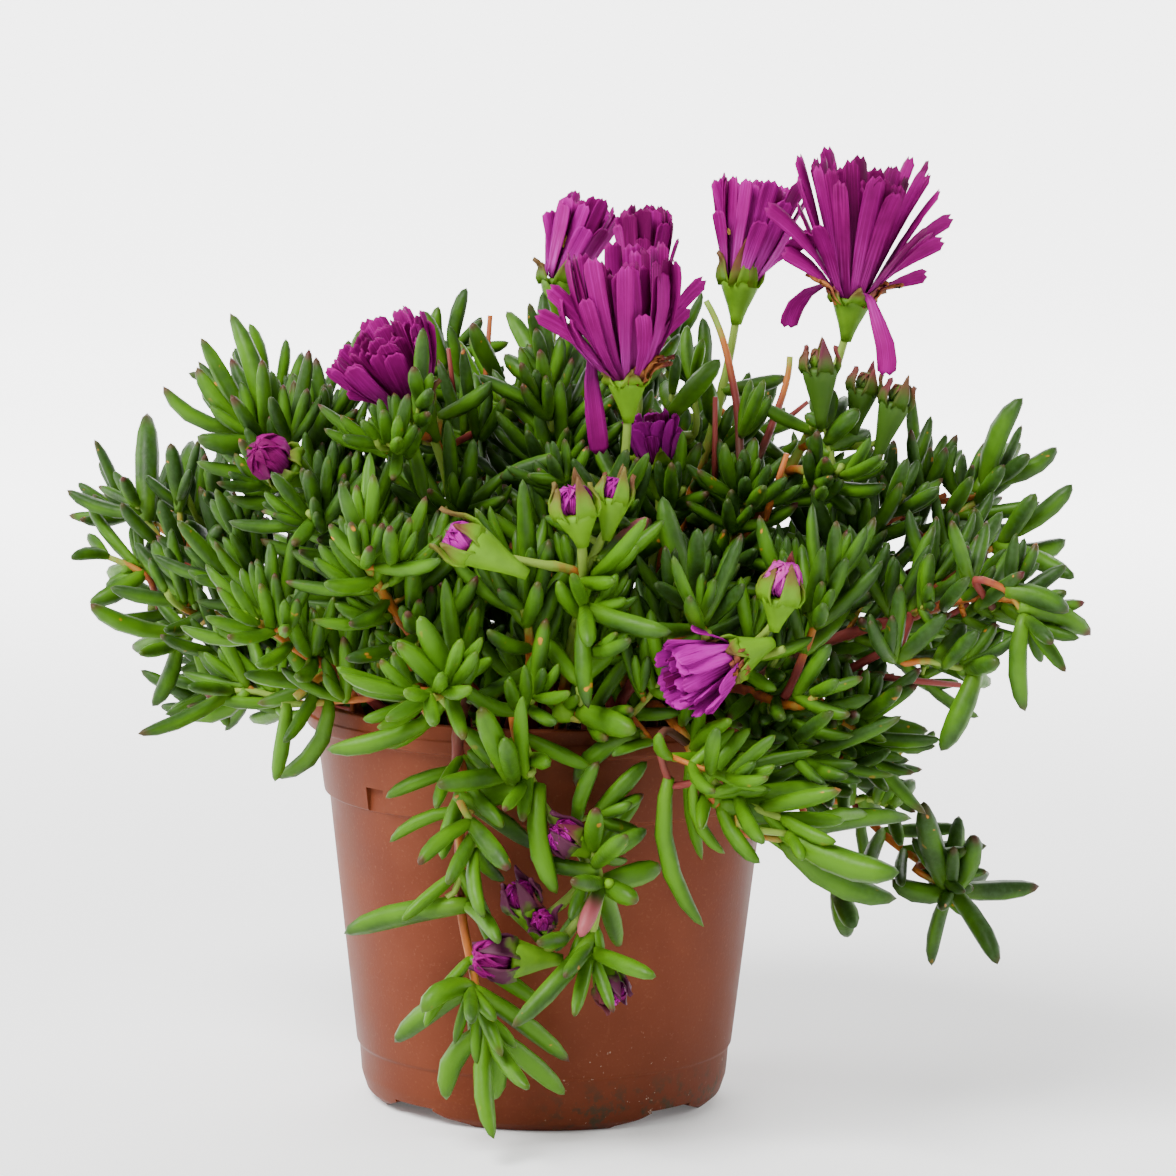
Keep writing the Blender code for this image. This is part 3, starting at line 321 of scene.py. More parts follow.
class Path:
    """A smooth curve through points, from one heading to another, in short chords."""

    def __init__(self, points, start, end, step=STEM_STEP):
        self.controls = (points, start, end)
        points = [np.asarray(p, float) for p in points]
        gaps = [np.linalg.norm(b - a) for a, b in zip(points, points[1:])]
        tangents = [unit(start) * gaps[0]]
        for i in range(1, len(points) - 1):
            tangents.append(unit(points[i + 1] - points[i - 1]) * min(gaps[i - 1], gaps[i]))
        tangents.append(unit(end) * gaps[-1])
        rows = []
        for i, gap in enumerate(gaps):
            count = max(1, round(gap / step))
            for k in range(count):
                t = k / count
                rows.append(
                    (2 * t**3 - 3 * t**2 + 1) * points[i]
                    + (t**3 - 2 * t**2 + t) * tangents[i]
                    + (3 * t**2 - 2 * t**3) * points[i + 1]
                    + (t**3 - t**2) * tangents[i + 1]
                )
        rows.append(points[-1])
        self.points = np.array(rows)
        steps = np.linalg.norm(np.diff(self.points, axis=0), axis=1)
        self.along = np.concatenate([[0], np.cumsum(steps)])
        self.length = self.along[-1]
        self.end = unit(end)
        self.frames = self.carried_frames()

    def carried_frames(self):
        """A side direction at each sample, carried back from the tip without twisting."""
        rising = vec(0, 0, 1) if abs(self.end[2]) < 0.8 else vec(0, -1, 0)
        side = unit(rising - self.end * rising.dot(self.end))
        sides = [side]
        for k in range(len(self.points) - 2, -1, -1):
            run = unit(self.points[k + 1] - self.points[k])
            side = unit(side - run * side.dot(run))
            sides.append(side)
        return np.array(sides[::-1])

    def at(self, distance):
        """The point at a distance along the path."""
        return np.array([np.interp(distance, self.along, self.points[:, i]) for i in range(3)])

    def direction(self, distance):
        """Where the path runs at a distance along it."""
        low = max(0.0, distance - READ_ALONG)
        high = min(self.length, distance + READ_ALONG)
        return unit(self.at(high) - self.at(low))

    def side(self, distance):
        """A direction across the path at a distance along it."""
        k = int(np.searchsorted(self.along, distance))
        run = self.direction(distance)
        side = self.frames[min(k, len(self.frames) - 1)]
        return unit(side - run * side.dot(run))


class Space:
    """What is already placed, as round-ended rods, to keep each new piece clear of it."""

    def __init__(self):
        self.starts = np.zeros((0, 3))
        self.ends = np.zeros((0, 3))
        self.radii = np.zeros(0)
        self.owners = []

    def add(self, owner, rods):
        """Take up room with a stem's rods."""
        for start, end, radius in rods:
            self.starts = np.vstack([self.starts, start])
            self.ends = np.vstack([self.ends, end])
            self.radii = np.append(self.radii, radius)
            self.owners.append(owner)

    def slack(self, owner, rods, own_too=False):
        """The least room beside pot, soil and other stems' pieces, and its own where asked."""
        picked = np.array([own_too or other != owner for other in self.owners], bool)
        return self.least_gap(rods, picked, (0.0, 0.25, 0.5, 0.75, 1.0))

    def room(self, rods):
        """The least room beside anything that is placed, the pot and the soil included."""
        return self.least_gap(rods, np.ones(len(self.radii), bool), (0.0, 0.5, 1.0))

    def least_gap(self, rods, picked, marks):
        """The least room of rods beside the pot and what is picked."""
        least = min(pot_room(a + (b - a) * mark, radius) for a, b, radius in rods for mark in marks)
        if picked.any():
            for start, end, radius in rods:
                gaps = rod_gaps(start, end, self.starts[picked], self.ends[picked])
                least = min(least, float((gaps - self.radii[picked]).min()) - radius)
        return least

    def near(self, centre, reach):
        """What lies near a point, in a space of its own, so that many leaves are tested quickly."""
        close = Space()
        middles = (self.starts + self.ends) / 2
        picked = np.linalg.norm(middles - centre, axis=1) < reach
        close.starts, close.ends = self.starts[picked], self.ends[picked]
        close.radii = self.radii[picked]
        return close


def rod_gaps(p, q, starts, ends):
    """The distances between the axis p to q and many other axes."""
    d1 = q - p
    d2 = ends - starts
    r = p - starts
    a = d1.dot(d1) + 1e-9
    e = np.einsum("ij,ij->i", d2, d2) + 1e-9
    f = np.einsum("ij,ij->i", d2, r)
    c = r @ d1
    b = d2 @ d1
    spanned = a * e - b * b
    s = np.clip(np.where(spanned > 1e-9, (b * f - c * e) / np.maximum(spanned, 1e-9), 0.0), 0, 1)
    t = (b * s + f) / e
    held = np.clip(t, 0, 1)
    s = np.where(t != held, np.clip((b * held - c) / a, 0, 1), s)
    near = p + s[:, None] * d1 - (starts + held[:, None] * d2)
    return np.linalg.norm(near, axis=1)


def pot_room(point, radius):
    """How far a ball lies from the pot and the soil, negative inside them."""
    out = math.hypot(point[0], point[1])
    z = point[2]
    inner = LIP_RADIUS - 3.0
    if z > POT_HEIGHT:
        across = max(inner - out, out - LIP_RADIUS, 0.0)
        return math.hypot(across, z - POT_HEIGHT) - radius
    if out < (inner + LIP_RADIUS) / 2:
        return min(inner - out, z - SOIL_TOP) - radius
    taper = max(0.0, POT_HEIGHT - LIP_HEIGHT - 1.5 - z)
    wall = LIP_RADIUS - min(taper, 2.0) - 0.09 * max(0.0, BAND_FOOT_Z - z)
    return min(out - wall, z - 1.0 + radius) - radius


def round_about(axis, side, angle):
    """The direction across an axis that lies at an angle from a side direction."""
    return side * math.cos(angle) + np.cross(axis, side) * math.sin(angle)


def sprung_leaf(base, run, side, turn, lean, length, girth, rise, curve):
    """A leaf that leans out from its stem at a turn round it, and curves up towards its tip.

    It is (base, aim, lift, length, radius). Its girth is (the least share of the full radius,
    what length adds to it, the length from which a leaf is no thicker).
    """
    away = round_about(run, side, turn)
    aim = unit(run * math.cos(lean) + away * math.sin(lean))
    lift = unit(run * 0.8 + vec(0, 0, rise)) * curve
    lift = lift - aim * lift.dot(aim)
    thin, more, full = girth
    return base, aim, lift, length, LEAF_RADIUS * (thin + more * min(1.0, length / full))


def leaf_point(leaf, share):
    """A point on a leaf's curved centre line, from its stem's axis at 0 to its tip at 1."""
    base, run, lift, length, _ = leaf
    return base + length * (run * share + lift * share * share)


# The rods that stand for a leaf, as (from, to, share of its radius), and how far its corners reach
LEAF_SPANS = ((0.24, 0.5, 1.0), (0.5, 0.78, 0.95), (0.78, 0.96, 0.62))
CORNER_SHARE = 0.94
STEM_ROOM = 0.1


def leaf_rods(leaf):
    """The room that a leaf takes."""
    radius = leaf[4] * LEAF_CORNER * CORNER_SHARE
    return [(leaf_point(leaf, a), leaf_point(leaf, b), radius * k) for a, b, k in LEAF_SPANS]


def stem_rods(path, radius_from, radius_to, first):
    """The room that a stem takes from a first place on its path."""
    rods = []
    for a, b in zip(path.along, path.along[1:]):
        if b <= first:
            continue
        share = (a + b) / 2 / path.length
        radius = radius_from + (radius_to - radius_from) * share
        rods.append((path.at(max(a, first)), path.at(b), radius + STEM_ROOM))
    return rods


# How far from the pot's axis a stem is rooted: at least this, and more by how far out it ends and
# by how low it ends
ROOT_LEAST, ROOT_BY_OUT, ROOT_BY_LOW = 8.0, 0.30, 16.0
LOW_FROM_Z, LOW_SPAN = 150.0, 60.0
# The steps in which places for a hole are tried, inwards in rings and round in turns
RING_STEP = 4.2
TURN_STEP_DEG = 7.0
INNER_RINGS = 7
OUTER_RINGS = 2
MOST_TURNS = 12
LEAST_ROOT_RADIUS = 3.0


def root_places(sprays):
    """A hole in the soil for each rooted stem, towards where its main shoot goes."""
    taken = []
    places = {}
    for name, shoots in sprays.items():
        tip = vec(*(ROUTES[name][0] if name in ROUTES else shoots[0][1]))
        out = math.hypot(tip[0], tip[1])
        low = min(max(0.0, (LOW_FROM_Z - shoots[0][1][2]) / LOW_SPAN), 1.0)
        wanted = min(MOST_ROOT_RADIUS, ROOT_LEAST + ROOT_BY_OUT * out + ROOT_BY_LOW * low)
        angle = math.atan2(tip[1], tip[0])
        best = None
        for ring in range(INNER_RINGS + OUTER_RINGS):
            if ring < INNER_RINGS:
                radius = max(LEAST_ROOT_RADIUS, wanted - RING_STEP * ring)
            else:
                radius = wanted + RING_STEP * (ring - INNER_RINGS + 1)
            for step in range(-MOST_TURNS, MOST_TURNS + 1):
                turn = angle + math.radians(TURN_STEP_DEG * step)
                if radius > MOST_ROOT_RADIUS:
                    continue
                place = vec(radius * math.cos(turn), radius * math.sin(turn), SOIL_TOP)
                if any(np.linalg.norm(place - other) < ROOT_SPACING for other in taken):
                    continue
                cost = abs(radius - wanted) + radius * abs(turn - angle)
                if best is None or cost < best[0]:
                    best = (cost, place)
        taken.append(best[1])
        places[name] = best[1]
    return places


# How much of a nudge the first point of a route takes
ROUTE_NUDGE = 0.35
# From this nudge on a stem is also moved low down
BIG_NUDGE = 2.0


def main_path(name, shoot, root, nudge):
    """The main stem's path, from just above its hole."""
    tip = shoot_end(shoot)
    heading = unit(vec(*shoot[2]))
    points = [root + vec(0, 0, ROOT_RISE)] + [vec(*p) for p in ROUTES.get(name, ())] + [tip]
    if name in ROUTES:
        points[1] = points[1] + nudge * ROUTE_NUDGE
    else:
        span = np.linalg.norm(tip - root)
        middle = root * 0.18 + tip * 0.82 - heading * 0.11 * span + vec(0, 0, 0.02 * span)
        if tip[2] < LOW_TIP_Z:
            share = (LIP_RADIUS + 1) / math.hypot(tip[0], tip[1])
            middle = vec(tip[0] * share, tip[1] * share, OVER_RIM_Z)
        points.insert(1, middle + nudge)
        if np.linalg.norm(nudge) > BIG_NUDGE:
            low = root * 0.6 + middle * 0.4 + vec(-nudge[1], nudge[0], abs(nudge[2])) * 0.7
            points.insert(1, low)
    return Path(points, vec(0, 0, 1), heading)


# How far a stem reaches into the cup of its head
INTO_CUP = 3.0


def shoot_end(shoot):
    """Where a shoot's stem ends: at its tip, or inside the cup of its bloom or bud."""
    kind, tip, heading, _, _ = shoot
    inside = INTO_CUP if kind in HEAD_KINDS else 0.0
    return vec(*tip) - unit(vec(*heading)) * inside


# Where along its main stem a side shoot may start, as (from, to, how many places)
FORK_SHARES = (0.30, 0.93, 22)
# Side shoots of about this length are liked best, and this is what a right angle costs in length
FORK_LENGTH = 15
FORK_TURN_COST = 13
FORK_BOW = 0.12


def branch_path(main, shoot, nudge):
    """A side shoot's path, from the place on the main stem that suits its tip."""
    tip = shoot_end(shoot)
    heading = unit(vec(*shoot[2]))
    best = None
    for share in np.linspace(*FORK_SHARES):
        distance = share * main.length
        place = main.at(distance)
        if place[2] < SOIL_TOP + 9 and math.hypot(place[0], place[1]) < LIP_RADIUS:
            continue
        gap = np.linalg.norm(tip - place)
        turn = 1 - unit(tip - place).dot(main.direction(distance))
        cost = abs(gap - FORK_LENGTH) + FORK_TURN_COST * turn
        if best is None or cost < best[0]:
            best = (cost, distance)
    place = main.at(best[1])
    gap = np.linalg.norm(tip - place)
    start = unit(unit(tip - place) + 0.5 * main.direction(best[1]))
    middle = (place + tip) / 2 + (start - heading) * gap * FORK_BOW + nudge
    return Path([place, middle, tip], start, heading)


# How far a path is nudged at first and how much further each time, in millimetres
FIRST_NUDGE = 1.2
MORE_NUDGE = 0.16
# The room that a path of the solids needs, that a leaf needs, and that it needs beside its own stem
PATH_ROOM = CLEAR + 0.25
LEAF_ROOM = CLEAR + 0.1
OWN_ROOM = 0.05


def placed_path(space, owner, make, radii, first):
    """The first path that clears what is placed, or the clearest that was tried, and its rods."""
    best = None
    for trial in range(PATH_TRIES):
        size = 0.0 if trial == 0 else FIRST_NUDGE + MORE_NUDGE * trial
        nudge = vec(*(spread(-1, 1, owner, "nudge", trial, axis) for axis in range(3))) * size
        path = make(nudge)
        rods = stem_rods(path, *radii, first)
        slack = space.slack(owner, rods)
        if best is None or slack > best[0]:
            best = (slack, path, rods)
        if slack > PATH_ROOM:
            break
    return best[1:]


# The ways a leaf of the solids tries to find its room, in degrees and as shares of its length
OPEN_TRIES = (0, 9, -9, 18, -18, 27)
SWEEP_TRIES = (0, 12, -12, 24, -24, 38, -38)
LAID_SCALES = (1.0, 0.88, 0.76)
LAID_GIRTH = (0.62, 0.38, 16.0)
# How much a leaf's curve turns upwards, against how much it turns along its stem
LEAF_RISE = 0.55


def placed_leaf(space, owner, path, distance, turn, opening, length, key):
    """A leaf at one side of a stem, turned, closed or shortened until it is clear, or None."""
    base, run, side = path.at(distance), path.direction(distance), path.side(distance)
    curve = spread(0.14, 0.30, key, "lift")
    for scale in LAID_SCALES:
        for wide in OPEN_TRIES:
            for sweep in SWEEP_TRIES:
                angle, lean = math.radians(turn + sweep), math.radians(max(12.0, opening + wide))
                leaf = sprung_leaf(
                    base, run, side, angle, lean, length * scale, LAID_GIRTH, LEAF_RISE, curve
                )
                rods = leaf_rods(leaf)
                if space.slack(owner, rods) < LEAF_ROOM:
                    continue
                if space.slack(owner, rods[1:], own_too=True) < OWN_ROOM:
                    continue
                return leaf
    return None


# A shoot's leaf pairs in the order they are placed, as (distance back from its tip in node gaps,
# share of its longest leaf, opening in degrees)
PAIR_PLACES = ((1.1, 0.92, 36.0), (2.2, 1.0, 54.0), (0.2, 0.62, 18.0), (3.5, 0.96, 64.0))


def lay_out(sprays):
    """Every stem's path and every leaf, as {name: {"paths", "leaves", "heads"}}."""
    roots = root_places(sprays)
    space = Space()
    for name, shoots in sprays.items():
        for kind, base, heading, size in heads_of(shoots):
            space.add(name, head_rods(kind, base, heading, size))
            if kind == "bloom":
                for turn, marks in LOOSE_PETALS.get(name, ()):
                    run = strap_points(base, heading, math.radians(turn), marks)[1]
                    rods = [(a, b, STRAP_WIDTH * 0.55) for a, b in zip(run[1:], run[2:])]
                    space.add(name + " loose", rods)
    plan = {}
    for name in sorted(sprays, key=lambda name: (name not in ROUTES, "stem_back_" in name)):
        shoots, radii = sprays[name], (ROOT_RADIUS, TIP_RADIUS)
        main, rods = placed_path(
            space, name, lambda nudge: main_path(name, shoots[0], roots[name], nudge), radii, 4.0
        )
        space.add(name, rods)
        paths = [(main, *radii)]
        for shoot in shoots[1:]:
            branch, rods = placed_path(
                space, name, lambda nudge: branch_path(main, shoot, nudge * 0.6), BRANCH_RADII, 0.0
            )
            space.add(name, rods)
            paths.append((branch, *BRANCH_RADII))
        plan[name] = {"paths": paths, "leaves": [], "heads": heads_of(shoots)}
    for level, pair in enumerate(PAIR_PLACES):
        for name, shoots in sprays.items():
            for index, shoot in enumerate(shoots):
                if shoot[0] == "leaf" and level < shoot[4]:
                    place_pair(space, plan[name], (name, index, level), shoot[3], pair)
    return plan


def place_pair(space, parts, key, longest, pair):
    """One pair of leaves across a stem from each other, where there is room for them."""
    name, index, _ = key
    path = parts["paths"][index][0]
    back, scale, opening = pair
    distance = path.length - back * NODE_GAP
    turn = 360 * draw(name, index, "turn") + 90 * round(back)
    for half in range(2):
        length = longest * scale * spread(0.9, 1.06, key, half, "length")
        turned = turn + 180 * half
        leaf = placed_leaf(space, name, path, distance, turned, opening, length, (key, half))
        if leaf:
            space.add(name, leaf_rods(leaf))
            parts["leaves"].append(leaf)


def head_rods(kind, base, heading, size):
    """The room that a bloom or a bud takes, as rods along its axis."""
    length, mouth = size
    cup = [(base - heading * 5.0, base, CUP_RADIUS + 0.1)]
    if kind != "spent":
        cup.append((base + heading * 1.0, base + heading * 4.5, 5.6))
    if kind != "bloom":
        return cup + [(base, base + heading * (length - mouth * 0.6), mouth + 0.5)]
    rods = list(cup)
    for k in range(4):
        share = (k + 0.7) / 4
        wide = bloom_radius(share, mouth) + 0.8
        middle = base + heading * length * share
        rods.append((middle - heading * 0.5, middle + heading * 0.5, min(wide, length * 0.45)))
    return rods


def bloom_radius(share, mouth):
    """How wide a bloom's funnel is at a share of its height."""
    return 2.6 + (mouth - 2.6) * (0.42 * share + 0.58 * share**2)


def strap_points(base, heading, turn, marks):
    """Where a loose petal runs, out of its funnel and down outside the sepals."""
    away = round_about(heading, sideways(heading), turn)
    return away, [base + away * out + heading * up for out, up in marks]


def sideways(heading):
    """An upright direction across a heading."""
    rising = vec(0, 0, 1) if abs(heading[2]) < 0.8 else vec(0, -1, 0)
    return unit(rising - heading * rising.dot(heading))


# What the looks add to the solids' layout

# Leaf pairs further back along a shoot, as (distance in node gaps, share of the longest leaf,
# opening in degrees)
MORE_PAIRS = (
    (0.2, 0.62, 18.0), (3.5, 0.96, 64.0), (4.9, 0.92, 68.0), (6.4, 0.86, 72.0), (8.0, 0.82, 76.0),
)
INNER_GAP = 7.5
# The longest leaf on a bloom's or a bud's stalk
STALK_LEAF = 16.0
FINE_STEP = 2.2
# How far below its head a bloom's or a bud's stalk stays bare
BARE_STALK = {"bloom": 21.0, "bud": 9.0, "spent": 7.0}

# Between these heights the looks add no pairs, so that the bare stem shows
BARE_STRETCH = {"trailer_long": (38.0, 68.0)}

# The leaves' tone (0 dark and blue, 1 bright and yellow) and how many have a purple tip, by stem.
# The tone is partly the leaves' own colour and partly painted light and shade: shaded shoots
# darker, lit shoots brighter.
TONES = {
    "trailer_long": (0.8, 0.1),
    "trailer_right": (0.82, 0.15),
    "trailer_buds": (0.72, 0.45),
    "trailer_rosette": (0.30, 0.75),
    "stem_front_left": (0.85, 0.15),
    "stem_bud_fork": (0.75, 0.2),
    "stem_mid_front": (0.55, 0.3),
    "stem_rosette_left": (0.62, 0.6),
    "stem_rosette_front": (0.62, 0.6),
    "stem_far_left": (0.22, 0.8),
    "stem_low_left": (0.40, 0.6),
    "stem_high_left": (0.42, 0.7),
    "stem_droop_left": (0.35, 0.5),
    "stem_rim_left": (0.60, 0.3),
    "stem_far_right": (0.25, 0.7),
    "stem_right_low": (0.35, 0.6),
    "stem_right_front": (0.45, 0.2),
    "stem_low_front": (0.7, 0.2),
    "flower_f": (0.55, 0.35),
    "flower_g": (0.8, 0.2),
}
USUAL_TONE = (0.42, 0.35)

# Bare stalks that end where they were cut, as (from, to) in millimetres with their radius
CUT_STALKS = {
    "stem_right_front": [
        ((63, -37, 100), (89.5, -31, 113), 1.15),
        ((66, -36, 99.5), (88, -32, 96), 0.95),
    ],
    "stem_far_right": [((70, -5, 127), (86, -8, 134.5), 0.9)],
    "stem_back_11": [((-20.5, 2, 150), (-22.4, 0, 164.5), 0.7)],
    "stem_crown": [((-15, 8, 150), (-13.6, 10, 171), 0.8)],
    "stem_dry_fork": [((50.5, -3, 150), (56, -1, 154), 0.8)],
    "flower_d": [((35.5, -19, 139), (35.3, -20, 156), 0.8)],
    "flower_h": [((46, -27, 131), (50.3, -31, 145), 0.95)],
}


# The picture's viewpoint, from which the shown shoots were measured
VIEWPOINT = vec(8.6, -950, 226)
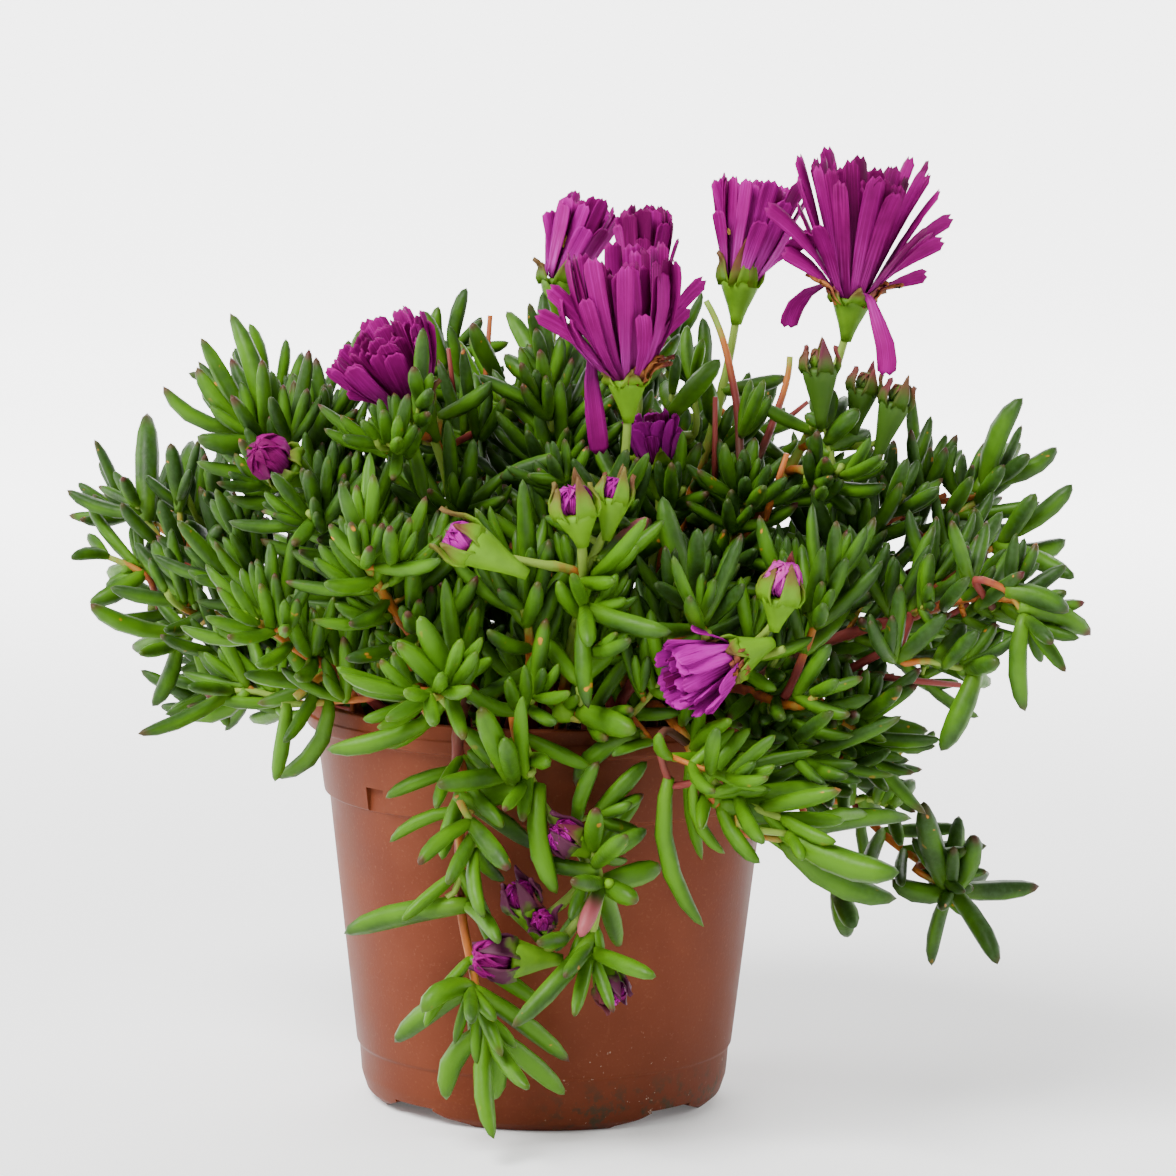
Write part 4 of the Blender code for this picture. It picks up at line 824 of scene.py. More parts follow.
# The shoots that show in the outline and in front, as (stem, depth, tone, share of tipped leaves,
# the points (x, z) that the shoot runs through, its leaves). A leaf is (share of the shoot, x, z of
# its tip, how far it bows to its left, how wide it is). All x and z are as seen from the viewpoint
# on the upright plane through the pot's axis. A tone below 0 is a leaf flushed pink.
# Each shoot's tone is partly its leaves' own colour and partly painted light and shade
SHOWN_SHOOTS = (
    ("stem_far_left", 30, 0.25, 0.9, ((-80, 112.5), (-85, 122), (-90.5, 130)), (
        (0.9, -106, 133, 1.6, 3.6), (0.8, -88, 150.5, 0, 5.0), (1, -93.5, 136, 0, 3.0),
        (1, -95.5, 137.5, 0, 2.4), (1, -99, 134, 0, 2.2), (0.5, -94, 130.5, 0.5, 3.6))),
    ("stem_far_left", 24, 0.3, 0.7, ((-79.5, 109), (-80.5, 122), (-81, 131)), (
        (1, -83, 144, 0, 3.6), (0.95, -81.5, 141.5, 0, 2.6), (0.9, -78, 144.5, 0.5, 3.4),
        (0.9, -76.5, 145, 0, 2.4), (1, -78.5, 138, 0, 2.4), (0.5, -80, 130.5, 0.8, 3.8),
        (0.4, -85.5, 131.5, 0, 3.2), (0.2, -83, 126.5, 0, 3.6), (0.2, -87, 122.5, 0.4, 3.6),
        (0, -91, 122, 0.4, 3.6))),
    ("stem_far_left", 20, 0.3, 0.7, ((-70, 118), (-73, 132)), (
        (1, -74, 139.5, 0, 3.8), (0.9, -69.5, 135, 0, 3.2), (0.8, -75.5, 133, 0, 3.2),
        (0, -72, 125.5, 1.8, 4.4), (0.2, -71, 123, 0, 3.8))),
    ("stem_low_left", 30, 0.45, 0.3, ((-87.5, 113.5), (-92, 116.5), (-97, 118.5)), (
        (1, -101, 123.5, 0, 2.8), (1, -105, 118, -0.8, 3.2), (0.5, -96.5, 115, 0.5, 3.6),
        (0.2, -101, 108, 0.5, 4.0), (0.2, -97.5, 111.5, 0, 3.5))),
    ("stem_low_left", 26, 0.45, 0.8, ((-80, 102), (-82, 102)), (
        (1, -101, 108, 1.6, 4.8), (1, -91.5, 98.5, 1.0, 3.8))),
    ("stem_high_left", -5, 0.55, 0.8, ((-57, 136), (-62.5, 144.5), (-66.5, 147)), (
        (1, -85, 156, 2.9, 3.5), (1, -77.5, 160.5, 1.0, 3.5), (0.9, -76.5, 167, 0, 3.3),
        (0.9, -73.5, 160.5, -1, 3.0), (0.6, -70, 172.5, -1.6, 4.0), (0.6, -63, 162.5, 0, 3.2),
        (0.8, -68, 156, 0, 2.2), (0.8, -65.5, 154.5, 0, 2.0), (0.7, -77.5, 145, 1.3, 4.3))),
    ("stem_high_left", 5, 0.6, 0.2, ((-52.5, 136), (-53.5, 146.5)), (
        (1, -55.5, 158.5, -1.2, 3.0), (0.9, -59.5, 154, 0, 2.6), (0.9, -57, 153, 0, 2.6),
        (0.6, -50.5, 152, 0, 4.5), (0.5, -48.5, 151.5, 0, 4.0))),
    ("stem_droop_left", 10, 0.5, 0.3, ((-70, 98), (-76.5, 98), (-81.5, 99)), (
        (1, -87, 85, 1.0, 3.7), (1, -90, 97, 0, 3.0), (0.6, -70, 80.5, 0, 4.0))),
    ("stem_rim_left", -10, 0.55, 0.2, ((-54.5, 86.5), (-64.5, 89), (-69.5, 89)), (
        (0.8, -81, 84, 2.7, 4.1), (1, -90.5, 79, 1.2, 3.6), (1, -79.5, 90, 0, 3.0))),
    ("stem_rim_left", -35, 0.55, 0.2, ((-36, 89.5), (-47, 87), (-58.5, 86)), (
        (0.95, -60, 68.5, 0.3, 3.5), (0.55, -60, 69.5, 3.6, 3.8), (0.7, -60, 85, 2.1, 3.0))),
    ("stem_crown", 0, 0.4, 0.5, ((2, 138.5), (0.5, 151.5), (-0.5, 157)), (
        (1, -10.5, 164, 0.8, 4.2), (1, -5.5, 166.5, 0, 3.6), (1, 0, 167, 0, 2.4),
        (0.95, 6, 169, -2, 4.2), (0.9, -12.5, 155, 2.0, 3.8), (1, 4.5, 171.5, -0.5, 3.8),
        (1, -3.5, 170, 0, 3.0), (0.95, -10, 173.5, -0.5, 4.2), (1, -5, 175.5, 0, 2.8),
        (1, -2, 178, 0, 3.2))),
    ("stem_crown", 6, 0.35, 0.8, ((-10, 149.5), (-11, 158.5)), ((1, -17.5, 171, 0.4, 3.6),)),
    ("stem_crown", -12, 0.5, 0.2, ((-24, 143), (-24, 150.5)), ((1, -12.5, 158, -0.8, 3.9),)),
    ("flower_c", -4, 0.6, 0.1, ((30.5, 145.5), (31, 158.5)), (
        (1, 29.5, 171, 0.6, 3.0), (1, 33, 168, 0, 2.4))),
    ("flower_c", -8, 0.5, 0.2, ((26.5, 147.5), (26.5, 156)), (
        (1, 27.5, 164.5, 0, 2.4), (0.4, 37, 163.5, 0, 4.0), (0.6, 25, 158, 0, 3.6))),
    ("flower_e", -20, 0.4, 0.3, ((61.5, 141), (60, 149)), (
        (1, 55, 151.5, 0, 3.0), (1, 57.5, 156, 0, 3.6), (1, 61.5, 157.5, 0, 3.4),
        (0.9, 64.5, 155.5, 0, 3.6), (0.6, 67.5, 153, 0, 3.8), (0.4, 70, 148, 0, 3.4),
        (0.2, 56, 146, 0, 3.2))),
    ("stem_far_right", -5, 0.3, 0.6, ((77, 130.5), (83.5, 132.5), (91.5, 133.5), (98.5, 137.5)), (
        (0.85, 103, 156, 1.6, 4.8), (0.75, 103, 146, 0.5, 4.6), (0.95, 105, 143.5, 0, 3.4),
        (1, 111, 145, -1, 4.0), (0.6, 88.5, 145.5, 3.0, 2.8), (0.6, 92.5, 141, 0, 2.2),
        (0.7, 95, 143.5, 0, 3.0), (0.95, 103, 150, 0, 2.0))),
    ("stem_far_right", -15, 0.4, 0.3,
        ((72.5, 113.5), (82, 118.5), (93, 121), (98.5, 123), (101.5, 126)), (
        (1, 114.5, 137, -0.8, 4.2), (0.85, 113.5, 124.5, -2.2, 4.2), (0.85, 115.5, 116, 0.5, 4.0),
        (0.7, 106, 117, -1.6, 3.4), (0.7, 103, 111.5, -4.6, 4.4), (0.7, 93, 131.5, 0, 3.4),
        (0.75, 98.5, 127.5, 0, 3.0), (0.9, 106.5, 135, 0, 3.6))),
    ("stem_right_low", -58, 0.35, 0.9, ((93.5, 115.5), (100, 113.5), (103, 110), (105, 107)), (
        (0.5, 114.5, 108.5, 0.8, 4.4), (0.8, 119.5, 103.5, 1.2, 4.4), (0.95, 105, 86, -1.6, 4.0),
        (1, 111, 101.5, 0, 3.2), (1, 108.5, 97, 0, 2.6), (1, 114, 95, 0, 3.0))),
    ("stem_right_low", -52, 0.4, 0.1, ((77, 97.5), (83.5, 97.5), (94, 95)), (
        (0.5, 91.5, 106, 0, 4.0), (0.6, 94.5, 104.5, 0, 3.4), (0.9, 99, 97.5, 0, 3.4),
        (0.8, 97, 92.5, 0, 3.6), (1, 86.5, 77, 0.3, 4.2), (0, 87.5, 108, 0, 3.6))),
    ("trailer_rosette", -5, 0.3, 0.9, ((81.5, 51), (89.5, 46.5)), (
        (1, 83, 66.5, 0.8, 5.6), (1, 91, 63.5, 0, 3.7), (1, 94.5, 59, -1.2, 5.6),
        (1, 84.5, 59, 0, 3.5), (1, 80.5, 58.5, 0, 3.4), (1, 86.5, 52.5, 0, 3.8),
        (1, 90, 56.5, 0, 2.8), (1, 98, 50.5, 0, 3.0), (1, 95, 47, 0, 2.6),
        (1, 109.5, 47.5, -0.8, 4.0), (1, 100.5, 29.5, 1.0, 4.0), (1, 85.5, 29, -0.8, 3.8),
        (1, 76, 48.5, 1.5, 4.6), (1, 87.5, 42, 0, 3.0))),
    ("trailer_rosette", -10, 0.5, 0.2, ((60.5, 66), (66, 66), (71.5, 66.5), (75.5, 65)), (
        (0.4, 65, 80, 0, 4.2), (0.2, 60.5, 72, 0, 4.4), (1, 81, 71, 0, 3.6),
        (0.6, 74.5, 61, 0, 4.0), (1, 78.5, 56, 0, 3.0), (0.8, 74.5, 73, 0, 2.8),
        (0.9, 77, 72, 0, 2.6))),
    ("trailer_rosette", -14, 0.6, 0.1, ((60, 73), (68, 77), (73.5, 74), (78.5, 78)), (
        (0, 69.5, 89.5, -1.3, 3.6), (0.4, 73.5, 90, 0, 3.6), (1, 85.5, 82, -1.5, 2.8),
        (1, 82.5, 81.5, 0, 3.0), (0.6, 75.5, 84.5, 0, 3.0), (0.5, 73, 83, 0, 4.4),
        (0.8, 78.5, 82.5, 0, 3.4))),
    ("trailer_right", -70, 0.85, 0.1, ((42.5, 60.5), (54, 58.5)), (
        (1, 78.5, 50, -1.6, 5.8), (1, 71.5, 63, 1.8, 2.9), (1, 57, 52.5, 0, 2.6))),
    ("trailer_right", -63, 0.5, 0.1, ((42.5, 59), (53, 57)), (
        (1, 78, 44, -3.0, 5.2), (1, 81, 62.5, 1.8, 3.9))),
    ("trailer_rosette", -25, 0.5, 0.1, ((56, 66), (64.5, 46)), (
        (1, 67, 35.5, 0, 4.2), (1, 68.5, 37.5, 0, 4.0))),
    ("trailer_long", -61, 0.75, 0.05, ((-17.5, 41.5),), (
        (1, -45, 35, -1.0, 5.2), (1, -10, 33, 1.0, 3.4))),
    ("trailer_long", -61, 0.75, 0.1, ((-16.5, 23),), (
        (1, -33.5, 10.5, -0.7, 4.3), (1, -27.5, 17.5, -2.0, 4.3), (1, 6, 6.5, 0.6, 4.3),
        (1, -16, 15, 0, 3.2), (1, -10.5, 15.5, 0, 2.8), (1, -20, 10, 0, 2.4))),
    ("trailer_long", -61, 0.82, 0.1, ((-12.5, 13.5),), (
        (1, -22, -2.5, -3.0, 4.4), (1, -11, -2.5, 0.4, 4.8), (1, -11, -11.5, -1.5, 4.3),
        (1, -3, 0, -0.8, 3.6), (1, 5, -1, 0.5, 4.3), (1, -7, 4.5, 0, 2.6))),
    ("trailer_long", -64, 0.7, 0.1, ((-19.5, 66), (-16, 59), (-15.5, 54)), (
        (0, -2.5, 54.5, 0.5, 4.0), (0.5, -8, 49.5, 0, 3.6), (0.7, -9, 47, -1.8, 3.4),
        (1, -13.5, 38.5, -1, 3.0), (0.5, -28.5, 50.5, -0.8, 3.6), (0.7, -22, 46, 0, 3.0))),
    ("trailer_buds", -63, 0.75, 0.6, ((-3, 74.5), (-5, 68.5), (-9, 71)), (
        (1, -24.5, 68.5, 0, 4.0), (0.6, -17, 66, 0.5, 4.4), (0.5, -9.5, 63, 0, 3.0),
        (1, -18, 76.5, 0, 3.4), (0.4, -5.5, 89, 0.4, 3.5), (0.8, -9.5, 79.5, 0, 3.6),
        (0.5, -5.5, 77, 0, 3.4), (0.9, -15, 86.5, 0, 4.4), (0.9, -19, 82, 0, 3.6),
        (1, -10, 75, 0, 2.4))),
    ("trailer_buds", -62, 0.7, 0.1, ((-1.5, 68.5),), ((1, 2.5, 44, -1.9, 4.8),)),
    ("trailer_buds", -65, 0.7, 0.9, ((10, 54.5), (12.5, 47)), (
        (0.6, -4, 53, 0.5, 3.4), (1, 26, 51, 0, 4.5), (0.3, 22.5, 59.5, 0, 3.6),
        (0.4, 18, 58, 0, 3.4), (0, 11, 64, 0, 3.4), (1, 20.5, 43, 0, 3.8), (1, 16.5, 32.5, 0, 3.6),
        (1, 5.5, 47.5, 0, 3.0))),
    ("trailer_buds", -66, -0.6, 1.0, ((12.5, 47),), ((1, 7.5, 34.5, 0, 3.4),)),
    ("trailer_buds", -66, 0.75, 0.9, ((12.5, 47), (10, 32)), (
        (1, 25, 26, 0, 3.6), (1, 6.5, 16.5, 0, 3.0), (1, 15.5, 17.5, 0, 2.8),
        (0.8, -7.5, 14, 0.5, 3.6), (0.9, 1, 21.5, 0, 3.0), (0.9, 4, 25.5, 0, 3.0))),
    ("trailer_right", -67, 0.8, 0.05,
        ((25, 80.5), (27.5, 69), (33, 70), (42.5, 60.5), (54, 58.5)), (
        (0.25, 35, 37, -4.0, 3.9), (0.4, 39.5, 53.5, -2.4, 2.9), (0.6, 47.5, 51.5, -1.0, 3.2),
        (0.45, 45, 82.5, 0.5, 3.4), (0.5, 50.5, 73.5, -0.6, 2.6), (0.55, 53, 66, 0, 4.4),
        (0.6, 53, 63, 0, 5.0), (0.5, 50, 68.5, 0, 3.5))),
    ("stem_bud_fork", -63, 0.75, 0.1, ((7.5, 99), (8, 108.5)), (
        (1, 27.5, 103, -0.6, 4.1), (0.9, 9, 85.5, -0.6, 3.8), (1, 9, 99.5, 0, 3.2),
        (1, 5, 116, 0, 2.6))),
    ("stem_bud_fork", -60, -0.4, 1.0, ((11.5, 119),), ((1, 22, 128.5, 0, 3.7),)),
    ("stem_bud_fork", -57, 0.7, 0.2, ((8.5, 124),), ((1, -1.5, 128.5, 0, 2.6),)),
    ("stem_low_front", -58, 0.8, 0.1, ((7, 83.5), (6.5, 92)), (
        (1, -1.5, 102, 0, 3.2), (1, 15.5, 100, 0, 3.0), (0.2, 19.5, 81, 0, 4.6))),
    ("stem_mid_front", -52, 0.45, 0.3, ((-4, 99), (-4, 111.5)), (
        (1, -5, 127.5, 0, 3.3), (1, -4, 122, 0, 3.0), (1, 0.5, 123.5, 0, 4.0),
        (0.8, -10, 121.5, 0, 3.6), (0.6, -14.5, 124.5, 0, 3.2), (0.6, -16.5, 130.5, 0, 3.2),
        (0.9, -5, 130.5, 0, 3.4), (0.8, -6, 137, 0, 3.4))),
    ("stem_front_right", -50, 0.45, 0.1, ((33.5, 97), (32, 110.5)), (
        (1, 24.5, 133.5, 0.6, 4.6), (1, 32.5, 126.5, 0, 3.6), (0.8, 23, 114, 0, 3.2),
        (0.9, 29.5, 111, 0, 3.2), (0.9, 27.5, 114.5, 0, 2.8))),
    ("flower_a", -34, 0.2, 1.0, ((2.5, 139), (2.5, 141.5)), ((1, -11.5, 136.5, 0, 3.6),)),
    ("stem_front_left", -66, 0.78, 0.1, ((-21.5, 85.5), (-19, 90)), (
        (1, -28.5, 106.5, 0.5, 4.4), (0.8, -18.5, 98.5, 0, 3.0), (1, -15.5, 98.5, 0, 3.0),
        (0.6, -33.5, 100.5, 0, 3.6))),
    ("stem_front_left", -60, 0.8, 0.05, ((-26, 83),), ((1, -49, 76, 1.0, 4.0),)),
    ("stem_low_front", -60, 0.6, 0.1, ((23, 78.5), (20, 80.5)), (
        (1, 6, 68.5, -2.6, 4.0), (0, 14, 75.5, -0.5, 2.6), (1, 9.5, 86.5, 0, 3.6))),
)
# Small shut buds on thin stalks, as (stem, x, z, depth, radius), seen like the shoots
BALL_BUDS = (
    ("stem_low_front", 3.5, 85, -56, 2.2),
    ("stem_rosette_left", -67, 105.5, -52, 1.4),
    ("trailer_buds", 14, 47, -69, 1.1),
)


# The side of the small cubes in which what is taken is kept, in millimetres
CELL = 4.0


class Cells:
    """What is taken, kept as balls in small cubes, so that many leaves find their room quickly."""

    def __init__(self):
        self.cubes = {}

    def add(self, points, radius):
        """Take up room with a ball at each point."""
        for x, y, z in points:
            cube = (int(x // CELL), int(y // CELL), int(z // CELL))
            self.cubes.setdefault(cube, []).append((x, y, z, radius))

    def free(self, points, radius, slack=0.0):
        """Whether balls at the points keep clear of all that is taken, but for the slack."""
        for x, y, z in points:
            i, j, k = int(x // CELL), int(y // CELL), int(z // CELL)
            for a in (i, i - 1, i + 1):
                for b in (j, j - 1, j + 1):
                    for c in (k, k - 1, k + 1):
                        for u, v, w, r in self.cubes.get((a, b, c), ()):
                            apart = r + radius - slack
                            if (u - x) ** 2 + (v - y) ** 2 + (w - z) ** 2 < apart * apart:
                                return False
        return True


def leaf_balls(leaf, shares=(0.34, 0.52, 0.7, 0.88)):
    """The middles of the balls that stand for a leaf or a twig."""
    return [leaf_point(leaf, share).tolist() for share in shares]


def inside_box(leaf):
    """Whether a leaf stays within the solids' box."""
    low, high = vec(*CAD_BOX[0]) / MM, vec(*CAD_BOX[1]) / MM
    for share in (0.5, 1.0):
        point = leaf_point(leaf, share)
        margin = leaf[4] if share < 1 else 0.3
        if np.any(point - margin < low) or np.any(point + margin > high):
            return False
    return True


# The ways a leaf of the looks tries to find its room, as (more opening, sweep) in degrees and as
# shares of its length
GROWN_TRIES = ((0, 0), (10, 14), (-10, -14), (0, -26), (14, 26), (-16, 0), (24, -8))
GROWN_SCALES = (1.0, 0.8, 0.62)
GROWN_GIRTH = (0.5, 0.5, 15.0)
# How far out from its stem a leaf of the looks may touch something
GROWN_REACH = 34.0


def grown_leaf(crowd, base, run, side, turn, opening, length, key, least):
    """A leaf that finds its own room by a small turn, or by growing smaller, or None."""
    close = crowd.near(base + run * 4, GROWN_REACH)
    curve = spread(0.12, 0.46, key, "lift")
    for scale in GROWN_SCALES:
        for wide, sweep in GROWN_TRIES:
            angle, lean = math.radians(turn + sweep), math.radians(max(10.0, opening + wide))
            leaf = sprung_leaf(
                base, run, side, angle, lean, length * scale, GROWN_GIRTH, LEAF_RISE, curve
            )
            if inside_box(leaf) and close.room(leaf_rods(leaf)) > least:
                return leaf
    return None


def behind(x, z, depth):
    """The place at a depth that shows at (x, z) of the plane through the pot's axis."""
    return VIEWPOINT + (vec(x, 0, z) - VIEWPOINT) * (1 - depth / VIEWPOINT[1])


def nearest_on_stems(parts, spot):
    """The point of a stem, above the soil and short of its tip, that lies nearest to a spot."""
    found = []
    for path, _, _ in parts["paths"]:
        for mark in np.arange(3.0, path.length, 1.5):
            point = path.at(mark)
            if point[2] > POT_HEIGHT - 3 or math.hypot(point[0], point[1]) > LIP_RADIUS:
                found.append((float(np.linalg.norm(point - spot)), tuple(point)))
    return vec(*min(found)[1])


# How far a shown leaf may slide along the line of sight, in the order that is tried
SLIDE_TRIES = (0, 3, -3, 6, -6, 9, -9, 12, -12)
TWIG_RADII = (1.0, 0.75)
# How much a shown leaf may lean and curve towards or away from the view by chance
SHOWN_DEPTH = 5
SHOWN_LIFT = 0.22
# A shown leaf's radius as a share of the width that was seen
SHOWN_RADIUS = 0.57
# How deep leaves may touch what is there, in millimetres: shown ones, pairs, and those at a tip
SHOWN_TOUCH = 0.3
PAIR_TOUCH = 0.25
SIDE_TOUCH = 0.2
APEX_TOUCH = 0.9
# The youngest pairs at a shoot's tip, as (share of its longest leaf, opening)
APEX_PAIRS = ((0.42, 20.0), (0.26, 9.0))


def grow_shown_shoots(plan, crowd):
    """The shoots that were measured, each leaf slid along the line of sight until it is clear."""
    for k, (owner, depth, tone, tips, marks, leaves) in enumerate(SHOWN_SHOOTS):
        parts = plan[owner]
        spots = [behind(x, z, depth) for x, z in marks]
        foot = nearest_on_stems(parts, spots[0])
        points = [foot] + spots
        twig = Path(points, points[1] - foot, points[-1] - points[-2], 5.0)
        first = twig.along[int(np.linalg.norm(twig.points - spots[0], axis=1).argmin())]
        if len(marks) == 1:
            first = twig.length
        if twig.length > 2.5:
            parts["paths"].append((twig, *TWIG_RADII))
            parts["kinds"].append("shown")
            parts["nodes"].append([])
            crowd.add(owner, stem_rods(twig, *TWIG_RADII, 1.5))
        for i, (share, x, z, bow, wide) in enumerate(leaves):
            key = (owner, k, i)
            base = twig.at(first + share * (twig.length - first))
            close = crowd.near(base, 40.0)
            best = None
            for shift in SLIDE_TRIES:
                tip = behind(x, z, depth + spread(-SHOWN_DEPTH, SHOWN_DEPTH, *key) + shift)
                chord = tip - base
                length = float(np.linalg.norm(chord))
                bulge = unit(np.cross(chord, vec(0, 1, 0)))
                curl = spread(-SHOWN_LIFT, SHOWN_LIFT, *key, "lift")
                lift = bulge * (-4 * bow / length) + vec(0, curl, 0)
                leaf = (base, chord / length - lift, lift, length, wide * SHOWN_RADIUS)
                room = close.room(leaf_rods(leaf))
                if best is None or room > best[0]:
                    best = (room, leaf)
                if room > -SHOWN_TOUCH:
                    break
            parts["tints"][len(parts["more"])] = (tone, tips)
            parts["more"].append(best[1])
            crowd.add(owner, leaf_rods(best[1]))


def fill_out(plan, sprays):
    """Grow the rest of the leaves on the laid-out stems, from the tips inwards."""
    crowd = Space()
    for name, parts in plan.items():
        for path, *radii in parts["paths"]:
            crowd.add(name, stem_rods(path, *radii, 2.0))
        for head in parts["heads"]:
            crowd.add(name, head_rods(*head))
        for leaf in parts["leaves"]:
            crowd.add(name, leaf_rods(leaf))
        parts.update(more=[], tints={}, twigs=[], nodes=[[] for _ in parts["paths"]])
        parts["kinds"] = [shoot[0] for shoot in sprays[name]]
    grow_shown_shoots(plan, crowd)
    jobs = []
    shoots = [(name, i, shoot) for name in sprays for i, shoot in enumerate(sprays[name])]
    for name, index, shoot in shoots:
        path = plan[name]["paths"][index][0]
        low, high = BARE_STRETCH.get(name, (0.0, 0.0))
        longest = shoot[3] if shoot[0] == "leaf" else STALK_LEAF
        for distance, share, opening, turn in pair_places(name, index, shoot, path):
            if not low < path.at(distance)[2] < high:
                job = (name, index, distance, share * longest, opening, turn)
                jobs.append((path.length - distance, job))
                plan[name]["nodes"][index].append(distance)
    for _, job in sorted(jobs, key=lambda entry: entry[0]):
        grow_pair(crowd, plan[job[0]], *job)
    for name, index, shoot in shoots:
        if shoot[0] == "leaf":
            grow_apex(crowd, plan[name], name, index, shoot)
    for name in sprays:
        grow_side_shoots(crowd, plan[name], name)
    fill_gaps(plan)


def pair_places(name, index, shoot, path):
    """Where the looks add leaf pairs on one path, as (distance, share, opening, turn)."""
    kind, _, _, _, pairs = shoot
    start = 360 * draw(name, index, "turn")
    found = []
    if kind == "leaf":
        used = {place[0] for place in PAIR_PLACES[:pairs]}
        for back, share, opening in MORE_PAIRS:
            distance = path.length - back * NODE_GAP
            if back not in used and distance > 4:
                found.append((distance, share, opening, start + 90 * round(back)))
        distance = path.length - 9.6 * NODE_GAP
    elif kind == "bare":
        return []
    else:
        distance = path.length - BARE_STALK[kind]
    level = 0
    while distance > (14 if index == 0 else 4):
        share = spread(0.75, 1.0, name, index, level, "share")
        found.append((distance, share, 66 + 12 * draw(name, index, level), start + 90 * level))
        distance -= INNER_GAP * spread(0.8, 1.2, name, index, level, "gap")
        level += 1
    return found


def grow_pair(crowd, parts, name, index, distance, length, opening, turn):
    """Two leaves across a stem from each other."""
    path = parts["paths"][index][0]
    base, run, side = path.at(distance), path.direction(distance), path.side(distance)
    for half in range(2):
        key = (name, index, round(distance, 1), half)
        wanted = length * spread(0.9, 1.15, key, "long")
        across = turn + 180 * half
        leaf = grown_leaf(crowd, base, run, side, across, opening, wanted, key, -PAIR_TOUCH)
        if leaf:
            crowd.add(name, leaf_rods(leaf))
            parts["more"].append(leaf)


def grow_apex(crowd, parts, name, index, shoot):
    """The youngest two pairs, small and nearly closed, at a shoot's tip."""
    path = parts["paths"][index][0]
    tip, run, side = path.at(path.length), path.end, path.side(path.length)
    start = 360 * draw(name, index, "turn")
    for level, (share, opening) in enumerate(APEX_PAIRS):
        for half in range(2):
            key = (name, index, "apex", level, half)
            length = shoot[3] * share * spread(0.85, 1.1, key)
            turn = start + 45 + 90 * level + 180 * half
            leaf = grown_leaf(crowd, tip, run, side, turn, opening, length, key, -APEX_TOUCH)
            if leaf:
                parts["more"].append(leaf)
                crowd.add(name, leaf_rods(leaf)[1:])


# How many of the places for side shoots are tried, and the fewest leaves that make a shoot
SIDE_SHOOT_SHARE = 0.62
FEWEST_LEAVES = 3
# A side shoot's pairs, as (share of its leaf length, opening, back from its tip)
SIDE_PAIRS = ((1.0, 42.0, 1.2), (0.62, 18.0, 0.0), (0.9, 62.0, 5.0))
# How long side shoots and their leaves are, and from which length a shoot has its third pair
SIDE_LENGTHS = (5.0, 13.0)
SIDE_LEAVES = (12.0, 18.0)
THIRD_PAIR_FROM = 8


def grow_side_shoots(crowd, parts, name):
    """Short leafy shoots in the angles of the older leaves."""
    for index, marks in enumerate(parts["nodes"]):
        path = parts["paths"][index][0]
        for k, distance in enumerate(marks):
            for half in range(2):
                key = (name, index, k, half, "side shoot")
                if draw(key) > SIDE_SHOOT_SHARE:
                    continue
                twig, rods, grown = side_shoot(crowd, path, distance, key)
                if len(grown) < FEWEST_LEAVES:
                    continue
                parts["twigs"].append(twig)
                parts["more"] += grown
                for leaf in grown:
                    crowd.add(name, leaf_rods(leaf))
                crowd.add(name, rods)


def side_shoot(crowd, path, distance, key):
    """A twig at one side of a stem, its rods, and the leaves that it has room for."""
    base, run, side = path.at(distance), path.direction(distance), path.side(distance)
    away = round_about(run, side, 2 * math.pi * draw(key, "turn"))
    heading = unit(run * 0.75 + away * 0.8 + vec(0, 0, 0.25))
    length = spread(*SIDE_LENGTHS, key, "length")
    twig = (base, heading, vec(0, 0, 0.12), length, 0.7)
    tip, grown = leaf_point(twig, 1.0), []
    rods = [(leaf_point(twig, 0.35), tip, 0.8)]
    close = crowd.near(base, 30.0)
    if close.room(rods) < 0.2 or not inside_box(twig):
        return twig, rods, grown
    aim = unit(heading + vec(0, 0, 0.2))
    for level, (share, opening, back) in enumerate(SIDE_PAIRS):
        if level == 2 and length < THIRD_PAIR_FROM:
            continue
        for other in range(2):
            mark = (key, level, other)
            long = spread(*SIDE_LEAVES, mark, "long") * share
            foot, turn = tip - aim * back, 90 * level + 180 * other
            side = sideways(aim)
            leaf = grown_leaf(close, foot, aim, side, turn, opening, long, mark, -SIDE_TOUCH)
            if leaf:
                grown.append(leaf)
    return twig, rods, grown


# Where the plant branches from, as seen by the shoots that fill its gaps
HEART = vec(0, 0, 90)
GAP_TRIES = 9000
# The pot's front stays in sight below this height and within this far of its middle
RIM_FILL_Z = 94.0
RIM_FILL_X = 46.0
# A gap is this wide at least, and this near and far from the stem that reaches it
GAP_RADIUS = 2.6
GAP_POT_ROOM = 3.0
GAP_FROM, GAP_TO = 7.0, 30.0
# Filling shoots start above this height
STARTS_ABOVE = 86
# What share of its own radius a leaf's balls and a stem's balls have
LEAF_BALL = 0.85
STEM_BALL = 0.9
# The pairs of a filling shoot, as (back from its tip, opening, share of the leaf length)
SHOOT_PAIRS = (
    (0.0, 14.0, 0.62), (1.4, 34.0, 1.0), (5.0, 52.0, 1.0), (9.5, 64.0, 0.95), (14.5, 70.0, 0.9),
)


def taken_cells(plan):
    """All that has grown so far, as balls, and each stem's points that a shoot can start from."""
    cells, heads, starts = Cells(), Space(), []
    for name, parts in plan.items():
        for index, (path, radius_from, _) in enumerate(parts["paths"]):
            along = np.arange(0, path.length, 2.0)
            cells.add([path.at(mark).tolist() for mark in along], radius_from * STEM_BALL)
            leafy = path.length - BARE_STALK.get(parts["kinds"][index], 4.0)
            points = [path.at(mark) for mark in along if mark < leafy]
            starts += [(point, name) for point in points if point[2] > STARTS_ABOVE]
        for twig in parts["twigs"]:
            cells.add(leaf_balls(twig, (0.3, 0.6, 0.9)), 0.7)
            starts.append((leaf_point(twig, 0.4), name))
        for leaf in parts["leaves"] + parts["more"]:
            cells.add(leaf_balls(leaf), leaf[4] * LEAF_BALL)
        for kind, base, heading, size in parts["heads"]:
            heads.add(name, head_rods(kind, base, heading, size))
    return cells, heads, starts


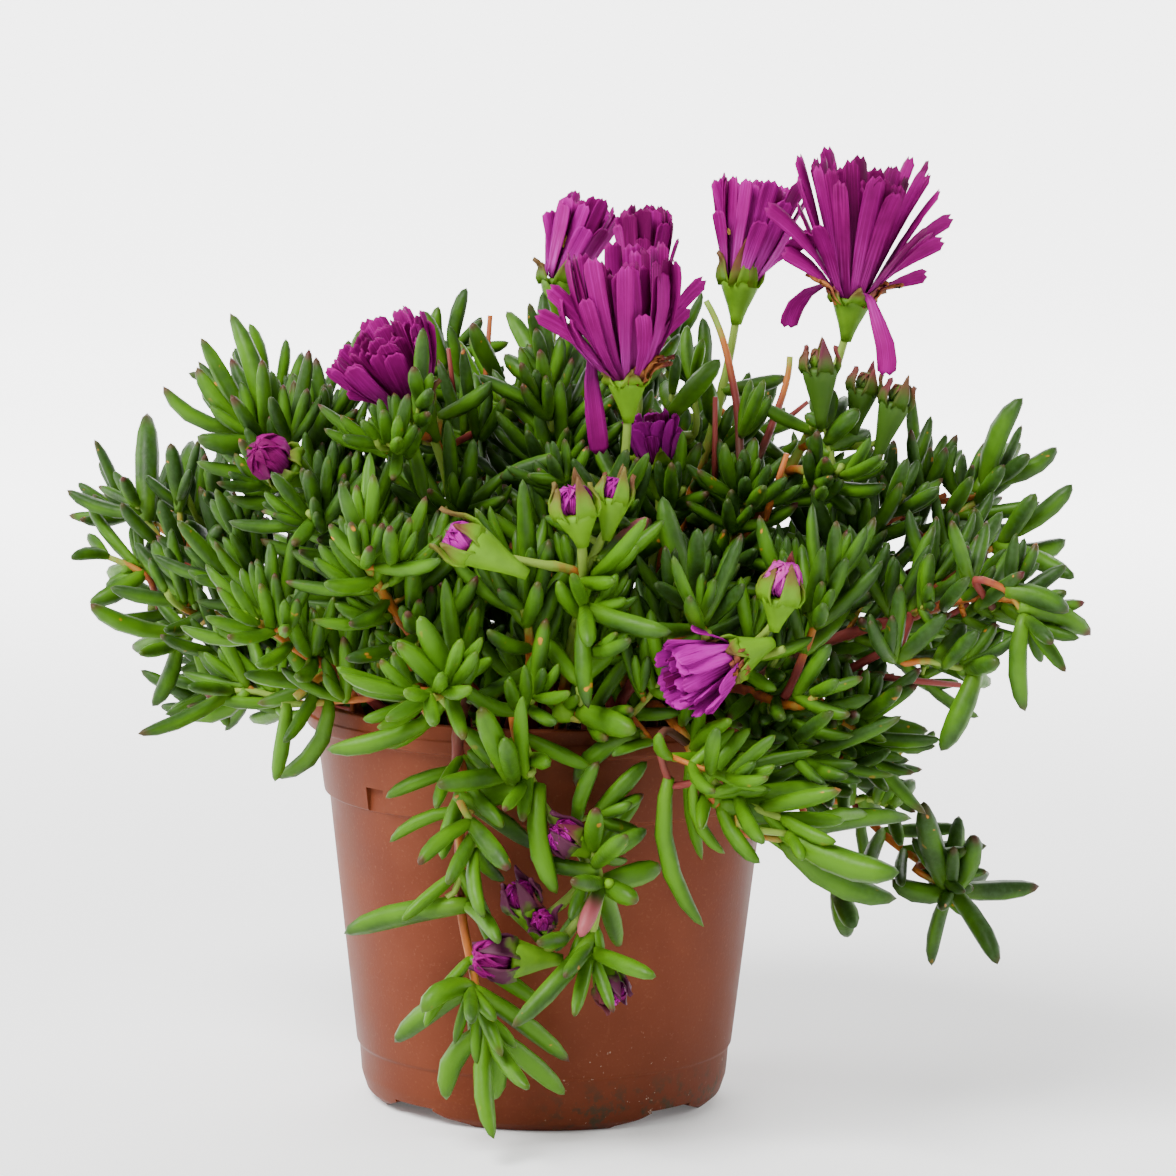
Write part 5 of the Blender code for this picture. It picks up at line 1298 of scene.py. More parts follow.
def fits(cells, heads, leaf, slack):
    """Whether a leaf has room among the rest."""
    balls = leaf_balls(leaf)
    if not inside_box(leaf) or not cells.free(balls, leaf[4] * LEAF_BALL, slack):
        return False
    if min(pot_room(np.array(ball), leaf[4]) for ball in balls[1:]) < 0:
        return False
    return heads.room(leaf_rods(leaf)) > 0


def fill_gaps(plan):
    """Grow leafy side shoots into every gap of the crown that a stem can reach."""
    cells, heads, starts = taken_cells(plan)
    places = np.array([start[0] for start in starts])
    tips = [leaf_point(leaf, 1.0) for parts in plan.values() for leaf in parts["leaves"]]
    for k in range(GAP_TRIES):
        key = ("gap", k)
        tip = tips[int(draw(key, "pick") * len(tips))]
        jitter = vec(*(spread(-9, 9, key, axis) for axis in range(3)))
        goal = HEART + (tip - HEART) * spread(0.4, 0.9, key, "reach") + jitter
        over_pot = goal[2] < RIM_FILL_Z and abs(goal[0]) < RIM_FILL_X and goal[1] < 0
        filled = over_pot or not cells.free([goal.tolist()], GAP_RADIUS)
        if filled or pot_room(goal, GAP_POT_ROOM) < 0:
            continue
        apart = np.linalg.norm(places - goal, axis=1)
        pick = int(apart.argmin())
        if not GAP_FROM < apart[pick] < GAP_TO:
            continue
        base, name = starts[pick]
        grow_filling_shoot(plan[name], cells, heads, base, goal, key)


# The ways a leaf of a filling shoot tries, as (sweep, more opening, share of its length)
FILL_TRIES = ((0, 0, 1.0), (22, 8, 0.92), (-22, -8, 0.85), (40, 16, 0.75))
FILL_GIRTH = (0.46, 0.5, 17.0)
FILL_RISE = 0.6
# How deep they may touch what is there, how long they are, and how thick their twig is
FILL_TOUCH = 0.75
FILL_LEAVES = (14.0, 22.0)
FILL_TWIG = 0.62


def grow_filling_shoot(parts, cells, heads, base, goal, key):
    """A leafy shoot from a stem towards a gap, kept only where enough of its leaves have room."""
    reach = goal - base
    length = max(3.0, float(np.linalg.norm(reach)) - 9.0)
    twig = (base, unit(reach), vec(0, 0, 0.1), length, FILL_TWIG)
    if not inside_box(twig) or not cells.free(leaf_balls(twig, (0.5, 0.8, 1.0)), 0.6, 0.5):
        return
    aim = unit(unit(reach) * 0.6 + unit(goal - HEART) * 0.5 + vec(0, 0, 0.55))
    turn, longest = 90 * draw(key, "turn"), spread(*FILL_LEAVES, key, "long")
    grown = []
    for level, (back, opening, share) in enumerate(SHOOT_PAIRS):
        if back > length - 1:
            break
        foot = leaf_point(twig, 1 - back / length)
        for half in range(2):
            mark = (key, level, half)
            for sweep, wide, scale in FILL_TRIES:
                angle = math.radians(turn + 90 * level + 180 * half + sweep)
                lean = math.radians(opening + wide + spread(-6, 6, mark, "lean"))
                long = longest * share * scale * spread(0.8, 1.12, mark, "own")
                curve = spread(0.08, 0.48, mark, "lift")
                leaf = sprung_leaf(
                    foot, aim, sideways(aim), angle, lean, long, FILL_GIRTH, FILL_RISE, curve
                )
                if fits(cells, heads, leaf, FILL_TOUCH):
                    grown.append(leaf)
                    break
    if len(grown) < FEWEST_LEAVES:
        return
    parts["twigs"].append(twig)
    parts["more"] += grown
    cells.add(leaf_balls(twig, (0.3, 0.6, 0.9)), 0.6)
    for leaf in grown:
        cells.add(leaf_balls(leaf), leaf[4] * LEAF_BALL)


PLANT = {}


def plant_plan():
    """The layout with all its leaves, worked out once and shared by the operators."""
    if not PLANT:
        sprays = all_sprays()
        PLANT.update(lay_out(sprays))
        fill_out(PLANT, sprays)
    return PLANT


# Modelling by operators, as by hand


def deselect_all():
    if bpy.context.mode != "OBJECT":
        bpy.ops.object.mode_set(mode="OBJECT")
    bpy.ops.object.select_all(action="DESELECT")


def select_where(test):
    """In edit mode, select the vertices that pass a test, and the edges and faces between them."""
    work = bmesh.from_edit_mesh(bpy.context.edit_object.data)
    for part in (work.verts, work.edges, work.faces):
        for item in part:
            item.select = False
    for vert in work.verts:
        vert.select = bool(test(vert.co))
    work.select_flush(True)
    bmesh.update_edit_mesh(bpy.context.edit_object.data)


def close_to(value, wanted):
    """Whether a place on a unit shape is the wanted one."""
    return abs(value - wanted) < 1e-4


class UnitShape:
    """A small shape that is modelled once: x and y are across it, and z runs from 0 to 1."""

    def __init__(self, thing):
        deselect_all()
        self.x, self.y, self.z = np.array([vert.co for vert in thing.data.vertices]).T
        self.faces = [list(face.vertices) for face in thing.data.polygons]
        bpy.data.objects.remove(thing)


def cut_across(places, axis):
    """Cut the shape in edit mode across an axis at each place."""
    for place in places:
        bpy.ops.mesh.select_all(action="SELECT")
        bpy.ops.mesh.bisect(plane_co=np.multiply(axis, place), plane_no=axis)


def model_finger(sides, profile):
    """A round finger: a cylinder cut across at each mark and drawn in to the profile there."""
    deselect_all()
    bpy.ops.mesh.primitive_cylinder_add(
        vertices=sides, radius=1, depth=1, end_fill_type="TRIFAN", location=(0, 0, 0.5)
    )
    bpy.ops.object.transform_apply(location=True, rotation=False, scale=False)
    bpy.ops.object.mode_set(mode="EDIT")
    cut_across([share for share, _ in profile[1:-1]], (0, 0, 1))
    for share, width in profile:
        select_where(lambda co: close_to(co.z, share))
        bpy.ops.transform.resize(value=(width, width, 1), center_override=(0, 0, share))
    bpy.ops.mesh.select_all(action="SELECT")
    bpy.ops.mesh.remove_doubles(threshold=1e-4)
    return UnitShape(bpy.context.object)


def model_strap(profile, notch):
    """A strap: a flat box cut along and across, with a round tip and a notch in it."""
    deselect_all()
    bpy.ops.mesh.primitive_cube_add(size=1, location=(0, 0, 0.5))
    bpy.ops.transform.resize(value=(2, 2, 1), center_override=(0, 0, 0.5))
    bpy.ops.object.transform_apply(location=True, rotation=False, scale=True)
    bpy.ops.object.mode_set(mode="EDIT")
    cut_across([share for share, _ in profile[1:-1]], (0, 0, 1))
    cut_across((-0.5, 0.0, 0.5), (1, 0, 0))
    for share, width in profile:
        select_where(lambda co: close_to(co.z, share))
        bpy.ops.transform.resize(value=(width, 1, 1), center_override=(0, 0, share))
    for low, high, drop in ((-0.01, 0.01, notch), (0.5, 1.0, TIP_ROUND)):
        select_where(lambda co: close_to(co.z, 1.0) and low < abs(co.x) < high)
        bpy.ops.transform.translate(value=(0, 0, drop))
    return UnitShape(bpy.context.object)


# How wide each unit shape is along its length, as (share of its length, share of its width)
LEAF_PROFILE = (
    (0.0, 0.6), (0.12, 0.78), (0.36, 0.96), (0.62, 1.0), (0.82, 0.82), (0.945, 0.45), (1.0, 0.0),
)
SEPAL_PROFILE = ((0.0, 1.0), (0.25, 0.95), (0.5, 0.74), (0.72, 0.46), (0.9, 0.18), (1.0, 0.03))
TWIG_PROFILE = ((0.0, 1.1), (0.5, 0.95), (1.0, 0.8))
PETAL_PROFILE = (
    (0.0, 0.34), (0.2, 0.5), (0.45, 0.76), (0.68, 0.95), (0.86, 1.0), (0.95, 0.93), (1.0, 0.72),
)
THREAD_PROFILE = ((0.0, 0.8), (0.5, 1.0), (1.0, 0.0))
CRUMB_PROFILE = ((0.0, 0.0), (0.22, 0.8), (0.6, 1.0), (1.0, 0.0))
# How far the middle of a sepal's and of a petal's tip moves, as a share of its length
SEPAL_NOTCH = 0.02
PETAL_NOTCH = -0.03
# How far the corners of a strap's tip drop, as a share of its length
TIP_ROUND = -0.035


class Piece:
    """A mesh in the making, in millimetres, and what its materials read at each point."""

    def __init__(self, name):
        self.name = name
        self.points, self.faces, self.slots, self.marks = [], [], [], []
        self.count = 0

    def add(self, points, faces, slot, marks):
        """Add a shape of one material, with one mark for all its points or one for each."""
        points = np.asarray(points).reshape(-1, 3)
        self.points.append(points)
        self.faces += [[corner + self.count for corner in face] for face in faces]
        self.slots += [slot] * len(faces)
        self.marks.append(np.broadcast_to(np.asarray(marks, float), (len(points), 3)))
        self.count += len(points)

    def finish(self, materials, replaced, slot):
        """The object, riding on the root body, in place of the solids that it shows."""
        mesh = bpy.data.meshes.new(self.name)
        mesh.from_pydata((np.concatenate(self.points) * MM).tolist(), [], self.faces)
        for made in materials:
            mesh.materials.append(made)
        mesh.polygons.foreach_set("material_index", self.slots)
        marks = np.concatenate(self.marks)
        rows = np.hstack([marks, np.ones((len(marks), 1))]).astype(np.float32)
        growth = mesh.attributes.new("growth", "FLOAT_COLOR", "POINT")
        growth.data.foreach_set("color", rows.ravel())
        mesh.shade_smooth()
        mesh.update()
        thing = bpy.data.objects.new(self.name, mesh)
        bpy.context.scene.collection.objects.link(thing)
        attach(thing, "root")
        if replaced:
            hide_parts(*replaced)
        return thing


def bent_copy(shape, leaf, fatness=1.0, flat=0.86, keel_share=1.0):
    """A unit shape laid along a leaf's curved centre line, flatter on its upper side."""
    base, run, lift, length, radius = leaf
    x, y, z = shape.x[:, None], shape.y[:, None], shape.z[:, None]
    centre = base + length * (run * z + lift * z * z)
    along = run + 2 * lift * z
    along = along / np.linalg.norm(along, axis=1)[:, None]
    keel = -lift if np.linalg.norm(lift) > 1e-6 else sideways(run)
    keel = keel - along * (along @ keel)[:, None]
    keel = keel / np.linalg.norm(keel, axis=1)[:, None]
    across = np.cross(keel, along)
    y = np.where(y < 0, y * flat, y * keel_share)
    return centre + radius * fatness * (across * x + keel * y)


def ring(centre, axis, side, radius, count, ribs=0.0):
    """Points in a circle round a centre, which may bulge in five soft ribs."""
    across = np.cross(axis, side)
    found = []
    for i in range(count):
        angle = 2 * math.pi * i / count
        wide = radius * (1 + ribs * math.cos(5 * angle))
        found.append(centre + wide * (side * math.cos(angle) + across * math.sin(angle)))
    return found


def tube_rings(centres, sides, radii, count):
    """Rings of points round a line, given a side direction and a radius at each centre."""
    rings = []
    for k, centre in enumerate(centres):
        run = unit(centres[min(k + 1, len(centres) - 1)] - centres[max(k - 1, 0)])
        side = unit(sides[k] - run * sides[k].dot(run))
        rings += ring(centre, run, side, radii[k], count)
    return rings


def tube_faces(rings, count):
    """The faces between rings of points, and over both ends."""
    faces = []
    for k in range(rings - 1):
        for i in range(count):
            j = (i + 1) % count
            faces.append((k * count + i, k * count + j, (k + 1) * count + j, (k + 1) * count + i))
    faces.append(tuple(reversed(range(count))))
    faces.append(tuple((rings - 1) * count + i for i in range(count)))
    return faces


# The material slots of a grown piece
LEAF, STEM, CUP, PETAL = range(4)
STEM_SIDES = 8
# How far below its head a stalk stays green, and over what length a stem turns woody
FRESH_STALK = 15.0
WOODY_AFTER = 90.0
# How a stem swells at a pair of leaves, as (share of its radius, half the length of the swelling)
SWELLING = (0.28, 1.3)


def add_stem(piece, path, radii, rooted, nodes, tone, key, headed):
    """A smooth stem through the path's points, swollen at each pair of leaves."""
    fine = Path(*path.controls, FINE_STEP)
    share = fine.along / fine.length
    radius = radii[0] + (radii[1] - radii[0]) * share
    scale = fine.length / path.length
    for mark in nodes:
        swollen = np.exp(-(((fine.along - mark * scale) / SWELLING[1]) ** 2))
        radius = radius * (1 + SWELLING[0] * swollen)
    centres, radius, ages = list(fine.points), list(radius), list(1 - share)
    sides = [fine.side(mark) for mark in fine.along]
    if rooted:
        centres = [centres[0] - vec(0, 0, HOLE_DEPTH - 0.2)] + centres
        sides, radius, ages = [sides[0]] + sides, [radius[0]] + radius, [1.0] + ages
    rings = tube_rings(centres, sides, radius, STEM_SIDES)
    length = fine.length if rooted else fine.length * 2.2
    fresh, red = (FRESH_STALK, 0.3 * draw(key, "red")) if headed else (0.0, draw(key, "red"))
    ages = np.clip((np.array(ages) * length - fresh) / WOODY_AFTER, 0, 1)
    marks = np.repeat(np.array([[age, tone, red] for age in ages]), STEM_SIDES, axis=0)
    piece.add(rings, tube_faces(len(centres), STEM_SIDES), STEM, marks)


def add_stalk(piece, shape, foot, end, arch, width, slot, marks, more=0.0):
    """A thin straight stalk between two points, arched a little upwards."""
    length = float(np.linalg.norm(end - foot)) + more
    stalk = (foot, unit(end - foot), vec(0, 0, arch), length, width)
    piece.add(bent_copy(shape, stalk), shape.faces, slot, marks)


def mark_rows(shape, *columns):
    """What the materials read at each point of a unit shape: three values, or rows of them."""
    return np.column_stack([np.broadcast_to(column, len(shape.z)) for column in columns])


# The least share of its solid's thickness that a leaf has, and that a leaf which was measured has
USUAL_SLIM = 0.7
SHOWN_SLIM = 0.86


def add_leaf(piece, shape, leaf, tone, tips, key, slim=USUAL_SLIM):
    """One leaf with its own tone, painted lighter at both rims as a painted highlight and darker
    along its middle as painted shade, and on some a purple tip.
    """
    own = min(1.0, max(0.0, tone + spread(-0.22, 0.22, key, "tone"))) if tone > 0 else tone
    tipped = draw(key, "tipped") < tips
    tip = spread(0.45, 1.0, key, "tip") if tipped else spread(0, 0.25, key, "tip")
    sunk = (leaf[0] - leaf[1] * 0.4,) + tuple(leaf[1:])
    flat = spread(0.7, 0.9, key, "flat")
    points = bent_copy(shape, sunk, spread(slim, slim + 0.2, key, "fat"), flat, 1.1)
    # Painted light: the tone rises towards the leaf's side edges as a painted rim highlight and
    # falls along its top and keel as painted shade
    rim = 0.6 * shape.x**2 - 0.28
    lit = np.maximum(0.0, own + rim) if own >= 0 else own
    piece.add(points, shape.faces, LEAF, mark_rows(shape, shape.z, lit, tip))


# A cup's outline down its axis, as (height over its rim, share of its width)
CUP_OUTLINE = (
    (-9.5, 0.27), (-7.6, 0.38), (-5.6, 0.54), (-3.6, 0.74), (-1.8, 0.91), (-0.6, 1.0), (0.1, 0.93),
    (0.2, 0.5),
)
CUP_SIDES = 12
CUP_RIBS = 0.05
LEAST_STALK = 0.95


def add_cup(piece, base, heading, wide, tint, stretch=1.0):
    """The fleshy green cup under a head of petals, which tapers into the stalk."""
    rings, marks = [], []
    for k, (height, share) in enumerate(CUP_OUTLINE):
        centre, radius = base + heading * height * stretch, max(LEAST_STALK, wide * share)
        rings += ring(centre, heading, sideways(heading), radius, CUP_SIDES, CUP_RIBS)
        marks += [(0.10 + 0.05 * k, tint[0], tint[1] * 0.35)] * CUP_SIDES
    piece.add(rings, tube_faces(len(CUP_OUTLINE), CUP_SIDES), CUP, marks)


def wrapped_sepal(base, heading, angle, length, wide, shut, flare):
    """How a sepal rises from the cup's rim, bulges, and closes over the head or flares away."""

    def place(v):
        away, along = frame_round(heading, angle)
        bulge = 0.76 + 0.28 * math.sin(math.pi * min(1.0, 1.2 * v))
        radius = wide * bulge * (1 - shut * v * v) + flare * v**3
        slope = -2 * shut * v * wide + 3 * flare * v * v
        slope = slope + 0.8 * wide * math.cos(math.pi * v) * (1 - v)
        rise = unit(away * slope + heading * length)
        return base + away * radius + heading * (length * v - 0.9), along, np.cross(along, rise)

    return place


# How each kind of head holds its five sepals, as (how far they shut, how far their tips flare)
SEPAL_HOLD = {"bloom": (0.0, 3.0), "bud": (0.4, 0.6), "spent": (0.05, 0.8), "star": (0.1, 3.0)}


def add_sepals(piece, shape, base, heading, wide, length, kind, tint, key):
    """Five pointed fleshy sepals on the cup's rim, two of them longer than the others."""
    shut, flare = SEPAL_HOLD[kind]
    green = 0.25 if tint[1] < 1.2 else 0.45
    along = green + 0.75 * np.maximum(shape.z, 0) ** 1.5 + 0.12 * np.abs(shape.x)
    for k in range(5):
        angle = 2 * math.pi * k / 5 + spread(-0.12, 0.12, key, k) + 0.3
        reach = length * (1.15 if k in (0, 2) else 0.9) * spread(0.88, 1.1, key, k, "long")
        lean = flare * spread(0.6, 1.5, key, k, "flare")
        place = wrapped_sepal(base, heading, angle, reach, wide, shut, lean)
        points = petal_copy(shape, place, wide * (0.48 if kind == "spent" else 0.55), 1.0)
        brown = tint[1] * spread(0.7, 1.2, key, k, "brown")
        piece.add(points, shape.faces, CUP, mark_rows(shape, along, tint[0], brown))


# Dry flaps on the rims of the older blooms, as (turn, length, flare)
WITHERED = {
    "flower_a": ((-25, 6.0, 5.5), (-60, 5.5, 3.5), (8, 5.0, 7.0), (-5, 4.0, 6.0)),
    "flower_e": ((185, 4.5, 7.5), (200, 4.0, 5.0), (-5, 5.0, 7.0), (-28, 5.5, 4.5), (20, 4.5, 5.5)),
    "flower_g": ((-20, 4.0, 3.0), (-75, 4.5, 3.5)),
    "flower_f": ((-10, 5.0, 4.0), (-70, 5.5, 3.0)),
}
# A broad brown sepal that hugs one bloom's front, as (turn, length, flare)
BROAD_SEPAL = {"flower_d": (-88, 10.0, 3.4)}
# The half widths and thicknesses of a dry flap and a broad sepal, and how crumpled a flap is
FLAP_SIZE = (2.3, 0.6)
BROAD_SIZE = (2.9, 0.9)
CRUMPLE = 0.45


def add_withered(piece, shape, base, heading, name):
    """The dry brown flaps that hang on a bloom's rim, and a broad sepal on one bloom."""
    for k, (degrees, length, flare) in enumerate(WITHERED.get(name, ())):
        angle = world_turn(heading, degrees)
        place = wrapped_sepal(base, heading, angle, length, CUP_RADIUS * 0.95, 0.0, flare)
        moves = [
            [spread(-CRUMPLE, CRUMPLE, name, k, i, axis) for axis in range(3)]
            for i in range(len(shape.z))
        ]
        points = petal_copy(shape, place, *FLAP_SIZE) + np.array(moves)
        piece.add(points, shape.faces, CUP, mark_rows(shape, shape.z, -1.0, 0.0))
    if name in BROAD_SEPAL:
        degrees, length, flare = BROAD_SEPAL[name]
        angle = world_turn(heading, degrees)
        place = wrapped_sepal(base, heading, angle, length, CUP_RADIUS, 0.0, flare)
        marks = mark_rows(shape, 0.42 + 0.6 * np.maximum(shape.z, 0), 0.5, 0.95)
        piece.add(petal_copy(shape, place, *BROAD_SIZE), shape.faces, CUP, marks)


def petal_copy(shape, place, half_width, thick):
    """A petal laid along place(v), which gives its centre and where its width and top point."""
    points = np.zeros((len(shape.z), 3))
    for v in np.unique(shape.z):
        rows = np.isclose(shape.z, v)
        centre, width, upper = place(v)
        x, y = shape.x[rows, None], shape.y[rows, None]
        trough = 0.3 * half_width * x * x
        slim = np.where(np.abs(x) > 0.2, 0.45, 1.0)
        points[rows] = centre + width * x * half_width + upper * (y * slim * thick / 2 + trough)
    return points


def add_petal(piece, shape, place, half_width, slot, tone):
    """One silky petal, whose materials read how far along and across it a point lies."""
    marks = mark_rows(shape, shape.z, tone, np.abs(shape.x))
    piece.add(petal_copy(shape, place, half_width, PETAL_THICK), shape.faces, slot, marks)


# Rows of petals from the outside in, as (count, share of the mouth's radius, share of the length)
OPEN_ROWS = ((15, 1.0, 0.93), (14, 0.84, 1.0), (10, 0.58, 0.98), (7, 0.32, 0.9))
# Petals that stray from a bloom, as (turn in degrees, how far out, how far up)
STRAY_PETALS = {
    "flower_a": ((182, 17.0, 16.0), (176, 14.0, 21.0), (4, 17.0, 20.0), (10, 13.5, 14.0)),
    "flower_e": (
        (184, 20.0, 18.5), (178, 15.0, 9.0), (3, 18.5, 20.0), (357, 17.0, 15.0), (8, 15.0, 7.0),
    ),
    "flower_d": ((180, 9.0, 21.0), (0, 12.0, 14.0)),
    "flower_b": ((184, 7.0, 14.0),),
    "flower_f": ((90, 12.0, 16.0), (200, 10.0, 12.0)),
}
LOOSE_TWIST = {"flower_a": 1.1, "flower_e": 0.9}
HALF_PETAL = 2.2
# What share of the outermost petals is shorter, and how much darker each row further in is, as
# painted shade deep in the bloom
SHORT_SHARE = 0.35
ROW_PAINTED_SHADE = 0.12
# How light each bloom's petals are
PETAL_TONES = {
    "flower_b": 0.8,
    "flower_c": -0.05,
    "flower_d": 0.7,
    "flower_e": 0.05,
    "flower_g": 0.3,
}
USUAL_PETAL_TONE = 0.12
# How each bloom's petals stand in the solid's funnel: share of its length, share of its mouth,
# how early they open (0 late, 1 early) and how far the bloom leans to the right
BLOOM_FIT = {
    "flower_a": (0.97, 0.72, 1.0, -0.04),
    "flower_b": (1.02, 0.62, 0.7, 0.22),
    "flower_c": (1.0, 0.58, 0.8, 0.02),
    "flower_d": (1.0, 0.86, 0.55, 0.14),
    "flower_e": (1.01, 0.88, 0.3, -0.02),
    "flower_f": (0.95, 1.0, 0.7, 0.0),
    "flower_g": (0.88, 0.76, 0.8, 0.0),
    "flower_h": (1.0, 0.9, 0.7, 0.0),
}
# The loose petals as they are seen, on the same turns as the solids' straps
SEEN_LOOSE = {
    "flower_e": [
        (252, ((3.0, 3.2), (7.5, 1.8), (11.0, -1.0), (13.2, -5.0), (13.5, -8.5))),
        (262, ((3.2, 4.5), (5.0, 9.2), (9.3, 11.6), (12.8, 11.2), (15.0, 8.2))),
        (36, ((3.0, 2.6), (6.5, 0.5), (10.4, -4.6), (13.4, -9.3), (14.4, -14.3))),
    ],
}
PETAL_THICK = 0.42


def frame_round(heading, angle):
    """Outward and sideways directions at an angle round a heading."""
    away = round_about(heading, sideways(heading), angle)
    return away, np.cross(heading, away)


def world_turn(heading, degrees):
    """The angle round a heading that faces a compass direction, 0 to the right and 90 away."""
    side = sideways(heading)
    across = np.cross(heading, side)
    aim = vec(math.cos(math.radians(degrees)), math.sin(math.radians(degrees)), 0)
    return math.atan2(aim.dot(across), aim.dot(side))


def funnel_petal(base, heading, angle, out, up, low, sway, curl, twist, early=0.0):
    """How a petal leaves the cup and opens outwards, late and wide or early and upright."""

    def place(v):
        away, along = frame_round(heading, angle + sway * v)
        late_share, early_share = 0.42 * v + 0.58 * v * v, 1 - (1 - v) ** 2.4
        radius = low + (out - low) * (late_share * (1 - early) + early_share * early) + curl * v**5
        height = up * v - abs(curl) * 0.35 * v**5
        opening = (0.42 + 1.16 * v) * (1 - early) + 2.4 * (1 - v) ** 1.4 * early
        slope_out = (out - low) * opening + 5 * curl * v**4
        rise = unit(away * slope_out + heading * up)
        upper = np.cross(along, rise)
        turned = along * math.cos(twist * v) + upper * math.sin(twist * v)
        return base + away * radius + heading * height, turned, np.cross(turned, rise)

    return place


def add_petals(piece, shape, name, base, heading, size):
    """All the petals of an open bloom, row by row, and those that stray from it."""
    longer, wider, early, lean = BLOOM_FIT[name]
    length, mouth, heading = size[0] * longer, size[1] * wider, unit(heading + vec(lean, 0, 0))
    tone = PETAL_TONES.get(name, USUAL_PETAL_TONE)
    for row, (count, wide, tall) in enumerate(OPEN_ROWS):
        count = max(5, round(count * min(1.0, 0.45 + mouth / 28)))
        for k in range(count):
            key = (name, row, k)
            angle = 2 * math.pi * (k + 0.5 * row + spread(-0.22, 0.22, key, "turn")) / count
            out = mouth * wide * spread(0.86, 1.08, key, "out")
            up = length * tall * spread(0.86, 1.03, key, "up")
            if row == 0 and draw(key, "short") < SHORT_SHARE:
                up = up * spread(0.62, 0.82, key, "shorter")
            curl = spread(-0.4, 1.6, key, "curl") * (1.0 if row < 2 else 0.3)
            sway = spread(-0.16, 0.16, key, "sway")
            low, twist = 3.3 - 0.75 * row, spread(-0.45, 0.45, key, "twist")
            place = funnel_petal(base, heading, angle, out, up, low, sway, curl, twist, early)
            half = HALF_PETAL * (0.7 + 0.3 * min(1.0, mouth / 12)) * spread(0.8, 1.12, key, "wide")
            # Each row further in gets painted shade
            own = tone + spread(-0.35, 0.35, key, "tone") - ROW_PAINTED_SHADE * row
            add_petal(piece, shape, place, half, 0, own)
    for degrees, out, up in STRAY_PETALS.get(name, ()):
        angle = world_turn(heading, degrees)
        place = funnel_petal(base, heading, angle, out, up, 3.4, 0.05, 1.0, 1.2)
        add_petal(piece, shape, place, HALF_PETAL * 0.9, 0, tone)
    for turn, marks in SEEN_LOOSE.get(name, LOOSE_PETALS.get(name, ())):
        place = hanging_petal(base, heading, math.radians(turn), marks, LOOSE_TWIST[name])
        add_petal(piece, shape, place, HALF_PETAL, 0, tone + 0.15)


def hanging_petal(base, heading, turn, marks, twist):
    """A smooth run through the points of a loose petal, turning its face as it goes."""
    away, run = strap_points(base, heading, turn, marks)
    line = Path(run, run[1] - run[0], run[-1] - run[-2], 1.5)
    width = np.cross(heading, away)

    def place(v):
        mark = v * line.length
        rise = line.direction(mark)
        angle = twist * min(1.0, 1.6 * v)
        flat = unit(width - rise * width.dot(rise))
        turned = flat * math.cos(angle) + np.cross(rise, flat) * math.sin(angle)
        return line.at(mark), turned, np.cross(turned, rise)

    return place


def closed_petal(base, heading, angle, length, wide, sway):
    """How a petal wraps a bud that is still shut."""

    def place(v):
        away, along = frame_round(heading, angle + sway * v)
        belly = math.pi * (0.16 + 0.78 * v)
        radius = wide * math.sin(belly)
        slope = wide * math.pi * 0.78 * math.cos(belly)
        rise = unit(away * slope + heading * length)
        return base + away * radius + heading * length * v, along, np.cross(along, rise)

    return place


def add_closed_petals(piece, shape, base, heading, length, wide, slot, tone, key):
    """Three rows of six petals that wrap a bud or close a spent head."""
    for row in range(3):
        size = 1.0 - 0.16 * row
        for k in range(6):
            mark = (key, row, k)
            angle = 2 * math.pi * (k + 0.5 * row) / 6 + spread(-0.2, 0.2, mark)
            reach = length * (1.02 - 0.03 * row)
            place = closed_petal(base, heading, angle, reach, wide * size, 0.55)
            own = tone + spread(-0.25, 0.25, mark, "tone")
            add_petal(piece, shape, place, wide * 0.62 * size, slot, own)


STAMENS = 26
THREAD_RADIUS = 0.24
BEAD_SIZE = (1.5, 0.5)


def add_stamens(piece, finger, base, heading, length, name):
    """The tuft of pale stamens in an open bloom's middle."""
    for k in range(STAMENS):
        key = (name, "stamen", k)
        away, _ = frame_round(heading, 2 * math.pi * draw(key, "turn"))
        run = unit(heading + away * spread(0.05, 0.35, key, "lean"))
        start = base + away * 1.6 * draw(key, "out")
        reach = length * spread(0.32, 0.45, key, "reach")
        thread = (start, run, away * 0.02, reach, THREAD_RADIUS)
        piece.add(bent_copy(finger, thread), finger.faces, 0, (0.2, 1.0, 0.3))
        bead = (start + run * (reach - 0.5), run, away * 0.02, *BEAD_SIZE)
        piece.add(bent_copy(finger, bead), finger.faces, 1, (0.5, 0.5, 0.5))


# The heads of the grown pieces, whose places are told by the whole millimetres of their x

# The tone and the brown or purple share of each kind of head, by stem
HEAD_TINTS = {
    "flower_a": {"bloom": (0.85, 0.9)},
    "flower_b": {"bloom": (0.45, 0.7)},
    "flower_c": {"bloom": (0.6, 0.5)},
    "flower_d": {"bloom": (0.6, 0.75)},
    "flower_e": {"bloom": (0.5, 1.0), "spent": (0.0, 1.0)},
    "flower_f": {"bloom": (0.3, 1.0)},
    "flower_g": {"bloom": (0.7, 0.9), "bud": (0.75, 0.85)},
    "stem_ball_bud": {"bud": (0.45, 0.6)},
    "stem_bud_fork": {"spent": (0.7, 0.8)},
    "trailer_buds": {"bud": (0.6, 1.5), "spent": (0.4, 1.5)},
}
USUAL_TINT = (0.75, 0.35)
# How long the sepals of an open bloom are at most, and what share of that each bloom's are
BLOOM_SEPAL = 7.5
BLOOM_SEPALS = {
    "flower_a": 0.4,
    "flower_b": 0.6,
    "flower_c": 0.5,
    "flower_d": 1.0,
    "flower_e": 0.45,
}
USUAL_SEPALS = 0.55
# How much longer than usual the cups of some heads are
CUP_STRETCH = {
    "stem_bud_fork": {-16: 1.4, 6: 0.8, 14: 0.9},
    "trailer_buds": {-6: 1.15},
    "flower_g": {48: 0.8},
    "flower_e": {58: 1.4, 67: 1.1, 72: 1.4},
}
# How much higher than the solids' some heads sit
HEAD_RISE = {"flower_e": {58: 4.5, 67: 0.5, 72: 4.0}}
# How long and how wide spent heads are, against the solids'
SPENT_SIZE = {"flower_e": (0.8, 0.84)}
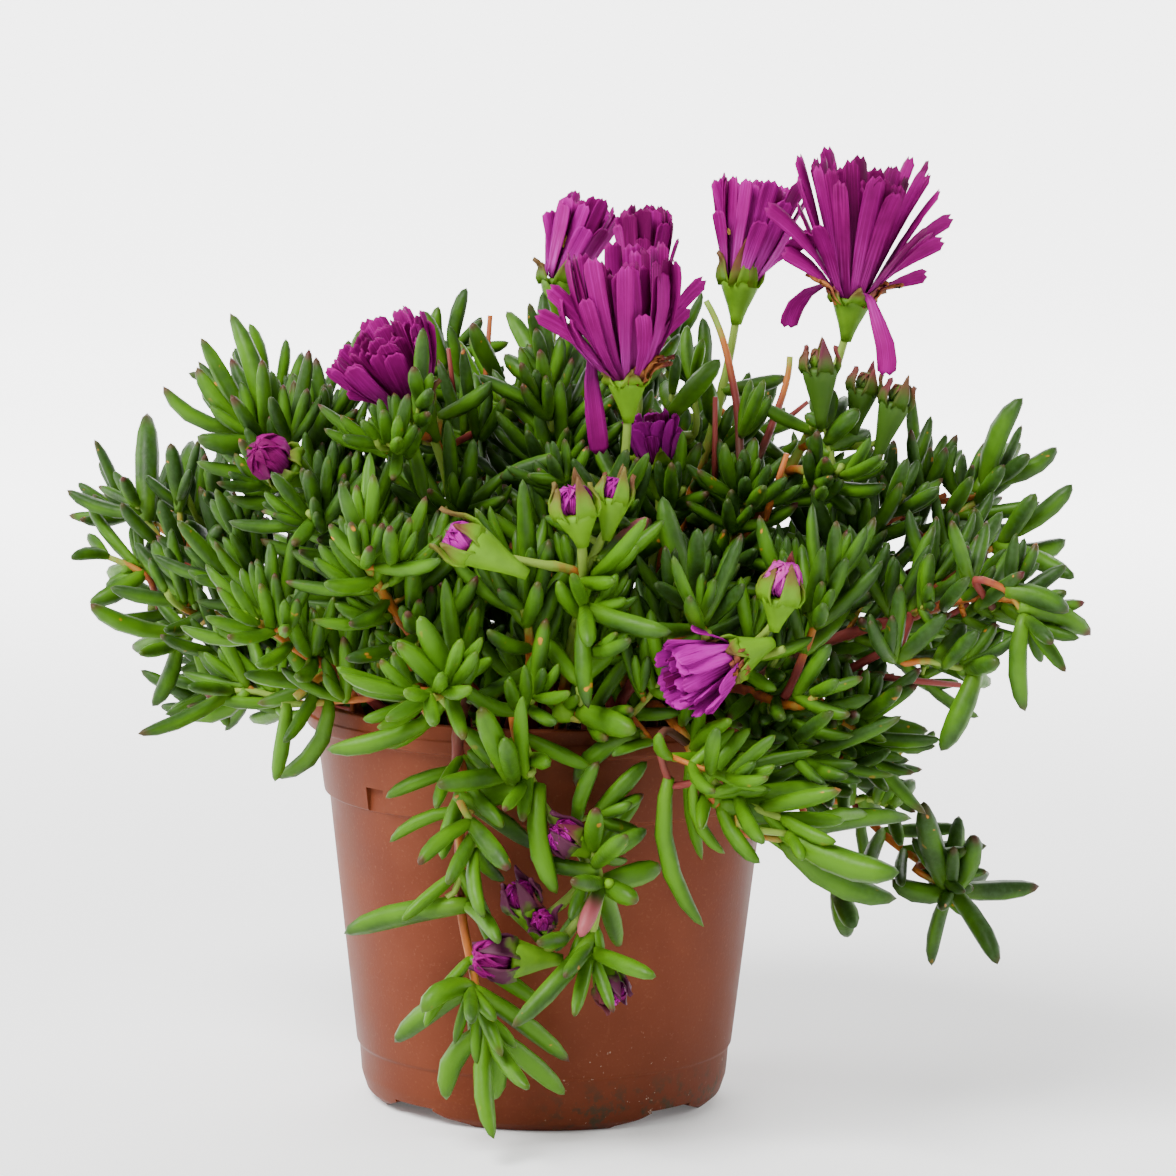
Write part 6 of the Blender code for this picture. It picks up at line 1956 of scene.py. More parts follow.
# How far sepals reach over the petals of a bud, and over the heart of a spent head
BUD_COVER = {"stem_ball_bud": 0.5, "flower_g": 1.05, "trailer_buds": 1.05}
SPENT_COVER = 0.95
# What shows between the sepals of a spent head: its slot, its tone and its share of the width
HEART_LOOKS = {
    "stem_bud_fork": (PETAL, 0.0, 0.72),
    "flower_e": (CUP, 0.1, 0.5),
    "trailer_buds": (PETAL, -0.3, 0.72),
}
# Small dark buds, as (stem, x, z, depth, heading, length, width, how their sepals are held)
SMALL_BUDS = (
    ("trailer_buds", 5.5, 56.5, -66, (-0.75, -0.25, 0.6), 6.5, 3.5, "bud"),
    ("trailer_buds", -0.5, 38.0, -67, (-0.2, -0.75, 0.55), 4.5, 2.4, "star"),
)
# How large the shut petals of each coloured bud are in their solid, and how light
SHUT_LOOKS = {"stem_ball_bud": (1.0, -0.3), "flower_g": (0.86, 0.6), "trailer_buds": (0.9, -0.1)}
YOUNG_BLOOMS = ("flower_g", "flower_h")
PALE_BUD = "flower_g"


def add_head(piece, shapes, name, kind, base, heading, size):
    """The cup and sepals of a head, with a bloom's dry flaps or a spent head's closed heart."""
    length, wide = size
    place = round(base[0])
    tint, key = HEAD_TINTS.get(name, {}).get(kind, USUAL_TINT), (name, kind, place)
    base = base + heading * HEAD_RISE.get(name, {}).get(place, 0.0)
    if kind == "bloom":
        add_cup(piece, base, heading, CUP_RADIUS, tint)
        reach = BLOOM_SEPAL * BLOOM_SEPALS.get(name, USUAL_SEPALS)
        add_sepals(piece, shapes.sepal, base, heading, CUP_RADIUS, reach, kind, tint, key)
        add_withered(piece, shapes.sepal, base, heading, name)
        return
    stretch = CUP_STRETCH.get(name, {}).get(place, 1.0)
    if kind == "bud":
        cup, cover = wide * 0.95, BUD_COVER[name]
    else:
        longer, wider = SPENT_SIZE.get(name, (1.0, 1.0))
        length, wide = length * longer, wide * wider
        cup, cover = wide, SPENT_COVER
    add_cup(piece, base, heading, cup, tint, stretch)
    add_sepals(piece, shapes.sepal, base, heading, wide, length * cover, kind, tint, key)
    if kind == "spent":
        slot, tone, share = HEART_LOOKS[name]
        start, heart = base - heading * 0.6, wide * share
        add_closed_petals(piece, shapes.petal, start, heading, length * 0.7, heart, slot, tone, key)


def add_ball_bud(piece, shapes, parts, spot, radius):
    """A round bud, still shut, on a thin stalk from the nearest stem."""
    foot = nearest_on_stems(parts, spot)
    add_stalk(piece, shapes.twig, foot, spot, 0.1, 0.5, CUP, (0.1, 0.8, 0.1))
    run = unit(spot - foot)
    ball = (spot - run * radius, run, vec(0, 0, 0.02), radius * 2.1, radius)
    points = bent_copy(shapes.finger, ball, 1.0, 1.0, 1.0)
    piece.add(points, shapes.finger.faces, CUP, (0.2, 0.75, 0.1))


def add_small_bud(piece, shapes, parts, spot, heading, length, wide, hold):
    """A dark bud in its cup, on a short stalk from the nearest stem."""
    key, foot = ("small bud", round(length * 10)), nearest_on_stems(parts, spot)
    end = spot - heading * 5.0
    add_stalk(piece, shapes.twig, foot, end, 0.1, 0.95, CUP, (0.1, 0.7, 0.1), 0.6)
    add_cup(piece, spot, heading, wide, (0.6, 0.9), 0.55)
    add_sepals(piece, shapes.sepal, spot, heading, wide, length, hold, (0.5, 1.5), key)
    start, size, heart = spot - heading * 0.5, length * 0.75, wide * 0.85
    add_closed_petals(piece, shapes.petal, start, heading, size, heart, PETAL, -0.3, key)


# Materials, each a small tree of nodes on object coordinates and the growth attribute


class Recipe:
    """A material's nodes in the making, with short ways to add the usual ones."""

    def __init__(self, name, roughness, gloss=0.3):
        self.made = bpy.data.materials.new(name)
        self.made.use_nodes = True
        self.tree = self.made.node_tree
        self.shader = self.tree.nodes["Principled BSDF"]
        self.shader.inputs["Roughness"].default_value = roughness
        self.shader.inputs["Specular IOR Level"].default_value = gloss
        self.place = self.add("ShaderNodeTexCoord").outputs["Object"]
        growth = self.add("ShaderNodeAttribute")
        growth.attribute_name = "growth"
        split = self.add("ShaderNodeSeparateColor", Color=growth.outputs["Color"])
        self.along, self.tone, self.third = split.outputs[:3]

    def add(self, kind, **wanted):
        """A node whose inputs hold what is wanted."""
        node = self.tree.nodes.new(kind)
        for name, value in wanted.items():
            self.feed(node.inputs[name.replace("_", " ")], value)
        return node

    def feed(self, socket, value):
        """Link a socket to another one, or set its value."""
        if isinstance(value, bpy.types.NodeSocket):
            self.tree.links.new(value, socket)
        elif isinstance(value, tuple) and len(value) == 3 and len(socket.default_value) == 4:
            socket.default_value = (*value, 1.0)
        else:
            socket.default_value = value

    def noise(self, scale, detail=3.0, roughness=0.55, place=None):
        """Clouds, with about this many of them in a metre."""
        node = self.add("ShaderNodeTexNoise", Scale=scale, Detail=detail, Roughness=roughness)
        self.feed(node.inputs["Vector"], place or self.place)
        return node.outputs[0]

    def drawn_out(self, share):
        """Object coordinates in which clouds are longer along z."""
        node = self.add("ShaderNodeMapping", Vector=self.place)
        node.inputs["Scale"].default_value = (1.0, 1.0, share)
        return node.outputs[0]

    def math(self, operation, a, b=0.5, c=0.5):
        """The result of a math node."""
        node = self.tree.nodes.new("ShaderNodeMath")
        node.operation = operation
        for socket, value in zip(node.inputs, (a, b, c)):
            self.feed(socket, value)
        return node.outputs[0]

    def smooth(self, value, low, high, to_low=0.0, to_high=1.0):
        """A value taken smoothly from one range to another."""
        node = self.tree.nodes.new("ShaderNodeMapRange")
        node.interpolation_type = "SMOOTHSTEP"
        for socket, given in zip(node.inputs, (value, low, high, to_low, to_high)):
            self.feed(socket, given)
        return node.outputs[0]

    def stirred(self, value, cloud, by):
        """A value that clouds push up and down."""
        return self.math("ADD", value, self.smooth(cloud, 0.3, 0.7, -by, by))

    def mix(self, factor, a, b):
        """One colour turned into another by a factor."""
        node = self.tree.nodes.new("ShaderNodeMix")
        node.data_type = "RGBA"
        for k, value in ((0, factor), (6, a), (7, b)):
            plain = k == 0 or isinstance(value, bpy.types.NodeSocket)
            self.feed(node.inputs[k], value if plain else tuple(value)[:3])
        return node.outputs[2]

    def over(self, base, paint, *shares):
        """A paint laid over a base colour, by the product of the shares."""
        share = shares[0]
        for more in shares[1:]:
            share = self.math("MULTIPLY", share, more)
        return self.mix(share, base, paint)

    def finish(self, colour, height, strength, distance):
        """The material with its colour and bumps."""
        self.feed(self.shader.inputs["Base Color"], colour)
        node = self.add("ShaderNodeBump", Strength=strength, Distance=distance, Height=height)
        self.feed(self.shader.inputs["Normal"], node.outputs[0])
        return self.made

    def rough(self, cloud, low, high):
        """Make some places rougher than others."""
        self.feed(self.shader.inputs["Roughness"], self.smooth(cloud, 0.3, 0.7, low, high))


def leaf_material(colours):
    """Waxy green, brighter on young leaves and as painted light, darker on old leaves and as
    painted shade, paler at the foot, with dark tips and specks.
    """
    leaf = Recipe("leaf_wax", 0.4, 0.16)
    blotch, fine = leaf.noise(140.0, 3.0), leaf.noise(900.0, 2.0)
    tone = leaf.stirred(leaf.tone, blotch, 0.16)
    # Dark to bright by tone: partly the leaves' age, partly painted shade and light
    green = leaf.mix(leaf.smooth(tone, 0.0, 1.0), colours.leaf_dark, colours.leaf_bright)
    green = leaf.over(green, colours.leaf_foot, leaf.smooth(leaf.along, 0.42, 0.02), 0.5)
    old, bloomy = leaf.smooth(leaf.tone, 0.8, 0.1), leaf.smooth(fine, 0.35, 0.75, 0.0, 0.2)
    green = leaf.over(green, colours.leaf_wax, old, bloomy)
    speck = leaf.smooth(leaf.noise(420.0, 1.0, 0.4), 0.72, 0.78)
    outer = leaf.smooth(leaf.along, 0.5, 0.85)
    green = leaf.over(green, colours.leaf_speck, speck, outer, leaf.third)
    edge = leaf.stirred(leaf.along, blotch, 0.06)
    green = leaf.over(green, colours.leaf_tip, leaf.smooth(edge, 0.88, 1.0), leaf.third)
    flush, middle = leaf.smooth(leaf.tone, -0.1, -0.5), leaf.smooth(leaf.along, 0.25, 0.6)
    green = leaf.over(green, colours.leaf_flush, flush, middle)
    leaf.rough(fine, 0.4, 0.52)
    relief = leaf.math("ADD", fine, leaf.math("MULTIPLY", blotch, 2.0))
    return leaf.finish(green, relief, 0.22, 0.0004)


def stem_material(colours):
    """Green at the tip, then orange-red, then purple-brown and woody towards the root."""
    stem = Recipe("stem_skin", 0.5, 0.15)
    grain = stem.noise(500.0, 3.0, 0.6, stem.drawn_out(0.35))
    age = stem.math("ADD", stem.along, stem.smooth(stem.third, 0.0, 1.0, -0.08, 0.22))
    age = stem.stirred(age, grain, 0.05)
    colour = stem.mix(stem.smooth(age, 0.14, 0.32), colours.stem_young, colours.stem_orange)
    colour = stem.mix(stem.smooth(age, 0.3, 0.55), colour, colours.stem_red)
    colour = stem.mix(stem.smooth(age, 0.6, 1.0), colour, colours.stem_old)
    return stem.finish(colour, grain, 0.3, 0.0004)


def cup_material(colours):
    """The green cups and sepals, brown or purple towards the sepals' tips."""
    cup = Recipe("cup_green", 0.5, 0.14)
    blotch = cup.noise(260.0, 3.0)
    tone = cup.stirred(cup.tone, blotch, 0.12)
    green = cup.mix(cup.smooth(tone, 0.0, 1.0), colours.cup_dark, colours.cup_bright)
    reach = cup.stirred(cup.along, blotch, 0.1)
    purple = cup.smooth(cup.third, 1.0, 1.3)
    tip = cup.mix(purple, colours.sepal_brown, colours.sepal_purple)
    green = cup.over(green, tip, cup.smooth(reach, 0.34, 0.86), cup.third)
    dry = cup.mix(cup.smooth(blotch, 0.35, 0.65), colours.withered, colours.sepal_brown)
    colour = cup.mix(cup.smooth(cup.tone, -0.3, -0.6), green, dry)
    return cup.finish(colour, blotch, 0.25, 0.0004)


def petal_material(colours, name, deep, light):
    """Silky petals with fine streaks along them, paler at the foot, and darker where the tone is
    low: dark petals and buds, and painted shade on the inner rows.
    """
    petal = Recipe(name, 0.6, 0.05)
    lines = petal.add("ShaderNodeCombineXYZ")
    counts = ((petal.third, 9.0), (petal.along, 1.6), (petal.tone, 40.0))
    for socket, (value, count) in zip(lines.inputs, counts):
        petal.feed(socket, petal.math("MULTIPLY", value, count))
    streak = petal.noise(1.0, 2.0, 0.5, lines.outputs[0])
    cloud = petal.noise(160.0, 2.0)
    share = petal.smooth(streak, 0.42, 0.75, 0.0, 0.55)
    share = petal.math("ADD", share, petal.smooth(petal.tone, 0.2, 1.0, 0.0, 0.5))
    share = petal.stirred(share, cloud, 0.14)
    # A low tone, from darker petals and from the painted shade of inner rows, mixes in the dark
    # petal colour
    share = petal.math("ADD", share, petal.smooth(petal.tone, 0.1, -0.5, 0.0, -0.7))
    colour = petal.mix(petal.smooth(share, -0.5, 0.2), colours.petal_dark_and_painted_shade, deep)
    colour = petal.mix(petal.smooth(share, 0.1, 1.0), colour, light)
    foot, between = petal.smooth(petal.along, 0.72, 0.1), petal.smooth(streak, 0.35, 0.62)
    young = petal.smooth(petal.tone, -0.2, 0.9, 0.15, 0.8)
    colour = petal.over(colour, colours.petal_foot, foot, between, young)
    petal.rough(streak, 0.5, 0.65)
    return petal.finish(colour, streak, 0.3, 0.0003)


def pollen_material(colours):
    """The pale grainy stamens."""
    pollen = Recipe("pollen", 0.8)
    grain = pollen.noise(2500.0, 2.0)
    pale = tuple(min(1.0, value * 1.5) for value in colours.pollen)
    colour = pollen.mix(pollen.smooth(grain, 0.3, 0.7), colours.pollen, pale)
    pollen.feed(pollen.shader.inputs["Base Color"], colour)
    return pollen.made


def pot_material(colours):
    """Moulded plastic: cloudy terracotta with rubbed marks, painted shade low down and towards its
    right, and stains low on its right.
    """
    pot = Recipe("terracotta_plastic_worn", 0.5, 0.07)
    cloud, grit = pot.noise(26.0, 4.0, 0.6), pot.noise(1400.0, 3.0, 0.6)
    x, y, z = pot.add("ShaderNodeSeparateXYZ", Vector=pot.place).outputs[:3]
    colour = pot.mix(pot.smooth(cloud, 0.35, 0.7), colours.pot_deep, colours.pot_warm)
    colour = pot.over(colour, colours.pot_pale, pot.smooth(grit, 0.55, 0.8, 0.0, 0.22))
    # Painted shade: darker towards the bottom, and more so towards the right, away from the key
    # light
    right = pot.smooth(x, -0.02, 0.035, 0.15, 0.55)
    colour = pot.over(colour, colours.pot_painted_shade, pot.smooth(z, 0.05, 0.0), right)
    streak = pot.noise(60.0, 4.0, 0.65, pot.drawn_out(0.22))
    rub, patchy = pot.smooth(streak, 0.66, 0.78), pot.smooth(grit, 0.4, 0.6, 0.1, 0.5)
    colour = pot.over(colour, colours.pot_pale, rub, patchy)
    low, side = pot.smooth(z, 0.0145, 0.003), pot.smooth(x, -0.006, 0.012)
    front = pot.smooth(y, 0.012, -0.01, 0.25, 1.0)
    spots = pot.smooth(pot.noise(330.0, 5.0, 0.7), 0.48, 0.62, 0.0, 0.85)
    colour = pot.over(colour, colours.pot_stain, low, side, front, spots)
    dust, lower = pot.smooth(pot.noise(700.0, 4.0, 0.7), 0.66, 0.72), pot.smooth(z, 0.026, 0.008)
    colour = pot.over(colour, colours.pot_dust, dust, lower, side)
    pot.rough(cloud, 0.4, 0.55)
    relief = pot.math("ADD", grit, pot.math("MULTIPLY", streak, 1.5))
    return pot.finish(colour, relief, 0.12, 0.0003)


def soil_material(colours):
    """Dark crumbly mix with fibres and pale grains."""
    soil = Recipe("potting_mix", 0.95)
    lumps, grain = soil.noise(260.0, 5.0, 0.65), soil.noise(1600.0, 3.0, 0.6)
    colour = soil.mix(soil.smooth(lumps, 0.35, 0.7), colours.soil_dark, colours.soil_brown)
    colour = soil.over(colour, colours.soil_grain, soil.smooth(grain, 0.66, 0.72), 0.6)
    relief = soil.math("ADD", lumps, soil.math("MULTIPLY", grain, 0.4))
    return soil.finish(colour, relief, 0.8, 0.0015)


def floor_material(pale, glow):
    """A pale floor that shines by itself away from the plant."""
    paint = Recipe("pale_floor", 0.8)
    grain = paint.noise(3.0, 2.0)
    colour = paint.mix(paint.smooth(grain, 0.3, 0.7, 0.0, 0.04), pale, (0.85, 0.85, 0.86))
    paint.feed(paint.shader.inputs["Base Color"], colour)
    x, y = paint.add("ShaderNodeSeparateXYZ", Vector=paint.place).outputs[:2]
    away = paint.add("ShaderNodeVectorMath")
    away.operation = "LENGTH"
    paint.feed(away.inputs[0], paint.add("ShaderNodeCombineXYZ", X=x, Y=y).outputs[0])
    shine = paint.smooth(away.outputs["Value"], 0.15, 1.4, 0.12, glow)
    paint.feed(paint.shader.inputs["Emission Color"], (1.0, 1.0, 1.0))
    paint.feed(paint.shader.inputs["Emission Strength"], shine)
    return paint.made


# The pot and the soil

# How near a point has to be to a height or a radius, in metres, to be taken as lying on it
NEAR = 1e-6


def pot_profile():
    """The pot's half section: from the axis inside, over the rim and back to it underneath."""
    lip_foot = POT_HEIGHT - LIP_HEIGHT
    inner_low = FOOT_RADIUS + 0.4
    low_radius = WALL_LOW_RADIUS - BASE_STEP_IN
    return [
        (0, FLOOR_TOP_Z),
        (inner_low, FLOOR_TOP_Z),
        (WALL_TOP_RADIUS - WALL, INNER_STEP_Z),
        (BAND_TOP_RADIUS - WALL, INNER_STEP_Z + 2.0),
        (BAND_TOP_RADIUS - WALL + 0.8, POT_HEIGHT),
        (LIP_RADIUS - LIP_STEP_IN, POT_HEIGHT),
        (LIP_RADIUS - LIP_STEP_IN, POT_HEIGHT - LIP_STEP_DOWN),
        (LIP_RADIUS, POT_HEIGHT - LIP_STEP_DOWN - 0.3),
        (LIP_RADIUS - 0.2, lip_foot),
        (BAND_TOP_RADIUS, lip_foot - 0.4),
        (BAND_FOOT_RADIUS, BAND_FOOT_Z),
        (WALL_TOP_RADIUS, BAND_FOOT_Z - 0.3),
        (WALL_LOW_RADIUS, WALL_LOW_Z),
        (low_radius, WALL_LOW_Z - 0.7),
        (low_radius - 0.5, 5.6),
        (FOOT_RADIUS + 1.3, 1.9),
        (FOOT_RADIUS - 0.9, 0),
        (FOOT_RADIUS - FOOT_WIDTH, 0),
        (FOOT_RADIUS - FOOT_WIDTH - 0.4, FLOOR_UNDER_Z),
        (0, FLOOR_UNDER_Z),
    ]


def rounded(corners, radius):
    """The same outline with each corner eased by a short curve."""
    found = [corners[0]]
    for before, corner, after in zip(corners, corners[1:], corners[2:]):
        here, back, ahead = vec(*corner), vec(*before) - vec(*corner), vec(*after) - vec(*corner)
        ease = min(radius, 0.42 * np.linalg.norm(back), 0.42 * np.linalg.norm(ahead))
        first, last = here + unit(back) * ease, here + unit(ahead) * ease
        for t in (0.0, 0.35, 0.65, 1.0):
            found.append(tuple((1 - t) ** 2 * first + 2 * t * (1 - t) * here + t * t * last))
    return found + [corners[-1]]


def extrude(move):
    """Draw the selection out by a move."""
    bpy.ops.mesh.extrude_region_move(TRANSFORM_OT_translate={"value": move})


def turned_body(name, outline, sides):
    """A closed round body: a circle drawn out ring by ring along the outline."""
    deselect_all()
    radius, z = outline[1]
    bpy.ops.mesh.primitive_circle_add(
        vertices=sides, radius=radius * MM, fill_type="NOTHING", location=(0, 0, z * MM)
    )
    body = bpy.context.object
    body.name = name
    bpy.ops.object.transform_apply(location=True, rotation=False, scale=False)
    bpy.ops.object.mode_set(mode="EDIT")
    bpy.ops.mesh.select_all(action="SELECT")
    for radius_now, z_now in outline[2:-1]:
        extrude((0, 0, (z_now - z) * MM))
        share = radius_now / radius
        bpy.ops.transform.resize(value=(share, share, 1), center_override=(0, 0, z_now * MM))
        radius, z = radius_now, z_now
    for ring_radius, ring_z in (outline[1], outline[-2]):
        select_where(
            lambda co: abs(co.z - ring_z * MM) < NEAR
            and abs(math.hypot(co.x, co.y) - ring_radius * MM) < NEAR
        )
        bpy.ops.mesh.edge_face_add()
        bpy.ops.mesh.inset(thickness=ring_radius * 0.5 * MM)
        bpy.ops.mesh.poke()
    bpy.ops.mesh.select_all(action="SELECT")
    bpy.ops.mesh.normals_make_consistent(inside=False)
    deselect_all()
    return body


def box_cutter(x, low, high, deep, wide):
    """A box across the x axis, left in edit mode."""
    deselect_all()
    bpy.ops.mesh.primitive_cube_add(size=1, location=(x * MM, 0, (low + high) / 2 * MM))
    bpy.ops.transform.resize(value=(deep * MM, wide * MM, (high - low) * MM))
    bpy.ops.object.transform_apply(location=True, rotation=False, scale=True)
    bpy.ops.object.mode_set(mode="EDIT")
    return bpy.context.object


def turned(cutter, degrees):
    """A cutter out of edit mode and turned round the pot's axis."""
    bpy.ops.object.mode_set(mode="OBJECT")
    cutter.data.transform(Matrix.Rotation(math.radians(degrees), 4, "Z"))
    return cutter


# How far the arches and notches are cut past the pot's skin, and how wide an arch is up its height
ARCH_LOW = -0.8
ARCH_DEEP = 14
ARCH_SHARES = ((0.2, 0.93), (0.5, 0.66), (0.85, 0.48))
ARCH_FOOT_SHARE = 1.12
KEY_DEEP = 8
KEY_SLOPE = 1.6
KEY_SKIN = 0.35
DRAIN_DEEP = 12
SHELL_SOFTNESS = 0.55
SMOOTH_BELOW_DEG = 34


def arch_cutter(k):
    """A low drainage arch between two feet, with soft shoulders."""
    half, flat = (
        FOOT_RADIUS * math.sin(math.radians(degrees / 2))
        for degrees in (FOOT_NOTCH_FLOOR_DEG, FOOT_NOTCH_FLAT_DEG)
    )
    cutter = box_cutter(FOOT_RADIUS, ARCH_LOW, FOOT_NOTCH_HEIGHT, ARCH_DEEP, 2 * half)
    for share, wide in ((0.0, ARCH_FOOT_SHARE), *ARCH_SHARES, (1.0, flat / half)):
        z = max(ARCH_LOW, FOOT_NOTCH_HEIGHT * share) if share else ARCH_LOW
        if 0 < share < 1:
            cut_across((z * MM,), (0, 0, 1))
        select_where(lambda co: abs(co.z - z * MM) < NEAR)
        bpy.ops.transform.resize(value=(1, wide, 1), center_override=(FOOT_RADIUS * MM, 0, z * MM))
    return turned(cutter, 45 + 90 * k)


def key_cutter(k):
    """The stacking notch in the band's lower edge, sharp at one end and sloped at the other."""
    near = WALL_TOP_RADIUS + KEY_SKIN
    low, high = BAND_FOOT_Z - 1, BAND_FOOT_Z + KEY_NOTCH_HEIGHT
    cutter = box_cutter(near + KEY_DEEP / 2, low, high, KEY_DEEP, KEY_NOTCH_WIDTH)
    select_where(lambda co: co.x < near * MM + NEAR and co.y > 0)
    bpy.ops.transform.translate(value=(0, -KEY_SLOPE * MM, 0))
    return turned(cutter, KEY_NOTCH_TURN_DEG + 90 * k)


def drain_cutter(k):
    """One of the four round holes in the floor."""
    deselect_all()
    angle = math.radians(90 * k)
    x, y = DRAIN_RING_RADIUS * math.cos(angle) * MM, DRAIN_RING_RADIUS * math.sin(angle) * MM
    place = (x, y, FLOOR_TOP_Z * MM)
    bpy.ops.mesh.primitive_cylinder_add(
        vertices=32, radius=DRAIN_RADIUS * MM, depth=DRAIN_DEEP * MM, location=place
    )
    bpy.ops.object.transform_apply(location=True, rotation=False, scale=False)
    return bpy.context.object


def cut_by(body, cutters):
    """Subtract the cutters from the body, then remove them."""
    deselect_all()
    bpy.context.view_layer.objects.active = body
    for cutter in cutters:
        cut = body.modifiers.new("Cut", "BOOLEAN")
        cut.operation = "DIFFERENCE"
        cut.solver = "EXACT"
        cut.object = cutter
        bpy.ops.object.modifier_apply(modifier=cut.name)
        bpy.data.objects.remove(cutter)


# What a user would change


def length_property(name, description, default):
    """A size, which the panel shows as a length."""
    return bpy.props.FloatProperty(
        name=name, description=description, default=default, min=0.0, unit="LENGTH"
    )


def power_property(name, description, default):
    """How strong a light is."""
    return bpy.props.FloatProperty(
        name=name, description=description, default=default, min=0.0, unit="POWER"
    )


def angle_property(name, description, degrees):
    """An angle, given in degrees."""
    return bpy.props.FloatProperty(
        name=name, description=description, default=math.radians(degrees), subtype="ANGLE"
    )


def colour_property(name, description, default):
    """A linear colour."""
    return bpy.props.FloatVectorProperty(
        name=name,
        description=description,
        default=default,
        size=3,
        subtype="COLOR",
        min=0.0,
        max=1.0,
    )


class IcePlantSizes(bpy.types.PropertyGroup):
    """How fine and how large the pot, soil and floor are"""

    pot_segments: bpy.props.IntProperty(
        name="Pot segments", description="How many sides the turned pot has", default=144, min=24
    )
    soil_relief: length_property("Soil relief", "How far the soil's lumps rise and fall", 0.0016)
    crumbs: bpy.props.IntProperty(
        name="Crumbs", description="Loose crumbs on the soil", default=160, min=0
    )
    floor_reach: length_property("Floor reach", "How far the floor goes each way", 2.4)


class IcePlantColours(bpy.types.PropertyGroup):
    """The colours of the plant, the pot, the soil and the floor"""

    # The old and young leaf colours also carry painted shade and light through each shoot's tone
    leaf_dark: colour_property("Old leaf", "Leaves of old and shaded shoots", (0.016, 0.044, 0.004))
    leaf_bright: colour_property("Young leaf", "Leaves of young shoots", (0.06, 0.165, 0.003))
    leaf_foot: colour_property("Leaf foot", "Where a leaf joins its stem", (0.095, 0.22, 0.006))
    leaf_wax: colour_property("Wax", "The bluish bloom on older leaves", (0.06, 0.13, 0.045))
    leaf_flush: colour_property("Flushed leaf", "The pink of a few leaves", (0.26, 0.06, 0.07))
    leaf_tip: colour_property("Leaf tip", "The purple-brown of a tipped leaf", (0.06, 0.01, 0.012))
    leaf_speck: colour_property("Leaf speck", "The orange specks near a tip", (0.6, 0.2, 0.02))
    stem_young: colour_property("Young stem", "A stem near its tip", (0.17, 0.26, 0.035))
    stem_orange: colour_property("Orange stem", "A stem a little further back", (0.34, 0.1, 0.016))
    stem_red: colour_property("Red stem", "The middle of a stem", (0.17, 0.028, 0.024))
    stem_old: colour_property("Old stem", "A stem near its root", (0.085, 0.036, 0.022))
    cup_dark: colour_property("Old cup", "The cups of spent heads", (0.032, 0.078, 0.006))
    cup_bright: colour_property("Young cup", "The cups of open blooms", (0.12, 0.27, 0.008))
    sepal_brown: colour_property("Sepal tip", "The brown of the sepals", (0.11, 0.02, 0.02))
    sepal_purple: colour_property("Purple sepal", "Sepals of the trailing buds", (0.06, 0.01, 0.03))
    petal_deep: colour_property("Deep petal", "The petals' main colour", (0.185, 0.0002, 0.105))
    petal_light: colour_property("Light petal", "The petals' streaks", (0.31, 0.002, 0.215))
    petal_foot: colour_property("Petal foot", "The petals near the cup", (0.42, 0.05, 0.35))
    # Dark petals and buds, and painted shade on the inner rows of a bloom
    petal_dark_and_painted_shade: colour_property("Dark petal", "The petals deep in a bloom", (0.095, 0.0001, 0.048))
    withered: colour_property("Withered sepal", "The dry sepals of open blooms", (0.33, 0.12, 0.03))
    bud_pink: colour_property("Bud", "The pale petals of shut buds", (0.56, 0.1, 0.3))
    petal_bright: colour_property("Bright petal", "The youngest blooms", (0.33, 0.0006, 0.25))
    pollen: colour_property("Stamen", "The stamens in the bloom's middle", (0.62, 0.42, 0.08))
    pot_warm: colour_property("Pot", "The pot's plastic", (0.134, 0.033, 0.014))
    pot_deep: colour_property("Pot, deep", "The clouds in the plastic", (0.104, 0.022, 0.008))
    pot_pale: colour_property("Pot, rubbed", "Rubbed marks on the plastic", (0.3, 0.12, 0.065))
    # Painted shade laid over the pot low down, stronger towards its right
    pot_painted_shade: colour_property("Pot, low", "The darker plastic near the foot", (0.06, 0.014, 0.005))
    pot_stain: colour_property("Stain", "Green-black stains near the foot", (0.03, 0.028, 0.016))
    pot_dust: colour_property("Dust", "The pale grey marks above the stains", (0.36, 0.28, 0.21))
    soil_dark: colour_property("Soil, dark", "Wet potting mix", (0.014, 0.009, 0.006))
    soil_brown: colour_property("Soil, brown", "Dry potting mix", (0.06, 0.036, 0.022))
    soil_grain: colour_property("Soil grain", "Pale grains in the mix", (0.3, 0.25, 0.19))
    floor: colour_property("Floor", "The pale floor and backdrop", (0.9, 0.9, 0.9))


class IcePlantStage(bpy.types.PropertyGroup):
    """The lights and the camera"""

    key_power: power_property("Key light", "Power of the light from the upper left", 76.0)
    fill_power: power_property("Fill light", "Power of the light from the right", 8.5)
    back_power: power_property("Back light", "Power of the light from behind", 22.0)
    side_power: power_property("Side lights", "Power of the lights at both sides", 22.0)
    sky_strength: bpy.props.FloatProperty(
        name="Sky", description="Strength of the even light all round", default=0.13, min=0.0
    )
    floor_glow: bpy.props.FloatProperty(
        name="Floor glow", description="How bright the backdrop is by itself", default=3.4, min=0.0
    )
    camera_place: bpy.props.FloatVectorProperty(
        name="Camera",
        description="Where the camera stands",
        default=(0.0086, -0.950, 0.226),
        subtype="TRANSLATION",
    )
    camera_tilt: angle_property("Camera tilt", "How far the camera looks down", 6.8)
    camera_roll: angle_property("Camera roll", "How far the camera leans", 0.65)
    lens: bpy.props.FloatProperty(
        name="Lens", description="Focal length in millimetres", default=133.6, min=10.0
    )


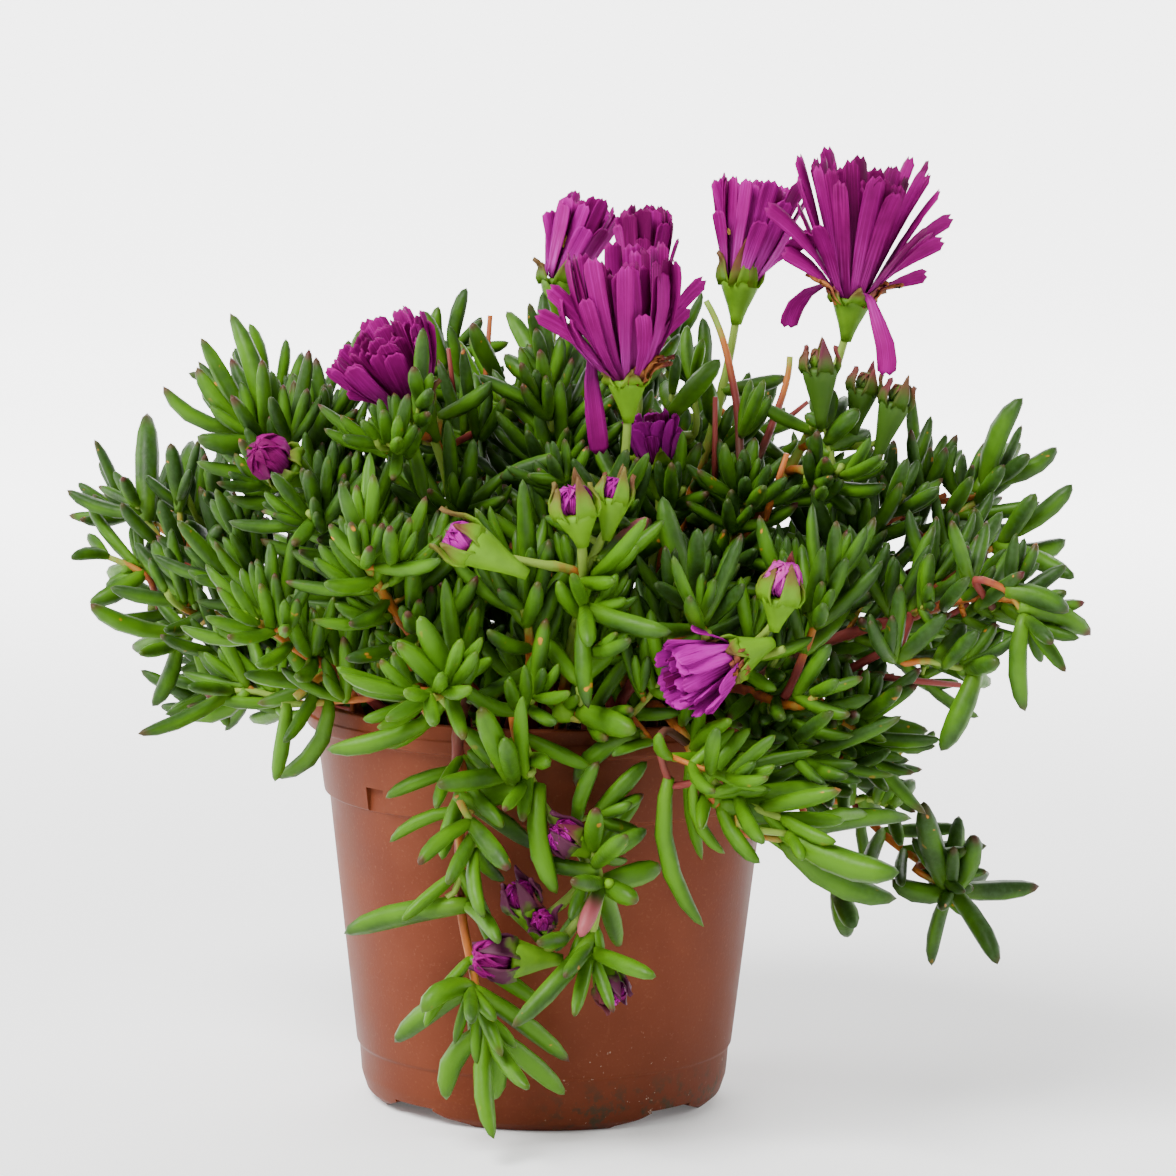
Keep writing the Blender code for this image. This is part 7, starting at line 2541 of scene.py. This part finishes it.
class ICEPLANT_OT_pot(bpy.types.Operator):
    """Turn the nursery pot, and cut its arches, stacking notches and drain holes"""

    bl_idname = "iceplant.pot"
    bl_label = "Nursery pot"

    def execute(self, context):
        outline = rounded(pot_profile(), SHELL_SOFTNESS)
        body = turned_body("nursery_pot", outline, context.scene.ice_plant_sizes.pot_segments)
        cutters = [arch_cutter(k) for k in range(4)] + [key_cutter(k) for k in range(4)]
        cut_by(body, cutters + [drain_cutter(k) for k in range(4)])
        body.data.shade_smooth()
        body.data.set_sharp_from_angle(angle=math.radians(SMOOTH_BELOW_DEG))
        body.data.materials.clear()
        body.data.materials.append(pot_material(context.scene.ice_plant_colours))
        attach(body, "root")
        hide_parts("pot")
        return {"FINISHED"}


class ICEPLANT_OT_soil(bpy.types.Operator):
    """Fill the pot with a lumpy mix, and strew crumbs on it"""

    bl_idname = "iceplant.soil"
    bl_label = "Potting mix"

    def execute(self, context):
        sizes = context.scene.ice_plant_sizes
        radius = BAND_TOP_RADIUS - WALL - CLEAR - 0.2
        outline = [
            (0, SOIL_TOP),
            (radius, SOIL_TOP),
            (radius - 0.1, INNER_STEP_Z + 2.6),
            (WALL_TOP_RADIUS - WALL - CLEAR - 0.3, INNER_STEP_Z),
            (FOOT_RADIUS + 0.3 - CLEAR, FLOOR_TOP_Z + CLEAR),
            (0, FLOOR_TOP_Z + CLEAR),
        ]
        block = turned_body("potting_mix", outline, 64)
        bpy.context.view_layer.objects.active = block
        bpy.ops.object.mode_set(mode="EDIT")
        select_where(lambda co: co.z > SOIL_TOP * MM - NEAR)
        bpy.ops.mesh.subdivide(number_cuts=5)
        bpy.ops.object.mode_set(mode="OBJECT")
        for vert in block.data.vertices:
            out = math.hypot(vert.co.x, vert.co.y) / MM
            if vert.co.z > SOIL_TOP * MM - NEAR and out < radius - 0.5:
                lump = noise.noise(vert.co * 160) * 0.7 + noise.noise(vert.co * 420) * 0.4
                vert.co.z += (lump - 0.2) * sizes.soil_relief
        made = soil_material(context.scene.ice_plant_colours)
        crumb = model_finger(6, CRUMB_PROFILE)
        piece = Piece("crumbs")
        for k in range(sizes.crumbs):
            key = ("crumb", k)
            out, turn = (radius - 3) * math.sqrt(draw(key, "out")), 2 * math.pi * draw(key, "turn")
            size = spread(0.5, 1.5, key, "size")
            run = unit(vec(*(spread(-1, 1, key, axis) for axis in range(3))))
            middle = vec(out * math.cos(turn), out * math.sin(turn), SOIL_TOP + size * 0.1)
            crooked = (middle - run * size, run, vec(0.02, 0.01, 0.03), size * 2, size)
            points = bent_copy(crumb, crooked)
            points = points + vec(*(spread(-0.1, 0.1, key, "lump", i) * size for i in range(3)))
            piece.add(points, crumb.faces, 0, (0.5, 0.5, 0.5))
        loose = piece.finish([made], None, "soil")
        block.data.shade_smooth()
        block.data.materials.clear()
        block.data.materials.append(made)
        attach(block, "root")
        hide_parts("soil")
        loose.data.shade_flat()
        return {"FINISHED"}


class ICEPLANT_OT_foliage(bpy.types.Operator):
    """Grow every stem with its leaves, side shoots, cups and sepals"""

    bl_idname = "iceplant.foliage"
    bl_label = "Stems and leaves"

    def execute(self, context):
        colours = context.scene.ice_plant_colours
        pink = petal_material(colours, "bud_petal", colours.petal_bright, colours.bud_pink)
        materials = [leaf_material(colours), stem_material(colours), cup_material(colours), pink]
        self.finger = model_finger(7, LEAF_PROFILE)
        self.sepal = model_strap(SEPAL_PROFILE, SEPAL_NOTCH)
        self.twig = model_finger(6, TWIG_PROFILE)
        self.petal = model_strap(PETAL_PROFILE, PETAL_NOTCH)
        for name, parts in plant_plan().items():
            piece = Piece("grown_" + name)
            self.add_shoots(piece, name, parts)
            for owner, x, z, depth, radius in BALL_BUDS:
                if owner == name:
                    add_ball_bud(piece, self, parts, behind(x, z, depth), radius)
            for head in parts["heads"]:
                add_head(piece, self, name, *head)
            for owner, x, z, depth, heading, *looks in SMALL_BUDS:
                if owner == name:
                    spot, heading = behind(x, z, depth), unit(vec(*heading))
                    add_small_bud(piece, self, parts, spot, heading, *looks)
            piece.finish(materials, [name], "leaf")
        return {"FINISHED"}

    def add_shoots(self, piece, name, parts):
        """The stems, twigs, cut stalks and leaves of one rooted stem."""
        tone, tips = TONES.get(name, USUAL_TONE)
        headed = len(parts["heads"]) > 0
        for k, (path, *radii) in enumerate(parts["paths"]):
            radii, nodes = [radius * 0.9 for radius in radii], parts["nodes"][k]
            add_stem(piece, path, radii, k == 0, nodes, tone, (name, k), headed)
        for k, twig in enumerate(parts["twigs"]):
            marks = (0.12, tone, draw(name, k))
            piece.add(bent_copy(self.twig, twig), self.twig.faces, STEM, marks)
        for start, end, radius in CUT_STALKS.get(name, ()):
            marks = (0.45, tone, draw(name, "cut"))
            add_stalk(piece, self.twig, vec(*start), vec(*end), 0.03, radius * 0.85, STEM, marks)
        for k, leaf in enumerate(parts["leaves"]):
            add_leaf(piece, self.finger, leaf, tone, tips, (name, "leaf", k))
        for k, leaf in enumerate(parts["more"]):
            shade, tipped = parts["tints"].get(k, (tone, tips))
            slim = SHOWN_SLIM if k in parts["tints"] else USUAL_SLIM
            add_leaf(piece, self.finger, leaf, shade, tipped, (name, "more", k), slim)


class ICEPLANT_OT_blooms(bpy.types.Operator):
    """Set the petals into the cups of the blooms and the coloured buds"""

    bl_idname = "iceplant.blooms"
    bl_label = "Petals"

    def execute(self, context):
        colours = context.scene.ice_plant_colours
        light, lightest = colours.petal_light, colours.bud_pink
        deep = petal_material(colours, "petal_silk", colours.petal_deep, light)
        bright = petal_material(colours, "petal_silk_bright", colours.petal_bright, light)
        pink = petal_material(colours, "petal_silk_pale", colours.petal_bright, lightest)
        pollen = pollen_material(colours)
        petal = model_strap(PETAL_PROFILE, PETAL_NOTCH)
        thread = model_finger(5, THREAD_PROFILE)
        for name, parts in plant_plan().items():
            node = name.split("_", 1)[1].removesuffix("_bud")
            for kind, base, heading, size in parts["heads"]:
                if kind == "bloom":
                    piece, shown = Piece("silk_" + node), "petals_" + node
                    add_petals(piece, petal, name, base, heading, size)
                    add_stamens(piece, thread, base + heading * 1.0, heading, size[0], name)
                    silk = bright if name in YOUNG_BLOOMS else deep
                    piece.finish([silk, pollen], [shown], "petal")
                elif kind == "bud":
                    piece, shown = Piece(f"silk_{node}_bud"), f"petals_{node}_bud"
                    share, tone = SHUT_LOOKS[name]
                    start, key = base + heading * CLEAR, (name, "bud")
                    length, wide = size[0] * share, size[1] * 0.92 * share
                    add_closed_petals(piece, petal, start, heading, length, wide, 0, tone, key)
                    silk = pink if name == PALE_BUD else deep
                    piece.finish([silk, pollen], [shown], "petal")
        return {"FINISHED"}


# The lights as (name, place, size, which power, share of it), and where they point
LIGHTS = (
    ("key", (-0.7, -0.9, 1.4), 0.9, "key_power", 1.0),
    ("fill", (1.25, -0.9, 0.75), 1.4, "fill_power", 1.0),
    ("back", (0.35, 1.3, 1.5), 1.2, "back_power", 1.0),
    ("left", (-1.35, 0.25, 0.55), 0.8, "side_power", 1.0),
    ("right", (1.35, 0.35, 0.5), 0.8, "side_power", 0.7),
)
LIT_PLACE = (0, 0, 0.11)
SENSOR_WIDTH = 36.0
# How the floor curves up into the backdrop: in how many steps, and how high against its reach
BACKDROP_STEPS = 8
BACKDROP_RISE = 0.35


class ICEPLANT_OT_stage(bpy.types.Operator):
    """Lay the pale floor, hang the soft lights and stand the camera"""

    bl_idname = "iceplant.stage"
    bl_label = "Floor, lights and camera"

    def execute(self, context):
        stage = context.scene.ice_plant_stage
        self.lay_floor(context)
        for name, place, size, power, share in LIGHTS:
            self.hang_light(name, place, size, getattr(stage, power) * share)
        world = bpy.data.worlds.new("even_sky")
        world.use_nodes = True
        sky = world.node_tree.nodes["Background"]
        sky.inputs["Color"].default_value = (1.0, 1.0, 1.0, 1.0)
        sky.inputs["Strength"].default_value = stage.sky_strength
        context.scene.world = world
        lens = bpy.data.cameras.new("photo_view")
        lens.lens = stage.lens
        lens.sensor_width = SENSOR_WIDTH
        camera = bpy.data.objects.new("photo_view", lens)
        tilt = Matrix.Rotation(math.pi / 2 - stage.camera_tilt, 4, "X")
        roll = Matrix.Rotation(stage.camera_roll, 4, "Z")
        camera.matrix_world = Matrix.Translation(stage.camera_place) @ tilt @ roll
        context.scene.collection.objects.link(camera)
        context.scene.camera = camera
        return {"FINISHED"}

    def lay_floor(self, context):
        """A floor that curves up into a backdrop well behind the plant."""
        deselect_all()
        reach = context.scene.ice_plant_sizes.floor_reach
        bpy.ops.mesh.primitive_plane_add(size=2 * reach, location=(0, 0, 0))
        floor = bpy.context.object
        floor.name = "pale_floor"
        bpy.ops.object.mode_set(mode="EDIT")
        select_where(lambda co: co.y > 0)
        rise = reach * BACKDROP_RISE
        step = math.pi / 2 / BACKDROP_STEPS
        for k in range(BACKDROP_STEPS):
            before, after = step * k, step * (k + 1)
            run, climb = math.sin(after) - math.sin(before), math.cos(before) - math.cos(after)
            extrude((0, rise * run, rise * climb))
        extrude((0, 0, reach))
        bpy.ops.object.mode_set(mode="OBJECT")
        floor.data.shade_smooth()
        pale = tuple(context.scene.ice_plant_colours.floor)
        glow = context.scene.ice_plant_stage.floor_glow
        floor.data.materials.append(floor_material(pale, glow))

    def hang_light(self, name, place, size, power):
        """A square light that points at the plant."""
        lamp = bpy.data.lights.new(name, "AREA")
        lamp.energy = power
        lamp.size = size
        light = bpy.data.objects.new(name, lamp)
        aim = (Vector(LIT_PLACE) - Vector(place)).to_track_quat("-Z", "Y")
        light.matrix_world = Matrix.Translation(place) @ aim.to_matrix().to_4x4()
        bpy.context.scene.collection.objects.link(light)


class ICEPLANT_PT_panel(bpy.types.Panel):
    """The steps that make the plant"""

    bl_label = "Ice Plant"
    bl_idname = "ICEPLANT_PT_panel"
    bl_space_type = "VIEW_3D"
    bl_region_type = "UI"
    bl_category = "Ice Plant"

    def draw(self, context):
        for step in STEPS:
            self.layout.operator(step.bl_idname)
        for group in (getattr(context.scene, name) for name in GROUPS):
            for name in group.bl_rna.properties.keys():
                if name not in ("rna_type", "name"):
                    self.layout.prop(group, name)


STEPS = (
    ICEPLANT_OT_stage,
    ICEPLANT_OT_pot,
    ICEPLANT_OT_soil,
    ICEPLANT_OT_foliage,
    ICEPLANT_OT_blooms,
)
GROUPS = {
    "ice_plant_sizes": IcePlantSizes,
    "ice_plant_colours": IcePlantColours,
    "ice_plant_stage": IcePlantStage,
}


def register():
    """Add the property groups, the steps and the panel."""
    for group in GROUPS.values():
        bpy.utils.register_class(group)
    for step in STEPS + (ICEPLANT_PT_panel,):
        bpy.utils.register_class(step)
    for name, group in GROUPS.items():
        setattr(bpy.types.Scene, name, bpy.props.PointerProperty(type=group))


def unregister():
    """Take them away again."""
    for name in GROUPS:
        delattr(bpy.types.Scene, name)
    for step in reversed(STEPS + (ICEPLANT_PT_panel,)):
        bpy.utils.unregister_class(step)
    for group in reversed(list(GROUPS.values())):
        bpy.utils.unregister_class(group)


def main():
    """Make everything."""
    register()
    bpy.ops.iceplant.stage()
    bpy.ops.iceplant.pot()
    bpy.ops.iceplant.soil()
    bpy.ops.iceplant.foliage()
    bpy.ops.iceplant.blooms()
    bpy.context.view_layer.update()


if __name__ == "__main__":
    main()
